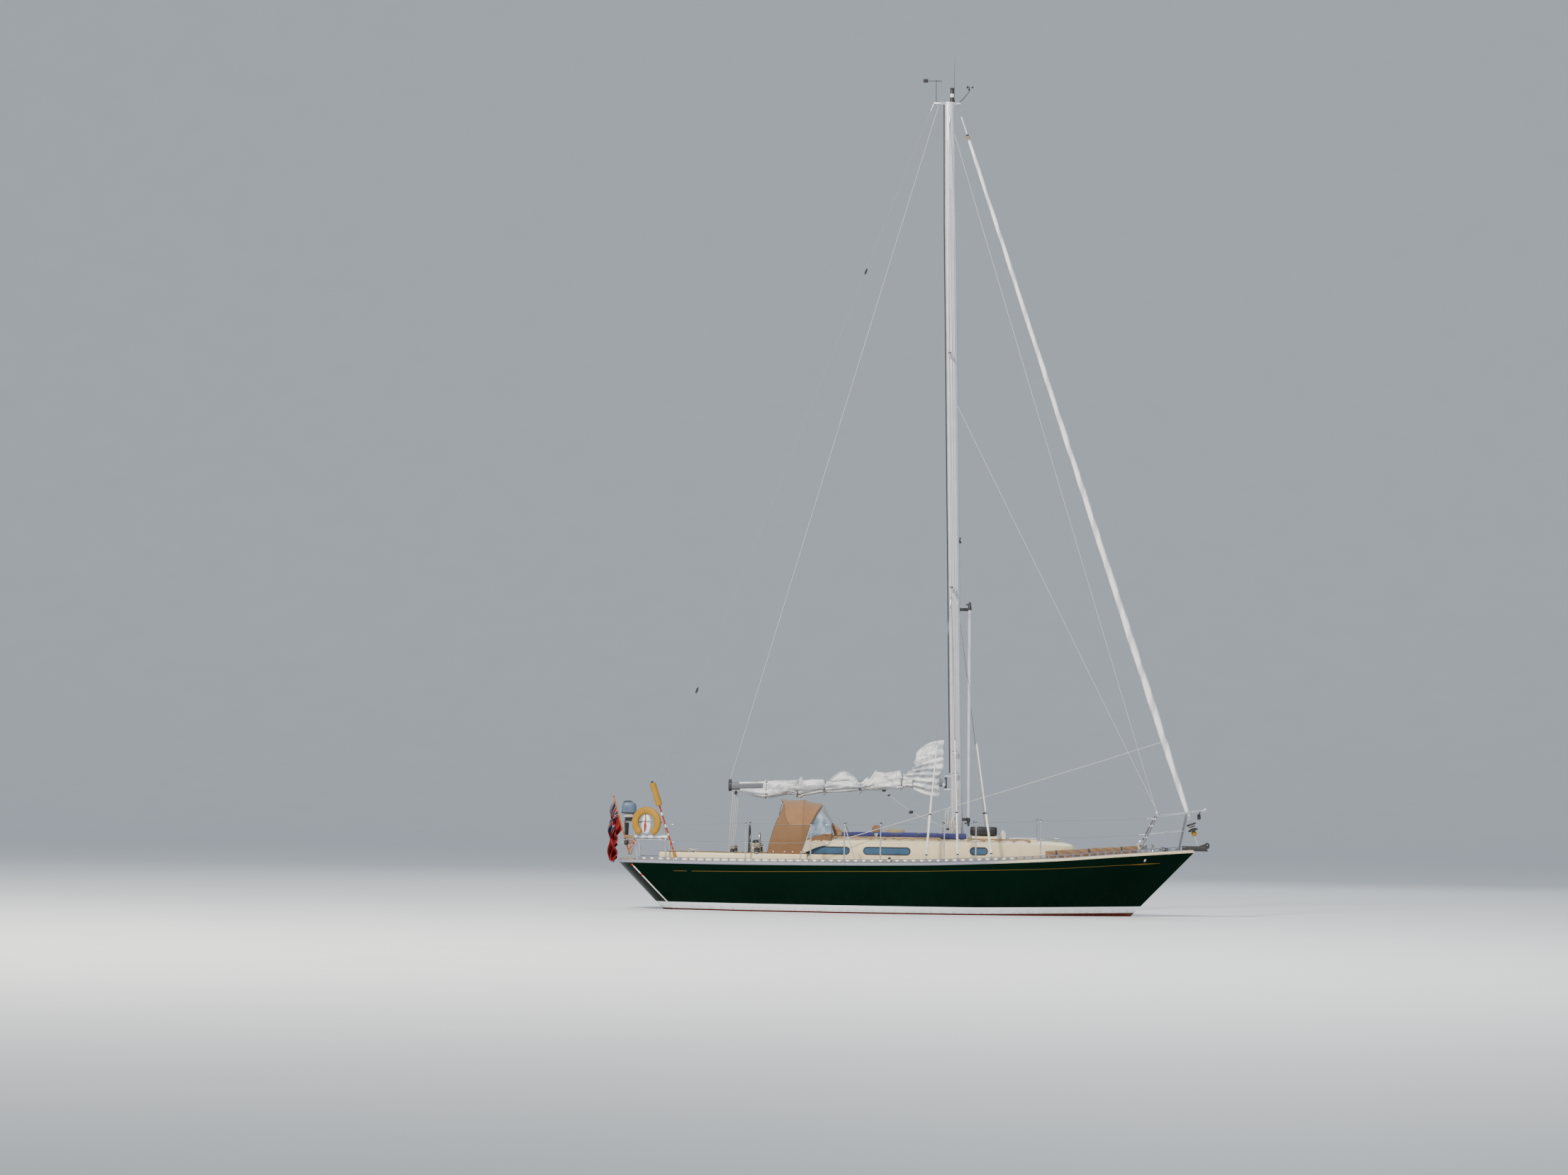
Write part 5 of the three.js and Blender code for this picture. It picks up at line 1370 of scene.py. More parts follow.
        inside.add(block((-1.95, -1.1, -.3), (-1.92, 1.1, .97), .004), 1)
        inside.add(block((1.68, -.72, -.28), (1.70, -.3, 1.25), .004), 1)
        inside.add(block((1.68, .3, -.28), (1.70, .72, 1.25), .004), 1)
        piece("cabin_joinery", inside, finishes("teak", "cream"))


# ---------------------------------------------------------------- coachroof

def cabin_side(x, z):
    """Half width of the cabin side, which leans in evenly between the two shoulders of its section."""
    width, roof = smooth(ROOF_LINES, ROOF_WIDTH, x), smooth(ROOF_LINES, ROOF_TOP, x)
    side = width - np.maximum(width - .12, width * .4)
    return width - side * (.1 + .42 * (z - .96) / (roof - .112 - .96))


def stadium(x0, x1, z, grow=0.0, steps=14):
    """Outline of a slot with round ends, running round in the (x, z) plane."""
    r = WINDOW_HEIGHT / 2
    angle = np.linspace(-math.pi / 2, math.pi / 2, steps)
    end = np.stack([np.cos(angle), np.sin(angle)], 1) * (r + grow)
    straight = np.linspace(0, 1, 12)[1:-1, None]
    fore, aft = end + (x1 - r, z), -end + (x0 + r, z)
    return np.vstack([fore, fore[-1] + (aft[0] - fore[-1]) * straight, aft, aft[-1] + (fore[0] - aft[-1]) * straight])


class BuildCoachroof(YachtOperator, bpy.types.Operator):
    """Coachroof with its windows cut, glazing, hatches, handrails, ventilators and what is lashed on top"""
    bl_idname = "yacht.coachroof"
    bl_label = "Coachroof"

    def build(self):
        self.shell()
        self.glazing()
        self.hatches()
        self.handrails()
        self.fittings()
        self.stowed()

    def shell(self):
        xs = np.concatenate([np.linspace(-1.97, 2.9, 70), 3.3 - .4 * (1 - np.linspace(0, 1, 26)[1:])**1.6])
        rings = self.section(xs, 0.0)
        inner = self.section(np.concatenate([np.linspace(-1.925, 2.8, 60), np.linspace(2.84, 3.22, 12)]), WALL)
        holes = [closed(inner), block((-2.2, -.3, .975), (-1.3, .3, 1.7), .03),
                 block((2.08, -.24, 1.1), (2.56, .24, 1.7), .03)]
        for _, x0, x1, z in WINDOWS:
            outline = stadium(x0, x1, z)
            for low, high in ((.4, 1.25), (-1.25, -.4)):
                tunnel = np.stack([np.stack([outline[:, 0], np.full(len(outline), y), outline[:, 1]], 1)
                                   for y in (low, high)])
                holes.append(closed(tunnel))
        piece("coachroof_shell", Form().add(closed(rings)), finishes("cream"),
              stands_for=["coachroof"], holes=holes, sharp=32)
        trim = Form()
        for side in (1, -1):
            path = np.stack([np.linspace(-1.96, -.69, 12), np.full(12, side * .362), np.full(12, 1.389)], 1)
            trim.add(sweep(path, rounded(.024, .034, .006, 2)))
            trim.add(block((-1.965, side * .35 - .024, 1.35), (-.69, side * .35 + .024, 1.3735), .004))
        tread = self.tread()
        trim.add(tread, 1, wrap=False)
        coaming = rounded(.55, .55, .03)
        trim.add(np.concatenate([slab(coaming, 1.28, 1.3738, .006, FOREHATCH)[1:-1],
                                 slab(rounded(.48, .48, .02), 1.28, 1.3738, .0, FOREHATCH)[1:-1][::-1]]))
        trim.add(block((1.4, -.225, 1.35), (1.87, .225, 1.4195), .012))
        piece("coachroof_mouldings", trim, finishes("cream", "nonslip"), outward=False)

    @staticmethod
    def section(xs, inset):
        half = np.stack([roof_ring(x, inset) for x in xs])
        x = np.repeat(xs[:, None], half.shape[1], 1)
        port = np.stack([x, half[..., 0], half[..., 1]], 2)
        return np.concatenate([port, port[:, -2::-1] * (1, -1, 1)], 1)

    @staticmethod
    def tread():
        """Non-slip panel a millimetre above the roof, well inside its edges."""
        xs = np.linspace(-.62, 1.0, 30)
        y = np.linspace(-.62, .62, 25)
        z = np.array([[roof_z(x, v) for v in y] for x in xs[:1]])
        top = np.interp(xs, ROOF_LINES[:, 0], ROOF_LINES[:, 2])[:, None] + (z - z.max()) + .0012
        return np.stack([np.repeat(xs[:, None], 25, 1), np.repeat(y[None], 30, 0), top], 2)[:, ::-1]

    def glazing(self):
        for name, x0, x1, z in WINDOWS:
            for place, side in SIDES:
                outline = stadium(x0, x1, z, .004)
                middle = outline.mean(0)
                share = np.linspace(0, 1, 6)[:, None, None]
                flat = middle + (outline - middle) * share
                face = lambda h: np.stack([flat[..., 0], side * (cabin_side(flat[..., 0], flat[..., 1]) + h),
                                           flat[..., 1]], 2)
                pane = np.concatenate([face(-.004), face(-.012)[::-1]])
                piece(f"pane_{name}_{place}", Form().add(pane), finishes("glass"),
                      stands_for=[f"window_{name}_{place}"])
                frame_form = Form()
                section = np.array([(.013, 0), (.011, .0035), (.004, .005), (-.004, .0045), (-.007, .001),
                                    (-.007, -.006), (.0, -.006), (.013, -.002)])
                rim = stadium(x0, x1, z)
                out = unit(np.stack([(np.roll(rim, -1, 0) - np.roll(rim, 1, 0))[:, 1],
                                     -(np.roll(rim, -1, 0) - np.roll(rim, 1, 0))[:, 0]], 1))
                at = rim[None] + section[:, :1, None] * out[None]
                ring = np.stack([at[..., 0], side * (cabin_side(at[..., 0], at[..., 1]) + section[:, 1:2]),
                                 at[..., 1]], 2)
                frame_form.add(np.concatenate([ring, ring[:1]]))
                piece(f"window_frame_{name}_{place}", frame_form, finishes("dark_alloy"))

    def hatches(self):
        lid = slab(rounded(.705, .69, .05, 6), HATCH_Z + .0005, HATCH_Z + .0295, .009, (-1.6425, 0, 0))
        lid[..., 2] -= .007 * (lid[..., 1] / .345)**2 * (lid[..., 2] > HATCH_Z + .015)
        slider = Form().add(lid)
        slider.add(slab(rounded(.56, .5, .04, 5), HATCH_Z + .02, HATCH_Z + .0305, .003, (-1.62, 0, 0)), 1)
        path = curve([(-1.97, -.09, 1.395), (-1.972, -.07, 1.416), (-1.972, .07, 1.416), (-1.97, .09, 1.395)], 20)
        slider.add(tube(path, .007, 10), 2)
        piece("sliding_hatch", slider, finishes("cream", "nonslip", "steel"), body="companionway hatch",
              stands_for=["companionway_hatch"])
        boards = Form()
        for low, high in ((.9753, 1.108), (1.1095, 1.240), (1.2415, 1.368)):
            boards.add(block((-1.962, -.2997, low), (-1.938, .2997, high), .003))
        boards.add(tube(curve([(-1.966, -.04, 1.28), (-1.985, 0, 1.285), (-1.966, .04, 1.28)], 12), .005, 8), 1)
        piece("wash_boards", boards, finishes("teak", "steel"), stands_for=["washboards"])
        hatch = Form()
        hatch.add(np.concatenate([slab(rounded(.55, .55, .05, 6), 1.3745, 1.4035, .006, FOREHATCH)[1:-1],
                                  slab(rounded(.46, .46, .035, 6), 1.3745, 1.4035, .001, FOREHATCH)[1:-1][::-1]]))
        lens = slab(rounded(.462, .462, .036, 6), 1.382, 1.4005, .002, FOREHATCH)
        hatch.add(lens, 1)
        for y in (-.15, .15):
            hatch.add(block((2.083, y - .02, 1.3995), (2.12, y + .02, 1.4095), .006), 2)
        piece("fore_hatch", hatch, finishes("alloy", "glass", "black"), body="forehatch",
              stands_for=["forehatch"], outward=False)

    def handrails(self):
        """Teak rails over the roof edge, scalloped between their feet: the underside rises and falls
        with the fourth root of a cosine, so that each foot is broad and each gap a long low arch."""
        pitch = self.sizes.handrail
        for name, side in SIDES:
            form = Form()
            for x0, x1 in ((-1.22, .84), (1.30, 2.46)):
                count = max(int(round((x1 - x0 - .06) / pitch)), 1)
                x = np.linspace(x0, x1, count * 24 + 1)
                phase = (x - x0 - .03) / (x1 - x0 - .06) * count
                arch = np.clip(np.abs(np.sin(math.pi * np.clip(phase, 0, count)))**.45 * 1.35 - .35, 0, 1)
                half = np.maximum(smooth(ROOF_LINES, ROOF_WIDTH, x) - .19, .2)
                low = np.array([roof_z(a, b) for a, b in zip(x, half)])
                ends = np.minimum(1, np.minimum(x - x0, x1 - x) / .04)
                bottom, top = low + arch * .034 - .004 * (1 - arch), low + .03 + .03 * np.sqrt(np.clip(ends, 0, 1))
                section = rounded(1, 1, .3, 3)
                y = side * half[:, None] + section[:, 0] * .026
                z = (bottom + top)[:, None] / 2 + section[:, 1] * (top - bottom)[:, None]
                form.add(closed(np.stack([np.repeat(x[:, None], len(section), 1), y, z], 2)))
            piece(f"handrail_{name}", form, finishes("teak"))

    def fittings(self):
        """A cowl ventilator on its box, a mushroom ventilator, and the small deck hardware by the mast."""
        form = Form()
        base = vec(1.975, .34, roof_z(1.975, .34))
        for y in (base[1], -base[1]):
            low = vec(1.975, y, base[2] - .004)
            form.add(lathe([(.055, 0), (.055, .012), (.045, .018), (.038, .03), (.036, .07)], low), 0)
            path = curve([low + vec(0, 0, .06), low + vec(0, 0, .1), low + vec(-.015, 0, .13), low + vec(-.05, 0, .15)],
                         14)
            form.add(tube(path, np.linspace(.036, .058, 14), 24, dome=False), 0)
            form.add(tube(path[-2:] + vec(-.003, 0, .001), .046, 24, dome=False), 1)
        low = vec(2.93, 0, roof_z(2.93, 0) - .003)
        form.add(lathe([(.03, 0), (.03, .02), (.075, .028), (.082, .036), (.072, .05), (.04, .062), (0, .066)], low), 2)
        low = vec(2.7, .18, roof_z(2.7, .18) - .003)
        form.add(lathe([(.025, 0), (.025, .02), (.05, .026), (.05, .034), (.0, .046)], low), 2)
        piece("ventilators", form, finishes("white", "black", "steel"))
        gear = Form()
        for y in (-.42, -.34, .34, .42):
            for x in (.55, .86):
                z = roof_z(x, y)
                gear.add(block((x - .035, y - .012, z), (x + .035, y + .012, z + .006), .004), 0)
                gear.add(lathe([(.019, -.006), (.02, 0), (.014, .003), (.014, .007), (.02, .01), (.019, .016)],
                               (x, y, z + .024), (0, 1, 0), 20), 1)
                gear.add(tube(curve([(x - .022, y, z + .004), (x, y, z + .047), (x + .022, y, z + .004)], 10), .0028,
                              6), 0)
        for y in (-.56, .56):
            z = roof_z(-.35, y)
            gear.add(lathe([(.048, 0), (.05, .012), (.034, .022), (.03, .065), (.045, .08), (.045, .094), (.02, .102),
                            (0, .1)],
                           (-.35, y, z - .002)), 0)
            for x in (-.02, .1):
                gear.add(block((x - .03, y - .014, z - .002), (x + .03, y + .014, z + .03), .006), 1)
                gear.add(tube(curve([(x - .05, y, z + .052), (x, y, z + .038), (x + .055, y, z + .058)], 10), .006, 8),
                         1)
        piece("roof_blocks", gear, finishes("steel", "black"))

    def stowed(self):
        """Canvas roll on the roof, the valise in its chocks, and bags by the mast."""
        x = np.linspace(-.975, 1.29, 120)
        angle = round_angles(28)
        centre_z = 1.4138
        wave = wobble(x * 9, x * 17)[:, None]
        r = .055 + .0035 * wave + .0028 * np.sin(3 * angle + x[:, None] * 7)
        r = r + .002 * np.sin(11 * angle + x[:, None] * 23)
        ties = np.array([-.82, -.42, .0, .42, .82, 1.15])
        pinch = np.exp(-((x[:, None] - ties) / .022)**2).sum(1)[:, None]
        r = r - .010 * pinch
        ends = np.sqrt(np.clip(np.minimum(x + .99, 1.302 - x) / .03, 0, 1))[:, None]
        y = -.47 + r * ends * np.cos(angle) + .008 * np.sin(x[:, None] * 2.2)
        z = centre_z - .002 + np.maximum(r * ends * np.sin(angle), -.0585)
        place = np.stack([np.repeat(x[:, None], 28, 1), np.repeat(angle[None] / TAU, 120, 0), 0 * y], 2)
        roll = Form().add(closed(np.stack([place[..., 0], y, z], 2)))
        for tie in ties:
            a = round_angles(24)
            rim = lambda r, dx: np.stack([np.full(24, tie + dx), -.47 + .008 * math.sin(tie * 2.2) + r * np.cos(a),
                                          centre_z - .002 + r * np.sin(a)], 1)
            strap = flat_hoop(rim, .0475, .0505, -.011, .011)
            roll.add(strap, 1)
        piece("rolled_canvas", roll, finishes("blue", "webbing"), stands_for=["canvas_roll"])
        self.valise()
        self.bags()

    def valise(self):
        """A laced case: a superellipse in section whose ends are pulled in, welted along its seam, strapped."""
        u = np.linspace(-1, 1, 60)
        angle = round_angles(64)
        end = (1 - np.abs(u)**9)**.22
        strap = np.exp(-((u[:, None] - np.array([-.45, .45])) / .045)**2).sum(1)
        at_x, at_z, seam_z = 1.61, 1.51, 1.508
        x = at_x + .246 * u[:, None] + 0 * angle
        swell = (.97 + .03 * np.cos(u * math.pi / 2) - .02 * strap)[:, None]
        y = .236 * end[:, None] * swell * signed_power(np.cos(angle), .38)
        z = at_z + .088 * (.55 + .45 * end)[:, None] * swell * signed_power(np.sin(angle), .42)
        rings = np.stack([x, y, z + .004 * np.sin(x * 31) * np.cos(y * 17)], 2)
        form = Form().add(closed(rings))
        for at in (-.45, .45):
            k = int(np.argmin(abs(u - at)))
            ring = rings[k]
            middle = vec(ring[0, 0], 0, at_z)
            ribbon = lambda g, dx: middle + (ring - middle) * g + vec(dx, 0, 0)
            form.add(flat_hoop(ribbon, 1.0, 1.02, -.012, .012), 1)
        seam = np.stack([at_x + .2465 * signed_power(np.cos(angle), .3), .238 * signed_power(np.sin(angle), .3),
                         np.full(64, seam_z)], 1)
        welt = round_bar(seam, unit(seam - vec(at_x, 0, seam_z)), vec(0, 0, 1), .0045, 8)
        form.add(np.concatenate([welt, welt[:1]]), 2)
        piece("raft_valise", form, finishes("black", "webbing", "rubber"),
              stands_for=["valise"])

    def bags(self):
        """A boxy bag and a rolled cover lie behind the canvas roll: soft lofts whose skins sag and crease."""
        u, angle = np.linspace(0, 1, 30)[:, None], round_angles(48)[None]
        belly = np.sin(np.clip(u * .95 + .05, 0, 1) * math.pi)**.22
        crease = 1 + .045 * np.sin(angle * 5 + u * 7) + .02 * np.sin(angle * 11 - u * 13)
        x = -.36 + .082 * belly * crease * signed_power(np.cos(angle), .6) + .012 * u
        y = -.22 + .075 * belly * crease * signed_power(np.sin(angle), .6)
        z = 1.366 + .215 * u + .012 * np.sin(angle * 2 + 1) * u
        box_bag = Form().add(closed(np.stack([x, y, z], 2)))
        piece("line_bag", box_bag, finishes("hood"))
        along = np.linspace(0, 1, 60)[:, None]
        round_off = np.sqrt(np.clip(1 - np.abs(2 * along - 1)**7, 0, 1))
        r = .084 * round_off * (1 + .05 * np.sin(angle * 3 + along * 9) + .03 * np.sin(angle * 7 - along * 21))
        x = -.20 + .36 * along + .01 * np.sin(angle)
        rolled = Form().add(closed(np.stack([x + 0 * r, -.20 + r * np.cos(angle), 1.452 + r * np.sin(angle)], 2)))
        piece("rolled_cover", rolled, finishes("khaki"))


# ---------------------------------------------------------------- cockpit

class BuildCockpit(YachtOperator, bpy.types.Operator):
    """Coamings with teak caps, seat lids, pedestal and wheel, winches, mainsheet track"""
    bl_idname = "yacht.cockpit"
    bl_label = "Cockpit"

    def build(self):
        self.coaming()
        self.lids()
        self.pedestal()
        self.wheel()
        self.winches()
        self.track()

    def coaming(self):
        """Each arm is carried along its plan curve with a section whose top corners are rounded."""
        rows = np.array([(-1.6, .945, 1.11), (-2.1, .9, 1.11), (-2.8, .775, 1.06), (-3.5, .69, .94), (-4.02, .63, .79)])
        x = np.linspace(-1.6, -4.02, 60)
        inner, outer = (np.interp(x, rows[::-1, 0], rows[::-1, k]) for k in (1, 2))
        kernel = np.ones(9) / 9
        ease = lambda v: np.convolve(np.pad(v, 4, "edge"), kernel, "valid")
        inner, outer = ease(inner), ease(outer)
        well = np.interp(x, (WELL["aft_x"], WELL["fore_x"]), (WELL["aft_y"], WELL["fore_y"])) + .002
        form, caps = Form(), Form()
        low = np.full(60, .78)
        top = COAMING_Z
        for side in (1, -1):
            a = np.maximum(inner, well)
            points = [(a, low), (a + .012, np.full(60, top - .03))]
            points += [(a + .012 + .03 * (1 - math.cos(t)), np.full(60, top - .03 + .03 * math.sin(t)))
                       for t in np.linspace(.2, math.pi / 2, 4)]
            b = outer - .04
            points += [(b - .03 + .03 * math.sin(t), np.full(60, top - .03 + .03 * math.cos(t)))
                       for t in np.linspace(0, math.pi / 2, 5)]
            points += [(outer, low)]
            rings = np.stack([np.stack([x, side * y, z], 1) for y, z in points], 1)
            form.add(closed(rings))
            path = np.stack([x[6:-1], side * (a + .028)[6:-1], np.full(53, top + .004)], 1)
            caps.add(sweep(path, rounded(.05, .012, .005, 2)))
        form.add(block((-4.29, -.64, .86), (-3.96, .64, top), .05, .025))
        piece("coaming_moulding", form, finishes("cream"), stands_for=["cockpit_coaming"])
        caps.add(block((-4.27, -.6, top - .002), (-3.98, .6, top + .009), .04, .004))
        piece("coaming_caps", caps, finishes("teak"))

    def lids(self):
        for name, side in SIDES:
            form = Form()
            y0, y1 = sorted((side * .345, side * .72))
            form.add(block((-2.9, y0, .6004), (-2.18, y1, .6195), .02, .004))
            for y in np.linspace(y0 + .04, y1 - .04, 7):
                form.add(block((-2.88, y - .022, .619), (-2.2, y + .022, .6248), .004), 1)
            piece(f"seat_lid_{name}", form, finishes("cream", "teak"), body=f"{name} locker lid",
                  stands_for=[f"locker_lid_{name}"])

    def pedestal(self):
        x = -2.54
        form = Form()
        form.add(lathe([(.1, .0005), (.1, .012), (.086, .022), (.078, .3), (.068, .7), (.062, .9), (.07, .92)],
                       (x, 0, SOLE_Z), sides=40))
        head = slab(rounded(.15, .15, .03, 5), 1.11, 1.225, .012, (x, 0, 0))
        form.add(head)
        form.add(lathe([(.074, 0), (.075, .02), (.07, .04), (.055, .055), (.0, .062)], (x, 0, 1.225), sides=40), 1)
        form.add(lathe([(.056, 0), (.056, .003), (0, .004)], (x, 0, 1.29), sides=32), 2)
        guard = curve([(x + .06, -.17, SOLE_Z + .001), (x + .06, -.17, .7), (x + .06, -.17, 1.2), (x + .06, -.12, 1.4),
                       (x + .06, 0, 1.42), (x + .06, .12, 1.4), (x + .06, .17, 1.2), (x + .06, .17, .7),
                       (x + .06, .17, SOLE_Z + .001)], 80)
        form.add(tube(guard, .0135, 16, dome=False), 3)
        form.add(tube(line((x + .06, -.17, 1.15), (x + .06, .17, 1.15), 6), .011, 14), 3)
        form.add(tube(line((x - .02, .076, 1.17), (x - .02, .13, 1.2), 4), .006, 10), 3)
        form.add(ball((x - .02, .135, 1.203), .013), 4)
        piece("binnacle", form, finishes("cream", "black", "glass", "steel", "red"),
              stands_for=["steering_pedestal"])

    def wheel(self):
        """Rim wound in stitched hide: a ring whose tube carries a fine spiral ridge."""
        centre, big, small = vec(-2.665, 0, 1.195), .361, .0138
        a, b = round_angles(240)[:, None], round_angles(16)[None]
        r = small - .0006 * np.maximum(0, np.sin(b + a * 60))**6
        rings = np.stack([r * np.sin(b), (big + r * np.cos(b)) * np.cos(a), (big + r * np.cos(b)) * np.sin(a)], 2)
        form = Form().add(centre + np.concatenate([rings, rings[:1]]), 0)
        for k in range(6):
            end = vec(0, math.cos(k * TAU / 6 + math.pi / 2), math.sin(k * TAU / 6 + math.pi / 2))
            path = line(centre + end * .02, centre + end * (big - .004), 10)
            form.add(tube(path, np.linspace(.0085, .006, 10), 12), 1)
        form.add(lathe([(.012, -.025), (.03, -.024), (.037, -.016), (.037, .016), (.03, .024), (.014, .025),
                        (.0125, .049)], centre, (1, 0, 0), 32), 1)
        form.add(lathe([(.014, 0), (.012, .008), (.0, .012)], centre - vec(.025, 0, 0), (-1, 0, 0), 24), 1)
        piece("wheel_assembly", form, finishes("black", "steel"), body="steering wheel",
              stands_for=["steering_wheel"])

    def winches(self):
        """Drums with a waisted body, ribbed all round, a broad base and a self-tailing crown."""
        for kind, x, y, radius, height in (("primary", -2.5, .985, .068, .165), ("secondary", -2.95, .925, .05, .125)):
            for name, side in SIDES:
                base = (x, side * y, COAMING_Z + .0008)
                profile = np.array([(.0, 0), (.98, 0), (1, .03), (1, .09), (.95, .115), (.8, .17), (.71, .24),
                                    (.68, .34),
                                    (.68, .52), (.71, .62), (.8, .68), (.93, .71), (.97, .73), (.97, .755), (.8, .775),
                                    (.78, .8), (.95, .82), (.97, .85), (.95, .885), (.62, .91), (.56, .93), (.52, .99),
                                    (.3, 1.0), (.26, .97), (.2, .94), (0, .94)]) * (radius, height)
                rings = lathe(profile, base, sides=72)
                middle = np.array(base)
                ribbed = (rings[..., 2] - middle[2] > .24 * height) & (rings[..., 2] - middle[2] < .64 * height)
                ripple = 1 + .03 * np.sign(np.sin(round_angles(72) * 18))[None] * ribbed
                rings[..., :2] = middle[:2] + (rings[..., :2] - middle[:2]) * ripple[..., None]
                form = Form().add(rings)
                share = ((rings[:-1, 0, 2] + rings[1:, 0, 2]) / 2 - middle[2]) / height
                tone = np.array([0, 1, 2, 0, 1, 0, 1])[np.searchsorted([.1, .2, .64, .77, .83, .9], share)]
                form.finishes[0] = np.repeat(tone, 72)
                piece(f"winch_drum_{kind}_{name}", form, finishes("steel", "black", "dark_alloy"),
                      body=f"{name} {kind} winch",
                      stands_for=[f"winch_{kind}_{name}"])

    def track(self):
        form = Form()
        section = np.array([(-.02, .0), (.02, .0), (.02, .006), (.006, .01), (.006, .024), (.016, .028), (.016, .036),
                            (-.016, .036), (-.016, .028), (-.006, .024), (-.006, .01), (-.02, .006)])
        form.add(sweep(line((-3.02, -.695, .652), (-3.02, .695, .652), 12), section))
        for side in (1, -1):
            form.add(block((-3.05, side * .5 - .06, .6005), (-2.99, side * .5 + .06, .6545), .008), 0)
        form.add(block((-3.06, -.075, .692), (-2.98, .075, .712), .01), 1)
        for y in (-.055, .055):
            form.add(lathe([(.022, -.008), (.023, 0), (.015, .003), (.015, .006), (.023, .009), (.022, .016)],
                           (-3.02, y, .735), (1, 0, 0), 24), 1)
        piece("sheet_traveller", form, finishes("alloy", "black"), stands_for=["mainsheet_track"])


# ---------------------------------------------------------------- cloth

def hood_hoops():
    """Hoops of the hood from aft to fore: x, top, lean of the crown, half width, height of the foot."""
    return np.array([(-2.32, 2.04, .2, 1.01, 1.0513), (-1.7, 2.03, .04, 1.01, 1.0513), (-1.36, 1.965, .03, .92, 1.2013),
                     (-1.17, 1.69, .015, .87, 1.2263), (-1.15, 1.345, 0, .82, 1.2513)])


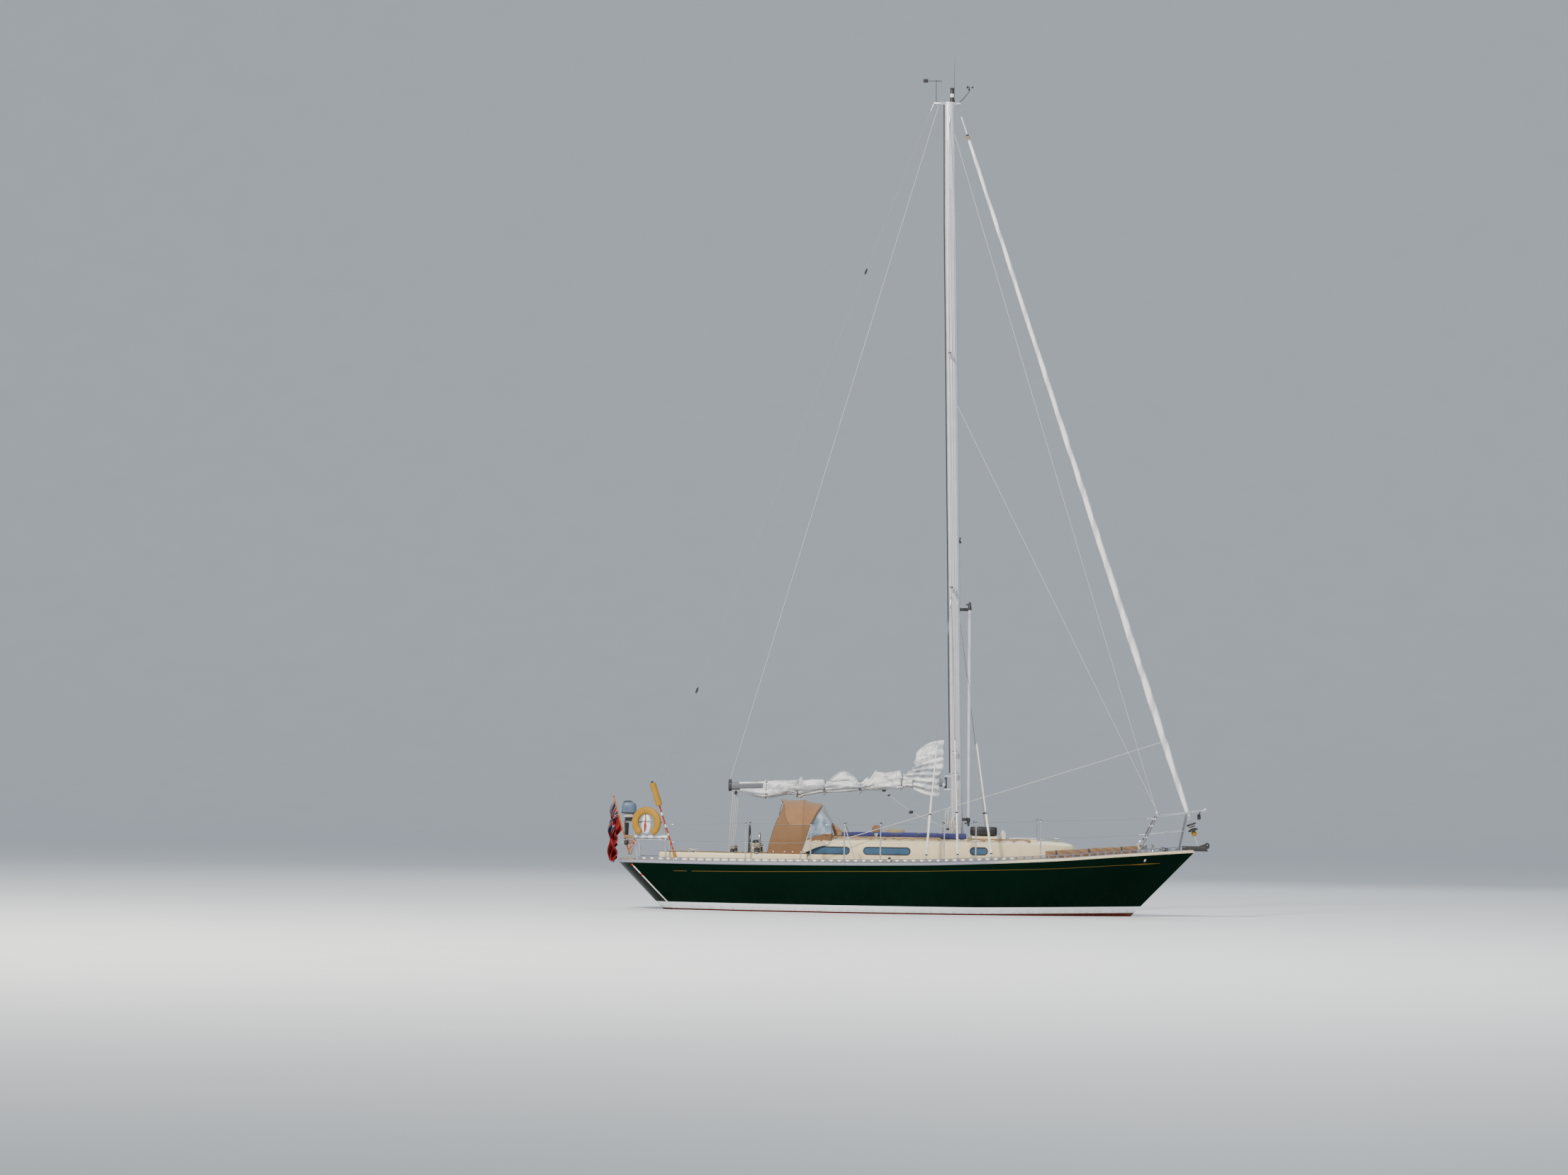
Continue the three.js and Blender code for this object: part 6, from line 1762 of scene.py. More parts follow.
class BuildSprayhood(YachtOperator, bpy.types.Operator):
    """Folding hood of seamed canvas drawn over two tube hoops, with a clear windscreen let in"""
    bl_idname = "yacht.sprayhood"
    bl_label = "Sprayhood"

    def build(self):
        """Each hoop rises with the sine of the angle to the power .62 and closes with its cosine to the power .5.
        Canvas reaches forward to a curved border, then comes clear film down to 1.42 m, then a canvas apron."""
        fine, hoops = np.linspace(0, 4, 161), hood_hoops()
        kernel = np.hanning(9) / np.hanning(9).sum()
        blur = lambda v: np.convolve(np.pad(v, 4, "reflect", reflect_type="odd"), kernel, "valid")
        self.lines = [blur(np.interp(fine, np.arange(5), hoops[:, c])) for c in range(5)]
        self.fine = fine
        angle = np.concatenate([np.linspace(0, .06, 5)[:-1], np.linspace(.06, math.pi - .06, 100),
                                np.linspace(math.pi - .06, math.pi, 5)[1:]])
        rise = np.clip(np.sin(angle), 0, 1)**.62
        border = 1.1 + .95 * rise**1.6
        height = self.lines[4][:, None] + (self.lines[1] - self.lines[4])[:, None] * rise
        clear = np.where((height > FILM_FOOT) & (fine[:, None] > 1.9), fine[:, None], 0).max(0)
        clear = np.maximum(clear, border + .06)
        first, second, third = (np.linspace(0, 1, n)[:, None] for n in (FILM_ROW + 1, APRON_ROW - FILM_ROW + 1, 15))
        rows = np.concatenate([border * first, (border + (clear - border) * second)[1:],
                               (clear + (4 - clear) * third)[1:]])
        a = angle[None]
        slack = np.where(rows < 2, np.abs(np.sin(rows * math.pi)), 0)**1.4
        draw = .014 * slack * np.sin(a)**.7
        pull = .0035 * np.sin(a * 17 + rows * 2.1) * np.exp(-(np.minimum(a, math.pi - a) / .5)**2)
        gather = .003 * np.sin(a * 43) * np.exp(-(rows / .16)**2)
        hollow = .2 * rise**3 * (1 - rise**10) * np.exp(-rows / .45)
        grid = self.point(rows, angle, -draw, pull - draw * .7 + 0 * rows, gather)
        grid[..., 0] += hollow
        over_hatch = (np.abs(grid[..., 1]) < .44) & (rows > 2) & (grid[..., 2] < OVER_HATCH)
        grid[..., 2] = np.where(over_hatch, OVER_HATCH + .02 * (4 - rows) / 2, grid[..., 2])
        place = np.stack([rows, rise + 0 * rows, 0 * rows], 2)
        form = Form().add(grid, 0, wrap=False, place=place)
        faces = form.finishes[0].reshape(len(rows) - 1, len(angle) - 1)
        off = np.abs((angle[:-1] + angle[1:]) / 2 - math.pi / 2)
        wide = ((clear - border)[:-1] > .12)
        strip = (off > .56) & (off < .63)
        faces[FILM_ROW:APRON_ROW, wide & ~strip] = 1
        # the strips between the film's panes take the paler copy of the canvas: painted light
        faces[FILM_ROW:APRON_ROW, wide & strip] = 2
        low = (grid[:-1, :-1, 2] < HOOD_BASE_TOP) & (np.arange(len(rows) - 1)[:, None] > FILM_ROW)
        faces[low] = 4
        faces[:1] = faces[FILM_ROW - 1:FILM_ROW + 1] = 3
        form.finishes[0] = faces.ravel()
        hood = piece("hood_cloth", form, finishes("hood", "clear", "hood_sunlit", "hood_dark", "hood_base"),
                     stands_for=["sprayhood"], weld=False, outward=False, wall=.0022)
        span = lambda v, axis: np.linalg.norm(np.diff(v, axis=axis), axis=-1)
        area = float((span(grid, 0)[:, :-1] * span(grid, 1)[:-1]).sum()) * .97
        self.hoops()

    def point(self, rows, angle, up=0.0, out=0.0, lift=0.0):
        """Point of the hood at a row and an angle, grown upward and outward by the given amounts."""
        x, top, lean, half, foot = (np.interp(rows, self.fine, v) for v in self.lines)
        rise, across = np.clip(np.sin(angle), 0, 1)**.62, np.sign(np.cos(angle)) * np.abs(np.cos(angle))**.5
        return np.stack(np.broadcast_arrays(x + lean * rise, (half + out) * across,
                                            foot + (top - foot + up + lift) * rise), -1)

    def hoops(self):
        form, seams = Form(), Form()
        angle = np.linspace(0, math.pi, 60)
        for row in (.12, 1, 2.02):
            path = self.point(np.full(60, row), angle, -.02, -.02)
            form.add(tube(path + (0, 0, .0002), .0125, 12), 0)
        piece("hood_hoops", form, finishes("steel"))
        rise = np.clip(np.sin(angle), 0, 1)**.62
        for row in (1 + 0 * angle, 1.1 + .95 * rise**1.6):
            for shift in (-.012, .012):
                seams.add(tube((self.point(row, angle, .0015, .0015) + (shift, 0, 0))[3:-3], .0018, 6), 0)
        for side in (1, -1):
            for x in (-2.2, -2.0, -1.85, -1.7):
                seams.add(lathe([(.011, 0), (.011, .003), (.005, .006), (0, .006)], (x, side * 1.011, 1.085),
                                (0, side, 0), 16), 1)
        t, a = np.linspace(0, 1, 20)[:, None], round_angles(24)[None]
        long, thick = .105 * (1 - t)**.7 + .004, .03 * (1 - t) + .004
        flap = np.stack([-1.0 - .15 * t + long * np.cos(a), -.45 + thick * np.sin(a) + .008 * np.sin(t * 9),
                         1.4 + .22 * t + 0 * a], 2)
        # the flap takes the paler copy of the canvas: painted sunlight
        seams.add(closed(flap), 2)
        piece("hood_seams", seams, finishes("hood_dark", "steel", "hood_sunlit"))


# ---------------------------------------------------------------- rig

class BuildMast(YachtOperator, bpy.types.Operator):
    """Mast with its luff track, swept spreaders, masthead gear, step and the pole stowed before it"""
    bl_idname = "yacht.mast"
    bl_label = "Mast"

    def build(self):
        self.tube_and_track()
        self.spreaders()
        self.head()
        self.pole()
        self.turning()
        self.halyards()

    def halyards(self):
        """Halyards led down the mast's sides, their tails coiled and hung at its foot."""
        form = Form()
        for k, (x, y) in enumerate(((-.05, -1), (0, -1), (.05, -1), (-.04, 1), (.03, 1))):
            top = mast_at(14.2 - .9 * k) + (x, y * (MAST_WIDTH / 2 + .014), 0)
            low = mast_at(1.72 + .06 * k) + (x * 1.3, y * (MAST_WIDTH / 2 + .02), 0)
            form.add(tube(line(low, top, 40), .0045, 7), 0 if k % 2 else 1)
            centre = low + (-.03 - .03 * k, y * .03, -.02)
            turns = np.linspace(0, TAU * 4, 120)
            coil = np.stack([centre[0] + .028 * np.sin(turns) + .004 * np.sin(turns * .3),
                             centre[1] + y * .006 * turns / TAU + .006 * np.cos(turns * 2),
                             centre[2] - .13 + .13 * np.cos(turns) * (1 + .04 * np.sin(turns * .7))], 1)
            form.add(tube(coil, .0055, 8), 2 if k == 0 else k % 2)
        piece("mast_halyards", form, finishes("rope", "rope_blue", "rope_red"))

    def tube_and_track(self):
        """An oval tube, drawn in towards the head, with a track standing off its aft face."""
        taper, head, length = 12.6, 14.9, 2.3
        drawn_in = lambda h: 1 - .18 * np.clip((h - taper) / length, 0, 1)
        z = np.concatenate([np.linspace(MAST_FOOT[2], taper, 60), np.linspace(taper, head, 24)[1:]])
        scale = drawn_in(z)
        angle = round_angles(56)
        centre = np.stack([mast_at(h) for h in z])
        x = MAST_CHORD / 2 * signed_power(np.cos(angle), .92) * scale[:, None]
        y = MAST_WIDTH / 2 * signed_power(np.sin(angle), .86) * scale[:, None]
        form = Form().add(closed(np.stack([centre[:, :1] + x, y, centre[:, 2:] + 0 * x], 2)))
        aft = centre - np.stack([MAST_CHORD / 2 * scale - .002, 0 * z, 0 * z], 1)
        track = np.array([(-.016, -.004), (.016, -.004), (.016, .003), (.006, .006), (.006, .014), (.013, .017),
                          (.013, .021), (-.013, .021), (-.013, .017), (-.006, .014), (-.006, .006), (-.016, .003)])
        keep = (z > 2.4)
        rings = aft[keep][:, None] + track[:, :1] * vec(0, 1, 0) + track[:, 1:] * vec(-1, 0, 0)
        form.add(closed(rings), 1)
        foot = vec(MAST_FOOT[0], 0, roof_z(MAST_FOOT[0], 0))
        form.add(slab(rounded(.3, .19, .05, 6), 1.3683, 1.392, .005, (foot[0], 0, 0)), 2)
        form.add(slab(rounded(.25, .165, .08, 8), 1.39, 1.46, .006, (foot[0], 0, 0)), 2)
        for h in (2.6, 3.05, 5.78, 9.1, 10.1, 12.9):
            c = mast_at(h)
            k = drawn_in(h)
            oval = lambda g, dz: np.stack([c[0] + (MAST_CHORD / 2 * k + g) * np.cos(angle),
                                           (MAST_WIDTH / 2 * k + g) * np.sin(angle), np.full(56, h + dz)], 1)
            form.add(flat_hoop(oval, -.002, .0025, -.02, .02), 2)
        for low, high in ((2.252, 2.276), (2.494, 2.518)):
            form.add(block((.895 + .022, -.032, low), (1.02, -.018, high), .004), 2)
            form.add(block((.895 + .022, .018, low), (1.02, .032, high), .004), 2)
            angle2 = round_angles(24)
            ring = lambda r, h: np.stack([GOOSENECK[0] + r * np.cos(angle2), r * np.sin(angle2), np.full(24, h)], 1)
            form.add(flat_hoop(ring, .0105, .032, low, high), 2)
        piece("mast_extrusion", form, finishes("alloy", "dark_alloy", "alloy"), stands_for=["mast"])

    def spreaders(self):
        """Foil-sectioned arms that taper outboard, a socket at the mast and a dark end cap on the wire."""
        form = Form()
        angle = round_angles(24)
        for spreader in SPREADERS:
            for _, side in SIDES:
                root, tip = mast_at(spreader[0]) + vec(0, side * .05, 0), spreader_tip(spreader, side)
                t = np.linspace(0, 1, 20)[:, None]
                path = root + (tip - root) * t
                chord, thick = (.056 - .02 * t) / 2 + .012 * np.exp(-t * 18), (.026 - .008 * t) / 2
                rings = path[:, None] + (chord * np.cos(angle))[..., None] * vec(1, 0, 0) + (
                    thick * np.sin(angle))[..., None] * vec(0, 0, 1)
                form.add(closed(rings))
                form.add(ball(tip, .022, 16, (1.3, 1, .9)), 1)
                form.add(block((root[0] - .045, min(root[1], root[1] + side * .05), root[2] - .02),
                               (root[0] + .045, max(root[1], root[1] + side * .05), root[2] + .022), .01), 0)
        lamp = mast_at(6.82) + vec(MAST_CHORD / 2, 0, 0)
        form.add(lathe([(.02, -.02), (.03, -.01), (.036, .03), (.036, .06), (.026, .085), (.0, .09)],
                       lamp - vec(0, 0, .03)), 1)
        form.add(lathe([(.034, 0), (.034, .034)], lamp - vec(-.004, 0, .002), sides=24), 2)
        piece("spreader_arms", form, finishes("alloy", "black", "white"))

    def head(self):
        form = Form()
        form.add(block((.508, -.022, 14.857), (.999, -.016, 14.893), .004), 0)
        form.add(block((.508, .016, 14.857), (.999, .022, 14.893), .004), 0)
        form.add(block((.62, -.05, 14.885), (.92, .05, 14.897), .01), 0)
        for x in (.53, .6, .97):
            form.add(lathe([(.024, -.012), (.026, 0), (.018, .004), (.018, .009), (.026, .013), (.024, .022)],
                           (x, -.005, 14.875), (0, 1, 0), 24), 1)
        light_x = .838
        form.add(tube(line((light_x, 0, 14.895), (light_x, 0, 15.03), 4), .011, 14), 0)
        form.add(lathe([(.02, 0), (.036, .004), (.036, .074), (.032, .078)], (light_x, 0, 14.91), sides=28), 2)
        form.add(lathe([(.032, 0), (.034, .004), (.034, .062), (.032, .066)], (light_x, 0, 14.99), sides=28), 4)
        form.add(lathe([(.032, 0), (.038, .004), (.038, .02), (.035, .024), (.035, .09), (.038, .094), (.038, .106),
                        (.012, .114), (0, .114)], (light_x, 0, 15.056), sides=28), 2)
        form.add(block((.845, .0, 14.845), (.915, .072, 14.875), .008), 0)
        form.add(tube(line((.88, .06, 14.86), (.88, .06, 15.738), 24), np.linspace(.0048, .0022, 24), 8), 2)
        form.add(lathe([(.014, 0), (.014, .06), (.006, .075), (0, .075)], (.88, .06, 14.87), sides=20), 2)
        form.add(tube(curve([(.56, 0, 14.9), (.547, 0, 14.96), (.545, 0, 15.1), (.545, 0, 15.283)], 20), .0055, 10), 2)
        form.add(tube(curve([(.96, 0, 14.89), (1.03, 0, 14.95), (1.12, 0, 15.06), (1.15, 0, 15.1), (1.15, 0, 15.152)],
                            24), .0075, 10), 2)
        form.add(lathe([(.012, 0), (.016, .01), (.016, .03), (.0, .034)], (1.15, 0, 15.118)), 2)
        form.add(tube(line(STAY_TOP, (.935, 0, 14.875), 8), .0055, 10), 3)
        piece("masthead_gear", form, finishes("alloy", "black", "black", "steel", "white"))
        arrow = Form()
        at = vec(.545, 0, 15.29)
        arrow.add(tube(line(at - (.24, 0, 0), at + (.085, 0, 0), 12), .006, 8))
        arrow.add(lathe([(.0, 0), (.010, .004), (.0, .034)], at + (.07, 0, 0), (1, 0, 0), 14))
        arrow.add(block(at + (-.238, -.0015, -.034), at + (-.15, .0015, .034), .001, .0006), 1)
        arrow.add(lathe([(.0105, 0), (.0105, .014), (.006, .018), (0, .018)], at + (0, 0, -.0055)))
        piece("wind_arrow", arrow, finishes("black", "rubber"), body="wind vane",
              stands_for=["wind_vane"])
        cups = Form()
        at = vec(1.15, 0, 15.18)
        cups.add(lathe([(.0095, 0), (.0095, .02), (.006, .028), (0, .03)], at + (0, 0, -.0255)))
        for k in range(3):
            arm = unit(vec(math.cos(k * TAU / 3), math.sin(k * TAU / 3), 0))
            cups.add(tube(line(at, at + arm * .05, 5), .0026, 8))
            forward = np.cross(vec(0, 0, 1), arm)
            t = np.linspace(0, math.pi / 2, 8)
            shell = [(.019 * math.sin(v), .016 * (1 - math.cos(v))) for v in t]
            inner = [(.0175 * math.sin(v), .016 - .0145 * math.cos(v)) for v in t[::-1]]
            cups.add(lathe(shell + inner, at + arm * .062 - forward * .008, forward, 20))
        piece("wind_cups", cups, finishes("black"), body="anemometer", stands_for=["anemometer"])

    def pole(self):
        foot, head = vec(1.33, 0, 1.6), vec(1.298, 0, 5.7)
        form = Form()
        form.add(tube(line(foot + (0, 0, .14), head - (.0, 0, .14), 20), .0345, 28, dome=False))
        for end, sign in ((foot, 1), (head, -1)):
            d = unit(head - foot) * sign
            form.add(lathe([(.0, 0), (.018, .002), (.022, .02), (.026, .07), (.0347, .1), (.0352, .15), (.034, .155)],
                           end, d, 28), 1)
            form.add(block(np.minimum(end + d * .05 - (.07, .012, .014), end + d * .05 + (0, .012, .014)),
                           np.maximum(end + d * .05 - (.07, .012, .014), end + d * .05 + (0, .012, .014)), .006), 1)
        for h in (1.72, 5.56):
            form.add(block((mast_at(h)[0] + .095, -.026, h - .028), (1.2965, .026, h + .028), .01), 1)
        piece("pole_tube", form, finishes("alloy", "black"), stands_for=["spinnaker_pole"])

    def turning(self):
        """Winches and cleats on the lower mast, and the lines that run down it to the roof."""
        form = Form()
        for z, side in ((2.72, 1), (2.95, -1), (2.55, -1)):
            at = mast_at(z) + vec(-.01, side * MAST_WIDTH / 2 * .96, 0)
            form.add(lathe([(.05, 0), (.052, .012), (.036, .022), (.032, .07), (.046, .085), (.046, .098), (.02, .106),
                            (0, .104)],
                           at, (0, side, 0), 36), 0)
        for z, side in ((1.95, 1), (1.95, -1), (2.2, 1), (2.2, -1)):
            at = mast_at(z) + vec(.02, side * (MAST_WIDTH / 2 + .006), 0)
            form.add(tube(curve([at + (0, side * .022, -.075), at + (0, side * .014, -.03), at + (0, side * .014, .03),
                                 at + (0, side * .022, .075)], 14), np.array([.005] + [.007] * 12 + [.005]), 8), 1)
            form.add(block(np.minimum(at - (.012, 0, .028), at + (.012, side * .015, .028)),
                           np.maximum(at - (.012, 0, .028), at + (.012, side * .015, .028)), .004), 1)
        piece("mast_winches", form, finishes("steel", "alloy"))
        lines = Form()
        for x, y, top, kind in ((.07, .05, 14.8, 0), (-.05, .074, 14.8, 0), (.055, -.062, 14.8, 1),
                                (-.03, -.076, 10.0, 0), (.104, .028, 14.75, 1)):
            points = [mast_at(top) + vec(x * .85, y * .85, 0), mast_at(8) + vec(x, y * 1.02, 0),
                      mast_at(2.9) + vec(x, y, 0),
                      mast_at(1.7) + vec(x * 1.1, y * 1.2, 0), vec(MAST_FOOT[0] + x * 1.3, y * 1.8, 1.43)]
            soft_rope(lines, points, .0048, 60, 7, kind)
        piece("halyards", lines, finishes("rope", "rope_blue"))


class BuildBoom(YachtOperator, bpy.types.Operator):
    """Boom, kicker, mainsheet and topping lift, with the mainsail tied down along it"""
    bl_idname = "yacht.boom"
    bl_label = "Boom and mainsail"

    def build(self):
        self.spar()
        self.mainsail()
        self.lines()

    def spar(self):
        """The boom droops aft; a dark cap, a sheave and the tangs for sheet and kicker finish it."""
        section = rounded(.09, .135, .04, 7)
        form = Form().add(sweep(line(on_boom(BOOM_END_X + .02), on_boom(.845), 30), section))
        end = line(on_boom(BOOM_END_X - .028), on_boom(BOOM_END_X + .03), 4)
        form.add(sweep(end, rounded(.104, .152, .045, 7)), 1)
        form.add(lathe([(.024, -.014), (.026, 0), (.018, .004), (.018, .01), (.026, .014), (.024, .028)],
                       on_boom(BOOM_END_X - .008, -.006, .0475), (0, 1, 0), 24), 1)
        form.add(block((.83, -.022, 2.325), (.905, .022, 2.445), .01), 2)
        form.add(lathe([(0, 0), (.02, .001), (.022, .004), (.022, .204), (.02, .207), (0, .208)], (.905, 0, 2.281),
                       sides=28), 1)
        form.add(tube(line((.905, 0, 2.247), (.905, 0, 2.523), 4), .0092, 16), 2)
        form.add(block(on_boom(BOOM_END_X - .025, -.03, -.09), on_boom(BOOM_END_X + .03, .03, .13), .014), 1)
        for x in (-2.93, -2.75, -.25):
            form.add(block(on_boom(x - .05, -.02, -.0855), on_boom(x + .05, .02, -.0655), .008), 2)
        # the boom takes the dark grey copy of the alloy: painted shade
        piece("boom_extrusion", form, finishes("spar_in_shade", "dark_alloy", "steel"), body="boom",
              stands_for=["boom"])

    def mainsail(self):
        """The sail lies along the boom as a roll of unequal folds. Its outline follows the stowed bundle; folds
        with sharp crests wander round it, and every tie draws it in and gathers it."""
        high = np.array([
            (-2.86, 2.335), (-2.62, 2.345), (-2.38, 2.362), (-2.13, 2.383), (-1.98, 2.38), (-1.85, 2.385),
            (-1.805, 2.37),
            (-1.775, 2.44), (-1.735, 2.455), (-1.7, 2.385), (-1.62, 2.395), (-1.55, 2.41), (-1.33, 2.412), (-1.3, 2.36),
            (-1.23, 2.385), (-.95, 2.41), (-.74, 2.4), (-.66, 2.37), (-.6, 2.4), (-.53, 2.47), (-.5, 2.43),
            (-.44, 2.51),
            (-.385, 2.615), (-.35, 2.575), (-.2, 2.55), (-.03, 2.57), (.075, 2.6), (.115, 2.46), (.2, 2.48), (.3, 2.5)])
        low = np.array([
            (-2.86, 2.17), (-2.62, 2.085), (-2.42, 2.04), (-2.36, 2.045), (-2.15, 2.085), (-1.97, 2.13), (-1.86, 2.12),
            (-1.8, 2.08), (-1.76, 2.064), (-1.7, 2.105), (-1.36, 2.165), (-1, 2.18), (-.62, 2.215), (-.32, 2.235),
            (.05, 2.255), (.12, 2.27), (.2, 2.3), (.3, 2.28)])
        wide = np.array([(-2.86, .056), (-2.4, .082), (-2.13, .1), (-1.79, .12), (-1.4, .12), (-1, .13), (-.69, .115),
                         (-.4, .13), (.06, .14), (.3, .14)])
        x = np.linspace(-2.86, .3, 380)
        high, low, width = (np.interp(x, t[:, 0], t[:, 1])[:, None] for t in (high, low, wide))
        a, u = round_angles(110)[None], x[:, None]
        ties = np.array([-2.375, -1.8, -1.305, -.655, .1])
        fold = lambda v: np.abs((v / TAU) % 1 * 2 - 1) - .5
        ridge = .24 * fold(a * 3 + 1.7 * u + .8 * np.sin(2.3 * u)) + .15 * fold(a * 5 - 2.9 * u - np.sin(3.1 * u + 1))
        ridge += .07 * fold(a * 9 + 7 * u + 1.5 * np.sin(5 * u)) + .06 * fold(a * 2 + 19 * u + 2 * np.sin(3 * u))
        for k, tie in enumerate(ties):
            near = np.exp(-np.abs(u - tie) / .10)
            ridge += near * .22 * fold(a * 11 + 2.6 * k) - .22 * np.exp(-((u - tie) / .03)**2)
        y = width * (1 + ridge) * signed_power(np.cos(a), .8)
        z = (low + high) / 2 + (high - low) / 2 * (1 + ridge * .3) * signed_power(np.sin(a), .85)
        axis = on_boom(0)[2] + BOOM_SLOPE * u
        bare = (np.abs(z - axis) < .072) & (u < -2.42)
        y = np.where(bare, np.clip(y, -.038, .038), y)
        form = Form().add(closed(np.stack([u + .03 * fold(a * 2 + u * 9), y, z], 2)))
        self.bight(form)
        self.stack(form, fold)
        piece("stowed_mainsail", form, finishes("sail"), body="boom", stands_for=["mainsail"],
              sharp=50)
        straps = Form()
        t = round_angles(60)
        for tie in ties:
            k = int(np.argmin(abs(x - tie)))
            w, half = float(width[k, 0]) * .8, float(high[k, 0] - low[k, 0]) / 2 * .95
            mid = float(high[k, 0] + low[k, 0]) / 2
            ring = lambda g, dx: np.stack([np.full(60, tie + dx) + .012 * np.sin(t),
                                           (w + g) * signed_power(np.cos(t), .8),
                                           mid + (half + g) * signed_power(np.sin(t), .85)], 1)
            straps.add(flat_hoop(ring, 0, .004, -.007, .007))
            end = vec(tie, -w - .004, mid - half * .4)
            soft_rope(straps, [end, end + (.03, -.012, -.05), end + (-.02, -.01, -.11)], .005, 14, 8)
            for dx, rise in ((-.012, .03), (.035, .02)):
                straps.add(ball((tie + dx, -.02, mid + half + rise * .5), .014, 12, (.6, .8, 1.5)), 1)
        piece("sail_ties", straps, finishes("webbing", "white"), body="boom")

    @staticmethod
    def bight(form):
        """A loose bight of cloth that stands up from the roll as an arch, its near edge hanging lower."""
        path = curve([(-1.25, 0, 2.36), (-1.13, 0, 2.475), (-1.0, 0, 2.565), (-.93, 0, 2.558), (-.8, 0, 2.49),
                      (-.69, 0, 2.37)], 40)
        a = round_angles(36)
        foot = 2.37 - .01 * np.sin(np.linspace(0, 9, 40))
        middle, half = (path[:, 2] + foot) / 2, np.maximum(path[:, 2] - foot, .004) / 2
        lean = .03 * np.sin(np.linspace(0, math.pi, 40))
        y = (.075 * np.cos(a) * (1 - .45 * np.sin(a)))[None] * np.clip(half / .05, .1, 1)[:, None] - lean[:, None]
        y = y + .016 * np.abs(np.sin(a * 2 + np.linspace(0, 7, 40)[:, None])) * np.cos(a)
        z = middle[:, None] + half[:, None] * np.sin(a)
        form.add(closed(np.stack([path[:, :1] + 0 * z, y, z], 2)))
        crest = rounded(.11, .012, .005, 3)
        form.add(sweep(path - (0, .02, .004), crest))

    @staticmethod
    def stack(form, fold):
        """The luff is flaked up its track: folds that fan out from the roll and end in bights at the left."""
        t, s = np.linspace(0, 1, 200)[:, None], np.linspace(0, 1, 44)[None]
        table = np.array([
            (0, .15, 2.36, .80, 2.125, .07), (.15, .09, 2.41, .80, 2.27, .11), (.3, .10, 2.47, .80, 2.42, .12),
            (.42, .18, 2.52, .83, 2.55, .12), (.5, .23, 2.56, .87, 2.62, .115), (.6, .30, 2.61, .87, 2.73, .11),
            (.75, .36, 2.69, .87, 2.88, .10), (.87, .35, 2.81, .87, 3.02, .08), (.97, .44, 2.99, .87, 3.13, .05),
            (1, .5, 3.06, .87, 3.16, .02)])
        left, left_z, right, right_z, thick = (np.interp(t, table[:, 0], table[:, c]) for c in range(1, 6))
        lay = fold(t * TAU * 7.5) + .5
        left = left - .045 * lay * (t > .2)
        arch = np.sin(math.pi * s) * (.03 * t - .05 * (1 - t)**4)
        edge = np.clip(1 - np.abs(2 * s - 1)**5, 0, 1)**.5
        crumple = .1 * fold(s * 17 + t * 23) + .08 * fold(s * 31 - t * 40)
        y = thick * edge * (.66 + .42 * lay + crumple) + .004
        x, z = left + (right - left) * s, left_z + (right_z - left_z) * s + arch
        near = np.stack([x, -y, z], 2)
        far = np.stack([x, y, z], 2)[:, ::-1]
        form.add(closed(np.concatenate([near, far], 1)))

    def lines(self):
        """Kicker, four-part mainsheet and topping lift. Those that reach from hull to boom ride on neither body."""
        kicker = Form()
        high, upper, lower, low = on_boom(-.25, 0, -.088), vec(-.13, 0, 2.14), vec(.28, 0, 1.84), vec(.985, 0, 1.53)
        for y in (-.012, .012):
            kicker.add(tube(line(high + (0, y, 0), upper + (0, y, 0), 8), .0045, 8), 0)
            kicker.add(tube(line(upper + (0, y, 0), lower + (0, y, 0), 14), .0045, 8), 0)
            kicker.add(tube(line(lower + (0, y, 0), low + (0, y, 0), 14), .0045, 8), 0)
        for at, size in ((high + (.03, 0, -.03), .036), (upper, .026), (lower, .04), (low + (-.03, 0, .01), .03)):
            kicker.add(block(at - (size, .022, size * .7), at + (size, .022, size * .7), .018), 1)
        piece("kicker", kicker, finishes("rope", "black"),
              crossing=("hull", "boom", tuple(low), tuple(high)))
        sheet = Form()
        high, low = on_boom(-2.93, 0, -.12), vec(-3.02, 0, .765)
        for k, y in enumerate((-.03, -.01, .01, .03)):
            top, bottom = high + (.034 * (k - 1.5), y, .015), low + (.022 * (k - 1.5), y * 1.4, 0)
            soft_rope(sheet, [top, (top + bottom) / 2 + (.006 * (k - 1.5), 0, 0), bottom], .0062, 30, 8, 0)
        for at in (high, low):
            for y in (-.024, .024):
                sheet.add(lathe([(.03, -.009), (.032, 0), (.022, .003), (.022, .007), (.032, .01), (.03, .019)],
                                at + (0, y - .005, 0), (0, 1, 0), 28), 1)
            sheet.add(block(at - (.016, .04, .04), at + (.016, -.034, .04), .006), 1)
            sheet.add(block(at - (.016, -.034, .04), at + (.016, .04, .04), .006), 1)
        piece("mainsheet", sheet, finishes("rope", "black"),
              crossing=("hull", "boom", (-3.0, 0, .95), (-2.95, 0, 2.08)))
        lift = Form()
        end = on_boom(BOOM_END_X - .01, 0, .085)
        soft_rope(lift, [(.60, 0, 14.86), (-1.2, 0, 8.7), end], .0045, 120, 7)
        piece("topping_lift", lift, finishes("rope"), crossing=("hull", "boom", (.6, 0, 14.86), tuple(end)))


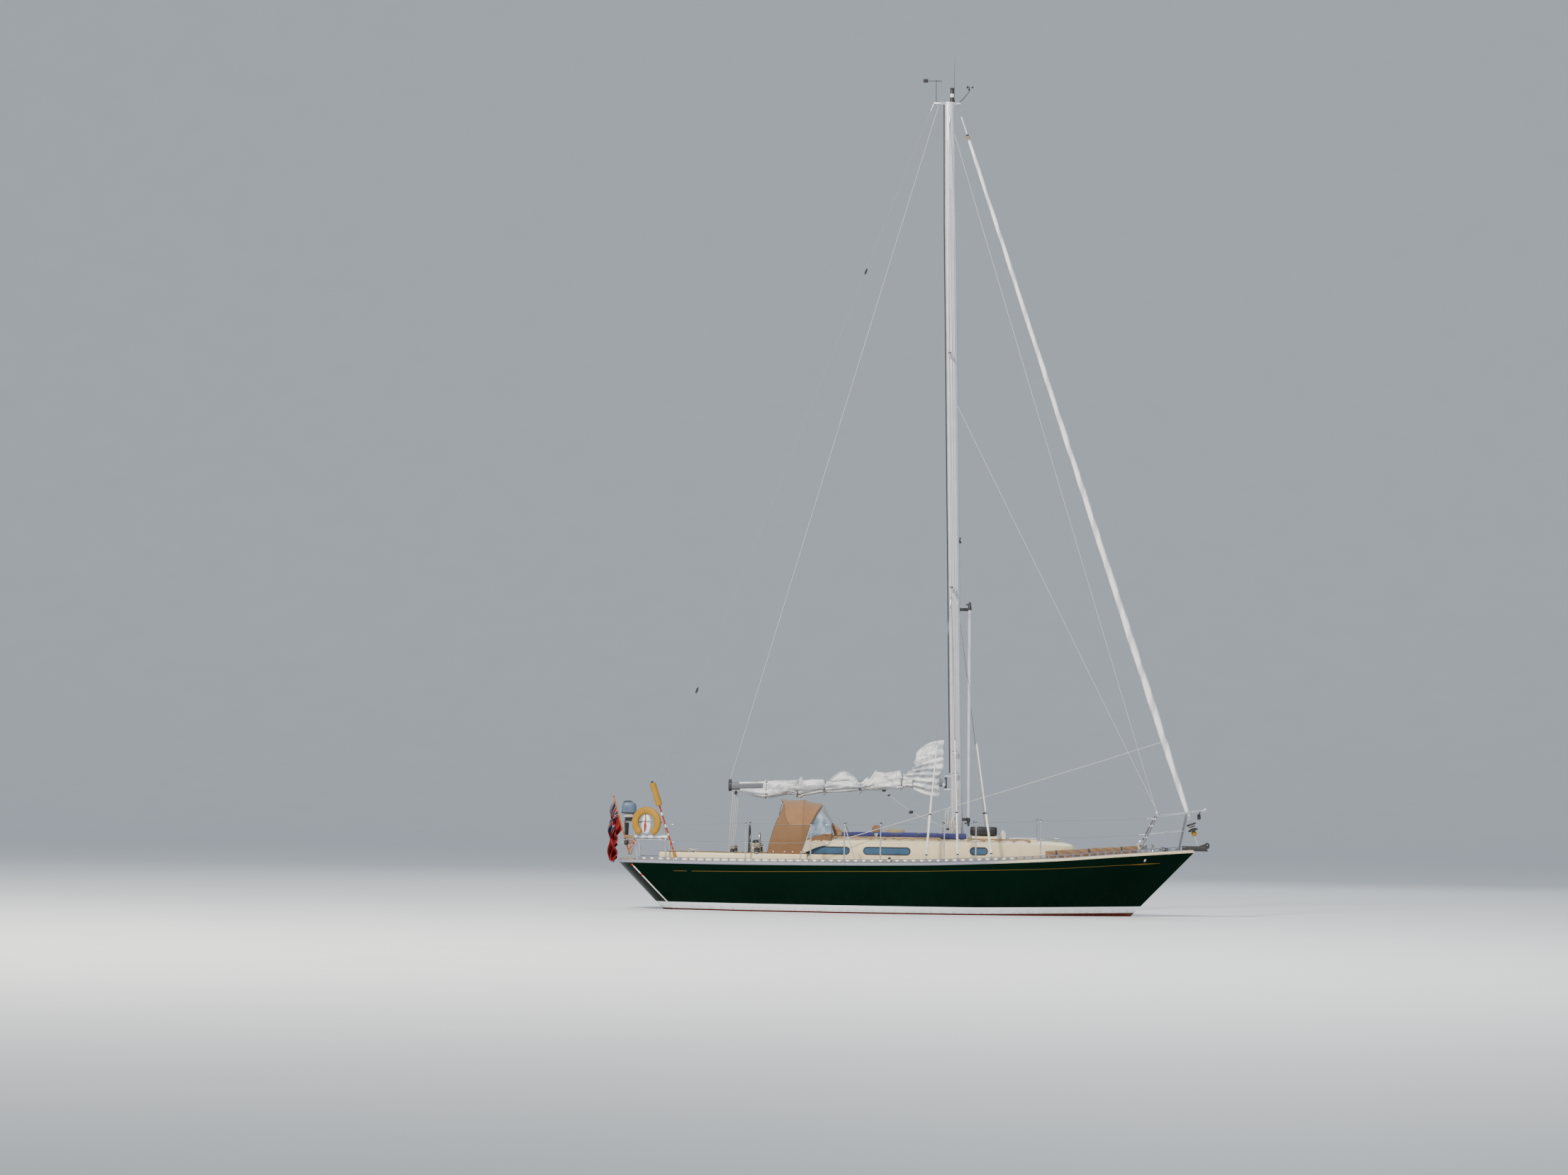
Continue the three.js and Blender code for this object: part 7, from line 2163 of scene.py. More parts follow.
class BuildHeadsail(YachtOperator, bpy.types.Operator):
    """Genoa rolled on its stay, with the furling drum at its foot"""
    bl_idname = "yacht.headsail"
    bl_label = "Furled genoa"

    def build(self):
        heights = np.array([(14.19, .030), (12.0, .038), (8.0, .05), (5.0, .062), (3.5, .064), (2.3, .05), (1.8, .036),
                            (1.755, .02)])
        z = np.linspace(14.19, 1.755, 620)
        radius = np.interp(-z, -heights[:, 0], heights[:, 1])
        centre = np.stack([on_stay(h) for h in z])
        d = unit(STAY_FOOT - STAY_TOP)
        across = vec(0, 1, 0)
        up = np.cross(d, across)
        angle = round_angles(48)[None]
        h = z[:, None]
        turn = angle + h * 3.1 + .5 * np.sin(h * .9)
        saw = (turn / TAU) % 1
        lap = .085 * (1 - saw)**1.3 - .04
        spiral = .05 * np.sin(angle * 2 - h * 6.5 + np.sin(h * 1.3)) + .035 * np.sin(angle * 3 + h * 11)
        crease = .018 * np.sin(angle + h * 47) * np.sin(h * 1.9) + .012 * np.sin(angle * 5 - h * 29)
        r = radius[:, None] * (.95 + lap + spiral + crease)
        rings = centre[:, None] + (r * np.cos(angle))[..., None] * across + (r * np.sin(angle))[..., None] * up
        lap = np.sin(angle + h * 9.5 + .6 * np.sin(h * 1.3))
        form = Form()
        form.add(closed(rings), 0, place=closed(np.stack([lap, lap, lap], 2)))
        form.add(tube(line(on_stay(14.62), on_stay(14.24), 8), .02, 16), 1)
        foil = line(on_stay(14.318), on_stay(1.72), 30)
        form.add(tube(foil, .0125, 14, dome=False), 1)
        for at, size in ((14.245, .028), (14.29, .024)):
            c = on_stay(at)
            form.add(lathe([(.012, -.02), (size, -.016), (size, .016), (.012, .02)], c, d, 24), 2 if at < 14.26 else 3)
        piece("genoa_roll", form, finishes("furled", "alloy", "yellow", "black"), body="genoa",
              stands_for=["furled_genoa"], sharp=55)
        drum = Form()
        base = on_stay(1.575)
        drum.add(lathe([(.03, 0), (.08, .001), (.09, .004), (.09, .03), (.08, .034), (.055, .036), (.055, .112),
                        (.08, .115),
                        (.09, .119), (.09, .14), (.06, .1435), (.02, .144)], base, -d, 48))
        drum.add(ball(base + d * .047, .05, 26), 2)
        coil = np.linspace(0, TAU * 7, 210)
        r = .062 + .004 * np.sin(coil * .31)
        line_on = base - d * (.026 + .09 * (.5 + .5 * np.sin(coil / 7 * 1.5)))[:, None] + (
            r * np.cos(coil))[:, None] * across + (r * np.sin(coil))[:, None] * up
        rings = tube(line_on, .005, 6)
        drum.add(rings, 1)
        piece("furling_drum", drum, finishes("black", "rope", "yellow"), body="genoa",
              stands_for=["furler_drum"])


# ---------------------------------------------------------------- standing rigging and rails

class BuildRigging(YachtOperator, bpy.types.Operator):
    """Shrouds, backstay, their terminals, bottle screws and white covers"""
    bl_idname = "yacht.rigging"
    bl_label = "Standing rigging"

    def wire(self, form, a, b, radius, cover=0.0, terminals=True):
        """A wire from deck to mast with its fork, bottle screw and cover at the lower end."""
        a, b = vec(*a), vec(*b)
        d = unit(b - a)
        form.add(tube(line(a + d * (.28 if terminals else 0), b, 24), radius, 8, dome=False), 0)
        if terminals:
            form.add(tube(line(a, a + d * .05, 3), .009, 12), 1)
            form.add(tube(line(a + d * .04, a + d * .30, 16), np.array([.006, .006] + [.0115] * 12 + [.006, .006]), 14),
                     1)
        if cover:
            form.add(tube(line(a + d * .10, a + d * cover, 20), .0195, 18), 2)
            form.add(tube(line(a + d * (cover - .01), a + d * (cover + 1.3), 20), .0125, 14), 2)
            for at in (.12, cover - .02):
                form.add(tube(line(a + d * at, a + d * (at + .025), 3), .0212, 18, dome=False), 3)

    def build(self):
        for name, side in SIDES:
            points = [vec(1.13, side * 1.43, float(deck_z(1.13, 1.43)))]
            points += [spreader_tip(s, side) + vec(0, side * .022, 0) for s in SPREADERS]
            points += [mast_at(14.65) + vec(0, side * (MAST_WIDTH / 2 - .004), 0)]
            form = Form()
            self.wire(form, points[0], points[1], self.sizes.wire, .9)
            for a, b in zip(points[1:-1], points[2:]):
                self.wire(form, a, b, self.sizes.wire, 0, False)
            d = unit(points[-1] - points[-2])
            form.add(tube(line(points[-1] - d * .18, points[-1], 4), .0075, 12), 1)
            form.add(block(points[0] - (.04, .006, .02), points[0] + (.04, .006, .018), .006), 1)
            piece(f"cap_shroud_wire_{name}", form, finishes("wire", "steel", "white", "rubber"),
                  stands_for=[f"cap_shroud_{name}"])
            for kind, x, y, fore in (("forward", 1.75, 1.33, .06), ("aft", .55, 1.44, -.06)):
                form = Form()
                foot, head = vec(x, side * y,
                                 float(deck_z(x, y))), mast_at(5.76) + vec(fore, side * (MAST_WIDTH / 2 + .002), 0)
                self.wire(form, foot, head, self.sizes.wire, .9)
                form.add(block(foot - (.035, .006, .02), foot + (.035, .006, .018), .006), 1)
                d = unit(head - foot)
                form.add(tube(line(head - d * .16, head, 4), .0075, 12), 1)
                form.add(block(head - (.02, .012, .03), head + (.02, .006, .03), .005), 1)
                piece(f"{kind}_lower_wire_{name}", form, finishes("wire", "steel", "white", "rubber"),
                      stands_for=[f"{kind}_lower_{name}"])
        form = Form()
        foot, head = vec(-4.86, 0, .925), vec(.5047, 0, 14.872)
        self.wire(form, foot, head, self.sizes.wire, 0)
        d = unit(head - foot)
        form.add(tube(line(head - d * .2, head, 4), .0075, 12), 1)
        for at in (3.3, 11.6):
            form.add(tube(curve([foot + d * (at - .06), foot + d * (at - .02), foot + d * (at + .02),
                                 foot + d * (at + .06)], 12),
                          np.array([.006, .01, .016, .018, .018, .018, .018, .018, .018, .016, .01, .006]), 14), 3)
        piece("backstay_wire", form, finishes("wire", "steel", "white", "rubber"),
              stands_for=["backstay"])


class BuildRails(YachtOperator, bpy.types.Operator):
    """Stanchions in their sockets, guardrail wires, and the bent tubes of pulpit and pushpit"""
    bl_idname = "yacht.rails"
    bl_label = "Rails"

    @staticmethod
    def pushpit_leg(side):
        return (vec(PUSHPIT_X, side * (beam(PUSHPIT_X) - RAIL_INSET), .87),
                vec(-4.19, side * (beam(-4.19) - RAIL_INSET), PUSHPIT_TOP))

    @staticmethod
    def pulpit_leg(side):
        return (vec(4.4, side * (beam(4.4) - RAIL_INSET), 1.1),
                vec(PULPIT_X, side * (beam(PULPIT_X) - .04), PULPIT_TOP))

    @staticmethod
    def at_height(leg, z):
        low, high = leg
        return low + (high - low) * (z - low[2]) / (high[2] - low[2])

    def build(self):
        for name, side in SIDES:
            self.guardrail(name, side)
        self.pushpit()
        self.pulpit()

    def guardrail(self, name, side):
        form = Form()
        for x, brace in STANCHIONS:
            low, high = rail_point(x, side, -.018), rail_point(x, side, 1)
            form.add(tube(line(low, high, 12), np.linspace(.0125, .0115, 12), 14), 0)
            form.add(lathe([(.036, 0), (.036, .004), (.02, .008), (.017, .03), (.017, .075), (.0125, .078)],
                           low - (0, 0, .001)), 0)
            form.add(lathe([(.013, 0), (.016, .004), (.015, .014), (.0, .02)], high - (0, 0, .006)), 1)
            for share in (.5, .97):
                form.add(ball(rail_point(x, side, share), .0165, 12, (1.2, 1, .8)), 0)
            if brace:
                a = rail_point(x + brace * .215, side, -.018)
                form.add(tube(line(a, rail_point(x, side, .96), 20), .0095, 12), 0)
                form.add(lathe([(.03, 0), (.03, .004), (.014, .008), (.012, .03)], a), 0)
        for share, aft_z, fore_z in ((.5, 1.23, 1.5), (.97, 1.545, 1.8)):
            points = [self.at_height(self.pushpit_leg(side), aft_z)]
            points += [rail_point(x, side, share) for x, _ in STANCHIONS]
            points += [self.at_height(self.pulpit_leg(side), fore_z)]
            for a, b in zip(points[:-1], points[1:]):
                sag = np.sin(np.linspace(0, math.pi, 14))[:, None] * vec(0, 0, -.004 * np.linalg.norm(b - a))
                form.add(tube(line(a, b, 14) + sag, self.sizes.lifeline, 8, dome=False), 3)
            gate = points[3] + (points[2] - points[3]) * .5
            d = unit(points[2] - points[3])
            form.add(tube(line(gate - d * .03, gate + d * .03, 4), .009, 10), 0)
            for end, toward in ((points[0], points[1]), (points[-1], points[-2])):
                d = unit(toward - end)
                form.add(tube(line(end + d * .015, end + d * .17, 8), np.array([.003] + [.0055] * 6 + [.003]), 10), 0)
        piece(f"guardrail_wires_{name}", form, finishes("steel", "black", "white", "wire"),
              stands_for=[f"guardrail_{name}"])

    def foot(self, form, at):
        form.add(lathe([(.034, 0), (.034, .004), (.02, .008), (.017, .02), (.0145, .03)], at), 0)

    def pushpit(self):
        form = Form()
        r = self.sizes.rail_tube
        y = lambda x: float(beam(x)) - RAIL_INSET
        for z in (PUSHPIT_TOP, 1.27):
            loop = [(PUSHPIT_X, y(PUSHPIT_X), z), (-4.5, y(-4.5), z), (-4.8, .54, z), (-4.96, .25, z), (-4.96, -.25, z),
                    (-4.8, -.54, z), (-4.5, -y(-4.5), z), (PUSHPIT_X, -y(PUSHPIT_X), z)]
            form.add(tube(curve(loop, 120), r, 16), 0)
        for side in (1, -1):
            low, high = self.pushpit_leg(side)
            low[2] = float(deck_z(low[0], low[1])) - .002
            form.add(tube(line(low, high, 10), r, 14), 0)
            self.foot(form, low)
            low, high = vec(-4.68, side * .59, float(deck_z(-4.68, .59)) - .002), vec(-4.76, side * .57, PUSHPIT_TOP)
            form.add(tube(line(low, high, 10), r, 14), 0)
            self.foot(form, low)
        piece("pushpit_tube", form, finishes("steel"), stands_for=["pushpit"])
        board = Form()
        for y0, y1 in ((-.62, -.14), (.1, .3)):
            ys = np.linspace(y0, y1, 12)
            xs = -4.8 - .16 * np.clip((.54 - np.abs(ys)) / .29, 0, 1) + .028
            path = np.stack([xs, ys, np.full(12, 1.29)], 1)
            board.add(sweep(path, rounded(.022, .1, .008, 3)))
        piece("quarter_boards", board, finishes("teak"))
        self.quarter_gear()

    def quarter_gear(self):
        """Rolled cover lashed along the starboard rail, an orange line, a ball, and a white tube with orange at two of
        its segments, laid close along the starboard quarter's side.
        """
        gear = Form()
        xs = np.linspace(-4.72, -4.14, 40)
        edge = -np.interp(xs, (-4.8, -4.5), (.54, float(beam(-4.5)) - RAIL_INSET))
        edge = np.where(xs > -4.5, -(beam(xs) - RAIL_INSET), edge)
        path = np.stack([xs, edge, 1.318 + .004 * np.sin(xs * 40)], 1)
        gear.add(tube(path, .03 + .004 * np.sin(np.linspace(0, 14, 40)), 18), 0)
        gear.add(tube(path - (0, 0, .042), .011, 10), 1)
        a = np.linspace(0, 1, 50)[:, None]
        hang = vec(-4.74, -.6, 1.27) + a * vec(-.1, 0, -.2) + np.concatenate(
            [.03 * np.sin(a * 21), .02 * np.cos(a * 17), .02 * np.sin(a * 30)], 1)
        gear.add(tube(hang, .009, 10), 2)
        gear.add(ball(vec(-4.9, -.42, 1.2), .042, 22), 1)
        points = []
        for share in np.linspace(0, 1, 24):
            x, z = -4.02 - .76 * share, .03 + .79 * share
            points.append((x, hull_side(x, z) - .014, z))
        points = smooth_path(points)
        for k in range(23):
            gear.add(tube(line(points[k], points[k + 1], 3), .011, 12, dome=False), 2 if k in (17, 22) else 3)
        piece("quarter_gear", gear, finishes("sail", "black", "orange", "white"))

    def pulpit(self):
        form = Form()
        r = self.sizes.rail_tube
        wide = float(beam(PULPIT_X)) - .04
        loop = [(PULPIT_X, wide, PULPIT_TOP), (5.205, .135, 1.891), (5.6, .11, 1.947), (5.66, 0, 1.947),
                (5.6, -.11, 1.947),
                (5.205, -.135, 1.891), (PULPIT_X, -wide, PULPIT_TOP)]
        form.add(tube(curve(loop, 110), r, 16), 0)
        for side in (1, -1):
            aft = self.pulpit_leg(side)
            fore = (vec(5.16, side * (float(beam(5.16)) - .085), 1.15), vec(5.312, side * .124, 1.884))
            for leg, x, y in ((aft, 4.42, .5), (fore, 5.17, .1)):
                low = self.at_height(leg, float(deck_z(x, y)) - .008)
                # the legs take the dark grey copy of the alloy: painted shade
                form.add(tube(line(low, leg[1], 10), r, 14), 2)
                self.foot(form, low)
            form.add(tube(line(self.at_height(aft, 1.505), self.at_height(fore, 1.575), 8), .0115, 14), 0)
            for z in (1.45, 1.66, 1.78):
                form.add(ball(self.at_height(aft, z), .0175, 14, (1, 1, 1.1)), 1)
        piece("pulpit_tube", form, finishes("steel", "white", "spar_in_shade"),
              stands_for=["pulpit"])
        lamp = Form()
        at = vec(5.535, 0, 1.835)
        lamp.add(block(at - (.03, .035, .05), at + (.03, .035, .05), .02, .012), 0)
        for y, k in ((-.03, 1), (.03, 2)):
            lamp.add(ball(at + (.016, y, -.01), .026, 18, (.7, .6, 1)), k)
        lamp.add(tube(line(at + (0, 0, .04), at + (.03, 0, .106), 3), .01, 10), 0)
        lamp.add(ball(vec(5.645, 0, 1.967), .027, 18, (1.2, 1.2, .9)), 3)
        piece("bow_lantern", lamp, finishes("black", "rubber", "glass", "white"))


# ---------------------------------------------------------------- ends

class BuildBow(YachtOperator, bpy.types.Operator):
    """Stemhead fitting and roller, windlass, bitts, fairleads and cleats"""
    bl_idname = "yacht.bow"
    bl_label = "Bow gear"

    def build(self):
        form = Form()
        x = np.linspace(5.24, 5.73, 30)
        top = 1.30 + .045 * np.clip((x - 5.6) / .13, 0, 1)**1.5
        low = 1.217 + .05 * np.clip((x - 5.62) / .11, 0, 1)
        for side in (1, -1):
            ring = np.stack([np.stack([x, np.full(30, side * y), z], 1) for y, z in
                             ((.030, low), (.030, top - .004), (.033, top), (.039, top), (.042, top - .004),
                              (.042, low))], 1)
            form.add(closed(ring), 0)
        form.add(block((5.24, -.04, 1.206), (5.7, .04, 1.24), .01), 0)
        spool = lathe([(.012, 0), (.045, .001), (.045, .008), (.03, .016), (.022, .035), (.022, .055), (.03, .074),
                       (.045, .082),
                       (.045, .089), (.012, .09)], (5.69, -.045, 1.320), (0, 1, 0), 36)
        form.add(spool, 1)
        form.add(tube(line((5.69, -.06, 1.32), (5.69, .06, 1.32), 3), .01, 14), 2)
        toggle_low, toggle_high = vec(float(on_stay(1.24)[0]), 0, 1.232), on_stay(1.574)
        d = unit(toggle_high - toggle_low)
        for y in (-.016, .016):
            form.add(tube(line(toggle_low + (0, y, 0), toggle_high + (0, y, 0), 6), .005, 8), 2)
        form.add(tube(line(toggle_low + d * .1, toggle_high, 6), .012, 14), 2)
        piece("stemhead_fitting", form, finishes("black", "black", "steel"),
              stands_for=["stemhead_roller"])
        self.windlass()
        self.foredeck()
        self.hardware()

    def windlass(self):
        form = Form()
        deck = float(deck_z(4.5, 0))
        form.add(slab(rounded(.24, .22, .06, 6), deck - .004, deck + .03, .006, (4.5, 0, 0)), 0)
        form.add(slab(rounded(.2, .17, .07, 8), deck + .02, 1.335, .03, (4.5, 0, 0)), 0)
        gypsy = [(.0, 0), (.04, .002), (.06, .012), (.062, .03), (.042, .045), (.034, .06), (.042, .078), (.062, .09),
                 (.06, .104), (.04, .11)]
        form.add(lathe(gypsy, (4.5, .075, 1.33), (0, 1, 0), 40), 1)
        form.add(lathe(gypsy, (4.5, -.075, 1.33), (0, -1, 0), 40), 1)
        for side in (1, -1):
            low = float(deck_z(4.7, .06)) - .004
            form.add(lathe([(.03, 0), (.022, .01), (.021, .11), (.026, .12), (.026, .132), (.012, .145), (.0, .146)],
                           (4.7, side * .06, low)), 1)
        form.add(tube(line((4.7, -.095, 1.31), (4.7, .095, 1.31), 6), .011, 12), 1)
        form.add(block((4.62, -.08, deck - .01), (4.78, .08, deck + .012), .02), 0)
        piece("anchor_windlass", form, finishes("light_grey", "steel"), stands_for=["windlass"])

    def foredeck(self):
        """A weathered plank lashed inside the starboard rail, and the horn of the bow roller."""
        xs = np.linspace(2.72, 4.4, 60)
        at = beam(xs) - .13
        low, high = np.interp(xs, (2.72, 4.4), (1.03, 1.15)), np.interp(xs, (2.72, 4.4), (1.185, 1.3))
        wave = .004 * np.sin(xs * 9) + .003 * np.sin(xs * 23)
        path = np.stack([xs, -at, (low + high) / 2 + wave], 1)
        form = Form().add(sweep(path, rounded(.035, .14, .012, 4)), 0)
        for x in (2.9, 3.5, 4.1):
            k = int(np.argmin(abs(xs - x)))
            ring = rounded(.043, .148, .014, 4)
            form.add(sweep(np.stack([xs[k:k + 2], -at[k:k + 2], path[k:k + 2, 2]], 1), ring), 1)
        piece("foredeck_plank", form, finishes("lit_plank", "webbing"))
        horn = Form()
        path = curve([(5.41, 0, 1.225), (5.52, 0, 1.27), (5.62, 0, 1.312), (5.71, 0, 1.345)], 20)
        horn.add(tube(path, np.linspace(.034, .012, 20), 16, flat=1.2), 0)
        for side in (1, -1):
            hole = vec(4.53, side * -hull_side(4.53, 1.036), 1.036)
            horn.add(ball(hole, .046, 26, (.8, .14, 1)), 0)
            horn.add(ball(hole + (0, side * .004, .004), .026, 22, (.8, .16, 1.1)), 1)
        piece("bow_horn", horn, finishes("black", "white"))
        lines = Form()
        corner = vec(4.74, -(float(beam(4.75)) - .04), 1.86)
        lines.add(tube(line(mast_at(14.3) + (.09, -.04, 0), corner + (0, 0, .06), 60), .0042, 7), 0)
        lines.add(tube(line(mast_at(9.3) + (.09, -.04, 0), corner + (.02, 0, .05), 60), .0042, 7), 0)
        lines.add(ball(corner + (.005, 0, .035), .022, 14, (.8, .8, 1.3)), 1)
        fall = line((4.87, -.02, 3.2), (-1.61, -1.2, 1.12), 90)
        sag = np.sin(np.linspace(0, math.pi, 90))[:, None] * vec(0, 0, -.02)
        lines.add(tube(fall + sag, .0062, 8), 0)
        piece("headsail_lines", lines, finishes("rope", "white"))

    def cleat(self, form, at, heading, size=.1, finish_number=0):
        at, along = vec(*at), unit(heading)
        horn = curve([at - along * size + (0, 0, .046), at - along * size * .45 + (0, 0, .036), at + (0, 0, .034),
                      at + along * size * .45 + (0, 0, .036), at + along * size + (0, 0, .046)], 24)
        form.add(tube(horn, .010 - .004 * np.abs(np.linspace(-1, 1, 24))**2, 12), finish_number)
        for s in (-.3, .3):
            post = at + along * size * s
            form.add(lathe([(.014, -.003), (.011, .008), (.009, .034)], post, sides=14), finish_number)

    def hardware(self):
        form = Form()
        for side in (1, -1):
            for x in (4.05, -.62, -3.9):
                y = float(beam(x)) - .14
                heading = vec(1, -side * (float(beam(x - .3)) - float(beam(x + .3))) / .6, 0)
                self.cleat(form, (x, side * y, float(deck_z(x, y))), heading, .11)
            x = 4.905
            y, z = float(beam(x)) - .032, float(smooth(HULL_LINES, SHEER, x)) + DECK_EDGE
            ring = round_angles(30)
            oval = np.stack([x + .045 * np.cos(ring), np.full(30, side * y), z + .045 + .026 * np.sin(ring)], 1)
            torus = round_bar(oval, unit(oval - (x, side * y, z + .045)), vec(0, 1, 0), .011, 10)
            form.add(np.concatenate([torus, torus[:1]]), 1)
            xs = np.linspace(-1.3, 1.0, 30)
            track = np.stack([xs, side * (beam(xs) - .17), deck_z(xs, beam(xs) - .17) + .008], 1)
            form.add(sweep(track, rounded(.03, .012, .003, 2)), 2)
            car = vec(-.1, side * (float(beam(-.1)) - .17), float(deck_z(-.1, 1.43)) + .02)
            form.add(block(car - (.05, .02, .004), car + (.05, .02, .014), .008), 1)
            form.add(lathe([(.026, -.008), (.028, 0), (.018, .003), (.018, .007), (.028, .01), (.026, .018)],
                           car + (0, -.005, .045), (0, 1, 0), 24), 1)
            self.cleat(form, vec(-3.72, side * .77, COAMING_Z), (1, -side * .25, 0), .08)
        piece("deck_hardware", form, finishes("steel", "black", "dark_alloy"))


class BuildStern(YachtOperator, bpy.types.Operator):
    """Ensign on its staff, lifebuoy, danbuoy and outboard motor"""
    bl_idname = "yacht.stern"
    bl_label = "Stern gear"

    def build(self):
        self.ensign()
        self.lifebuoy()
        self.danbuoy()
        self.outboard()

    def ensign(self):
        foot, top = vec(-4.835, -.17, .922), vec(-5.16, -.17, 2.045)
        d = unit(top - foot)
        form = Form()
        form.add(tube(line(foot, top, 20), np.linspace(.017, .0125, 20), 20), 0)
        form.add(lathe([(.011, 0), (.02, .004), (.024, .018), (.018, .03), (0, .036)], top - d * .02, d, 24), 0)
        form.add(lathe([(.024, 0), (.024, .004), (.018, .008), (.017, .07)], foot - d * .01, d, 24), 1)
        piece("staff_pole", form, finishes("varnish", "steel"), stands_for=["ensign_staff"])
        self.flag(top, d)

    def flag(self, top, d):
        """A limp flag: the hoist runs down the staff, and the cloth falls from it as a bundle of upright folds.
        Across the cloth the folds are a sine of the height on the hoist; along it they grow with the distance
        from the staff, and the lower lines fall less because the upper ones carry them."""
        rows, columns = 90, 130
        hoist, fly = .57, 1.14
        s = np.linspace(0, 1, rows)[:, None]
        t = np.linspace(0, 1, columns)[None]
        staff = top - d * .07 - d * hoist * (1 - s)[..., None]
        run = fly * t
        settle = 1 - np.exp(-run * 8)
        folded = s * TAU * 2.9
        x = staff[..., 0] + (-5.095 - .115 * s - .03 * np.sin(folded * .8 + .5) - staff[..., 0]) * settle
        x = x + .034 * np.sin(run * 15 + 3 * s) * settle * (1 - .4 * s)
        y = staff[..., 1] + .07 * np.sin(folded + .4) * (1 - .25 * s) * settle * (1 + .15 * np.sin(run * 7))
        y = y + .02 * np.sin(run * 17 - 4 * s) * settle
        z = staff[..., 2] - run * (.52 + .44 * s) + .012 * np.sin(run * 12 + folded) * settle
        grid = np.stack([x, y, z], 2)
        place = np.stack([np.repeat(t, rows, 0), np.repeat(s, columns, 1), 0 * x], 2)
        form = Form().add(grid, 0, wrap=False, place=place)
        flag = piece("ensign_flag", form, finishes("ensign"), stands_for=["ensign"], weld=False,
                     outward=False, wall=.0012, sharp=80)

    def lifebuoy(self):
        """Horseshoe of covered foam: a tube bent round an open ring, flattened, with stitched segments."""
        rail = float(beam(-4.52)) - RAIL_INSET
        centre = vec(-4.52, -rail - .058, 1.575)
        share, turn = np.linspace(0, 1, 110), -.38
        a = math.pi * (-.345 + 1.69 * share)
        reach, thick = .221, .066
        path = np.stack([reach * np.cos(a), 0 * a, reach * np.sin(a)], 1)
        seams = np.exp(-((share[:, None] - np.linspace(.1, .9, 6)) / .008)**2).sum(1)
        b = round_angles(30)
        out = unit(path)
        end = np.sqrt(np.clip(1 - np.abs(np.linspace(-1, 1, 110))**24, 0, 1))
        r = (thick * end * (1 - .05 * seams))[:, None]
        rings = path[:, None] + (r * signed_power(np.cos(b), .8))[..., None] * out[:, None] + (
            r * .7 * signed_power(np.sin(b), .8))[..., None] * vec(0, 1, 0)
        spin = lambda p: turned(p, (0, 0, 1), turn) + centre
        form = Form().add(spin(closed(rings)), 0)
        piece("horseshoe_buoy", form, finishes("yellow"), stands_for=["lifebuoy"])
        extra = Form()
        t, c = np.linspace(0, math.pi, 30)[:, None], round_angles(40)[None]
        shell = np.stack([.092 * np.sin(t)**.7 * np.cos(c), -.012 - .04 * np.sin(t)**.5 * np.sin(c),
                          -.03 + .17 * np.cos(t) + 0 * c], 2)
        extra.add(spin(closed(shell)), 0)
        extra.add(spin(tube(line((-.09, -.05, .02), (.09, -.05, .02), 8), .007, 10)), 1)
        strap = curve([(.0, -.05, .15), (.004, -.06, .05), (.0, -.062, -.04), (-.01, -.058, -.16)], 20)
        widths = .014 + .03 * np.exp(-((np.linspace(0, 1, 20) - .72) / .2)**2)
        extra.add(spin(tube(strap, widths, 14, flat=.3)), 2)
        piece("buoy_pouch", extra, finishes("white", "webbing", "red"))

    def danbuoy(self):
        y = -(float(beam(-4.168)) - RAIL_INSET + .048)
        foot, top = vec(-3.96, y, float(deck_z(-3.96, y))), vec(-4.43, y, 2.33)
        d = unit(top - foot)
        span = np.linalg.norm(top - foot)
        form = Form()
        bands = 26
        for k in range(bands):
            a, b = (foot + d * span * (n / bands * .985) for n in (k, k + 1))
            form.add(tube(line(a, b, 4), .0155, 14, dome=False), 3 if k in (8, 11, 15) else 0)
        at = foot + d * (span - .47)
        form.add(lathe([(.014, 0), (.05, .004), (.056, .012), (.058, .03), (.058, .41), (.055, .425), (.04, .432),
                        (.014, .436)], at, d, 40), 1)
        form.add(lathe([(.014, .436), (.022, .438), (.022, .462), (.0, .466)], at, d, 20), 2)
        form.add(lathe([(.013, 0), (.026, .004), (.03, .02), (.03, .13), (.026, .14), (.013, .144)], foot + d * .01, d,
                       28), 1)
        for s in (.12, .17, .23, .3):
            form.add(lathe([(.0135, 0), (.0165, .002), (.0165, .03), (.0135, .032)], foot + d * span * s, d, 16), 1)
        piece("danbuoy_float", form, finishes("red", "yellow", "black", "white"),
              stands_for=["danbuoy"])

    def outboard(self):
        """Cowl from a rounded loft that narrows upward, then midsection, gear case, skeg and clamp."""
        form = Form()
        u = np.linspace(0, 1, 26)
        centre = vec(-4.9075, .435, 0)
        angle = round_angles(48)
        wide = (.105 * (1 - .25 * u**3) * np.sqrt(np.clip(1 - u**14, 0, 1)))[:, None]
        long = (.1375 * (1 - .14 * u**2) * np.sqrt(np.clip(1 - u**12, 0, 1)))[:, None]
        z = (1.752 + .198 * u)[:, None] + 0 * angle
        x = centre[0] + long * signed_power(np.cos(angle), .62) + .01 * (z - 1.7)
        y = centre[1] + wide * signed_power(np.sin(angle), .62)
        form.add(closed(np.stack([x, y, z], 2)), 0)
        form.add(slab(rounded(.272, .204, .05, 6), 1.732, 1.756, .006, tuple(centre)), 2)
        form.add(slab(rounded(.15, .13, .05, 6), 1.63, 1.665, .008, tuple(centre)), 2)
        form.add(slab(rounded(.19, .15, .05, 6), 1.66, 1.738, .012, tuple(centre)), 1)
        handle = curve([centre + (-.1, 0, 1.935), centre + (-.06, 0, 1.957), centre + (.03, 0, 1.957),
                        centre + (.08, 0, 1.93)], 16)
        form.add(tube(handle, .009, 10), 2)
        ring = lambda z, a, b, dx: np.stack([centre[0] - .0375 + dx + a * np.cos(angle), centre[1] + b * np.sin(angle),
                                             np.full(48, z)], 1)
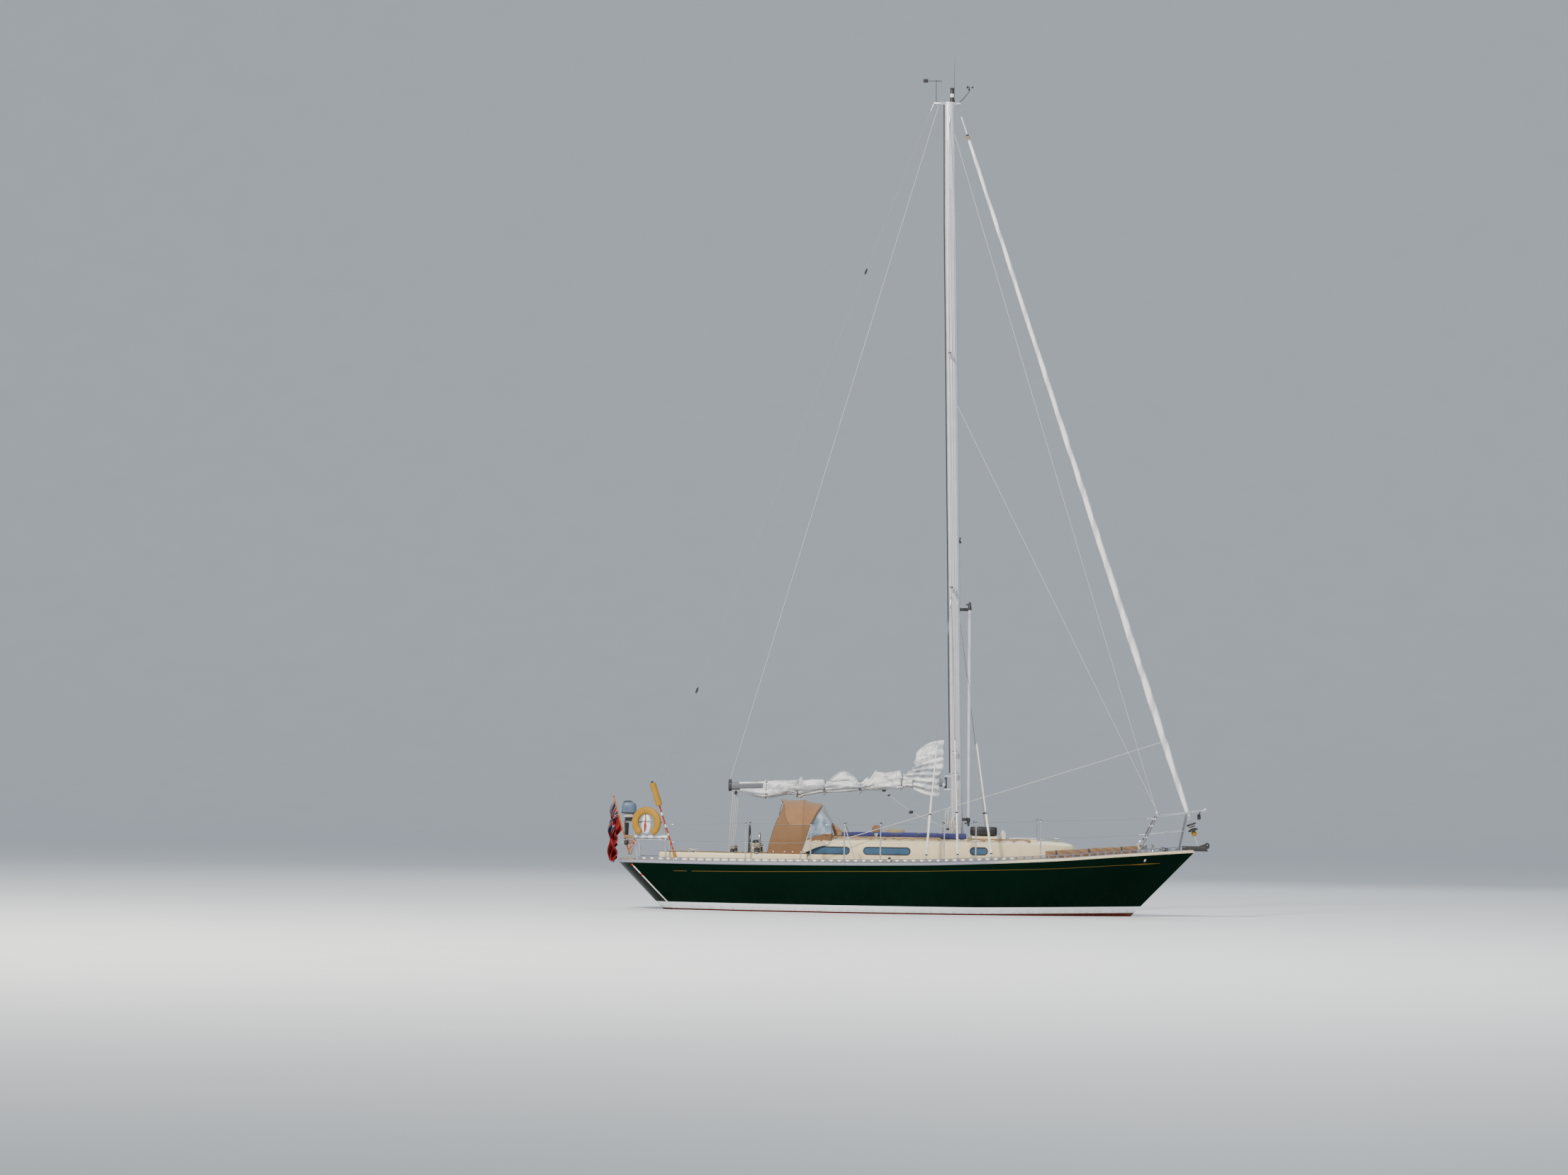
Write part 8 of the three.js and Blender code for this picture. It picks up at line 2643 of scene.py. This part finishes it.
        form.add(closed(np.stack([ring(1.645, .05, .04, .02), ring(1.58, .045, .035, .0), ring(1.45, .038, .026, 0),
                                  ring(1.26, .036, .02, 0),
                                  ring(1.2, .045, .02, 0), ring(1.175, .03, .02, 0)])), 2)
        form.add(lathe([(.0, 0), (.016, .008), (.03, .04), (.034, .08), (.034, .13), (.026, .17), (.014, .19)],
                       (-5.04, .435, 1.19), (1, 0, 0), 28), 1)
        form.add(slab(np.array([(-.05, .0), (.05, 0), (.02, -.03), (-.02, -.032)])[::-1], -.004, .004, .001,
                      (-4.95, .435, 1.172), ((1, 0, 0), (0, 0, 1), (0, 1, 0))), 1)
        form.add(block((-4.96, .35, 1.208), (-4.89, .52, 1.216), .03, .002), 1)
        form.add(block((-4.935, .385, 1.588), (-4.80, .485, 1.668), .012), 2)
        form.add(tube(line((-4.80, .41, 1.62), (-4.775, .41, 1.62), 3), .012, 12), 2)
        form.add(tube(line((-4.80, .46, 1.62), (-4.775, .46, 1.62), 3), .012, 12), 2)
        piece("outboard_engine", form, finishes("cowl", "light_grey", "black"),
              stands_for=["outboard_motor"])


def add_cad_finishes():
    """Gives the engine, the one node that keeps showing, its finish."""
    engine = frame["nodes"]["engine"]
    for slot in engine.material_slots:
        slot.material = finish("iron")
    if not engine.material_slots:
        engine.data.materials.append(finish("iron"))


PIECES = (BuildStage, BuildHull, BuildUnderbody, BuildDeck, BuildCoachroof, BuildCockpit, BuildSprayhood,
          BuildMast, BuildBoom, BuildHeadsail, BuildRigging, BuildRails, BuildBow, BuildStern)


class YachtPanel(bpy.types.Panel):
    """Sidebar panel with the yacht's colours, sizes and pieces"""
    bl_idname = "VIEW3D_PT_yacht"
    bl_label = "Sailing yacht"
    bl_space_type = "VIEW_3D"
    bl_region_type = "UI"
    bl_category = "Yacht"

    def draw(self, context):
        for group in (context.scene.yacht_colours, context.scene.yacht_sizes):
            column = self.layout.column(align=True)
            for name in group.bl_rna.properties.keys():
                if name not in ("rna_type", "name"):
                    column.prop(group, name)
        for part in PIECES:
            self.layout.operator(part.bl_idname)


CLASSES = (YachtColours, YachtSizes, *PIECES, YachtPanel)


def register():
    for part in CLASSES:
        bpy.utils.register_class(part)
    bpy.types.Scene.yacht_colours = bpy.props.PointerProperty(type=YachtColours)
    bpy.types.Scene.yacht_sizes = bpy.props.PointerProperty(type=YachtSizes)


def unregister():
    del bpy.types.Scene.yacht_sizes
    del bpy.types.Scene.yacht_colours
    for part in reversed(CLASSES):
        bpy.utils.unregister_class(part)


def main():
    register()
    for part in PIECES:
        family, name = part.bl_idname.split(".")
        getattr(getattr(bpy.ops, family), name)()
    add_cad_finishes()


if __name__ == "__main__":
    main()
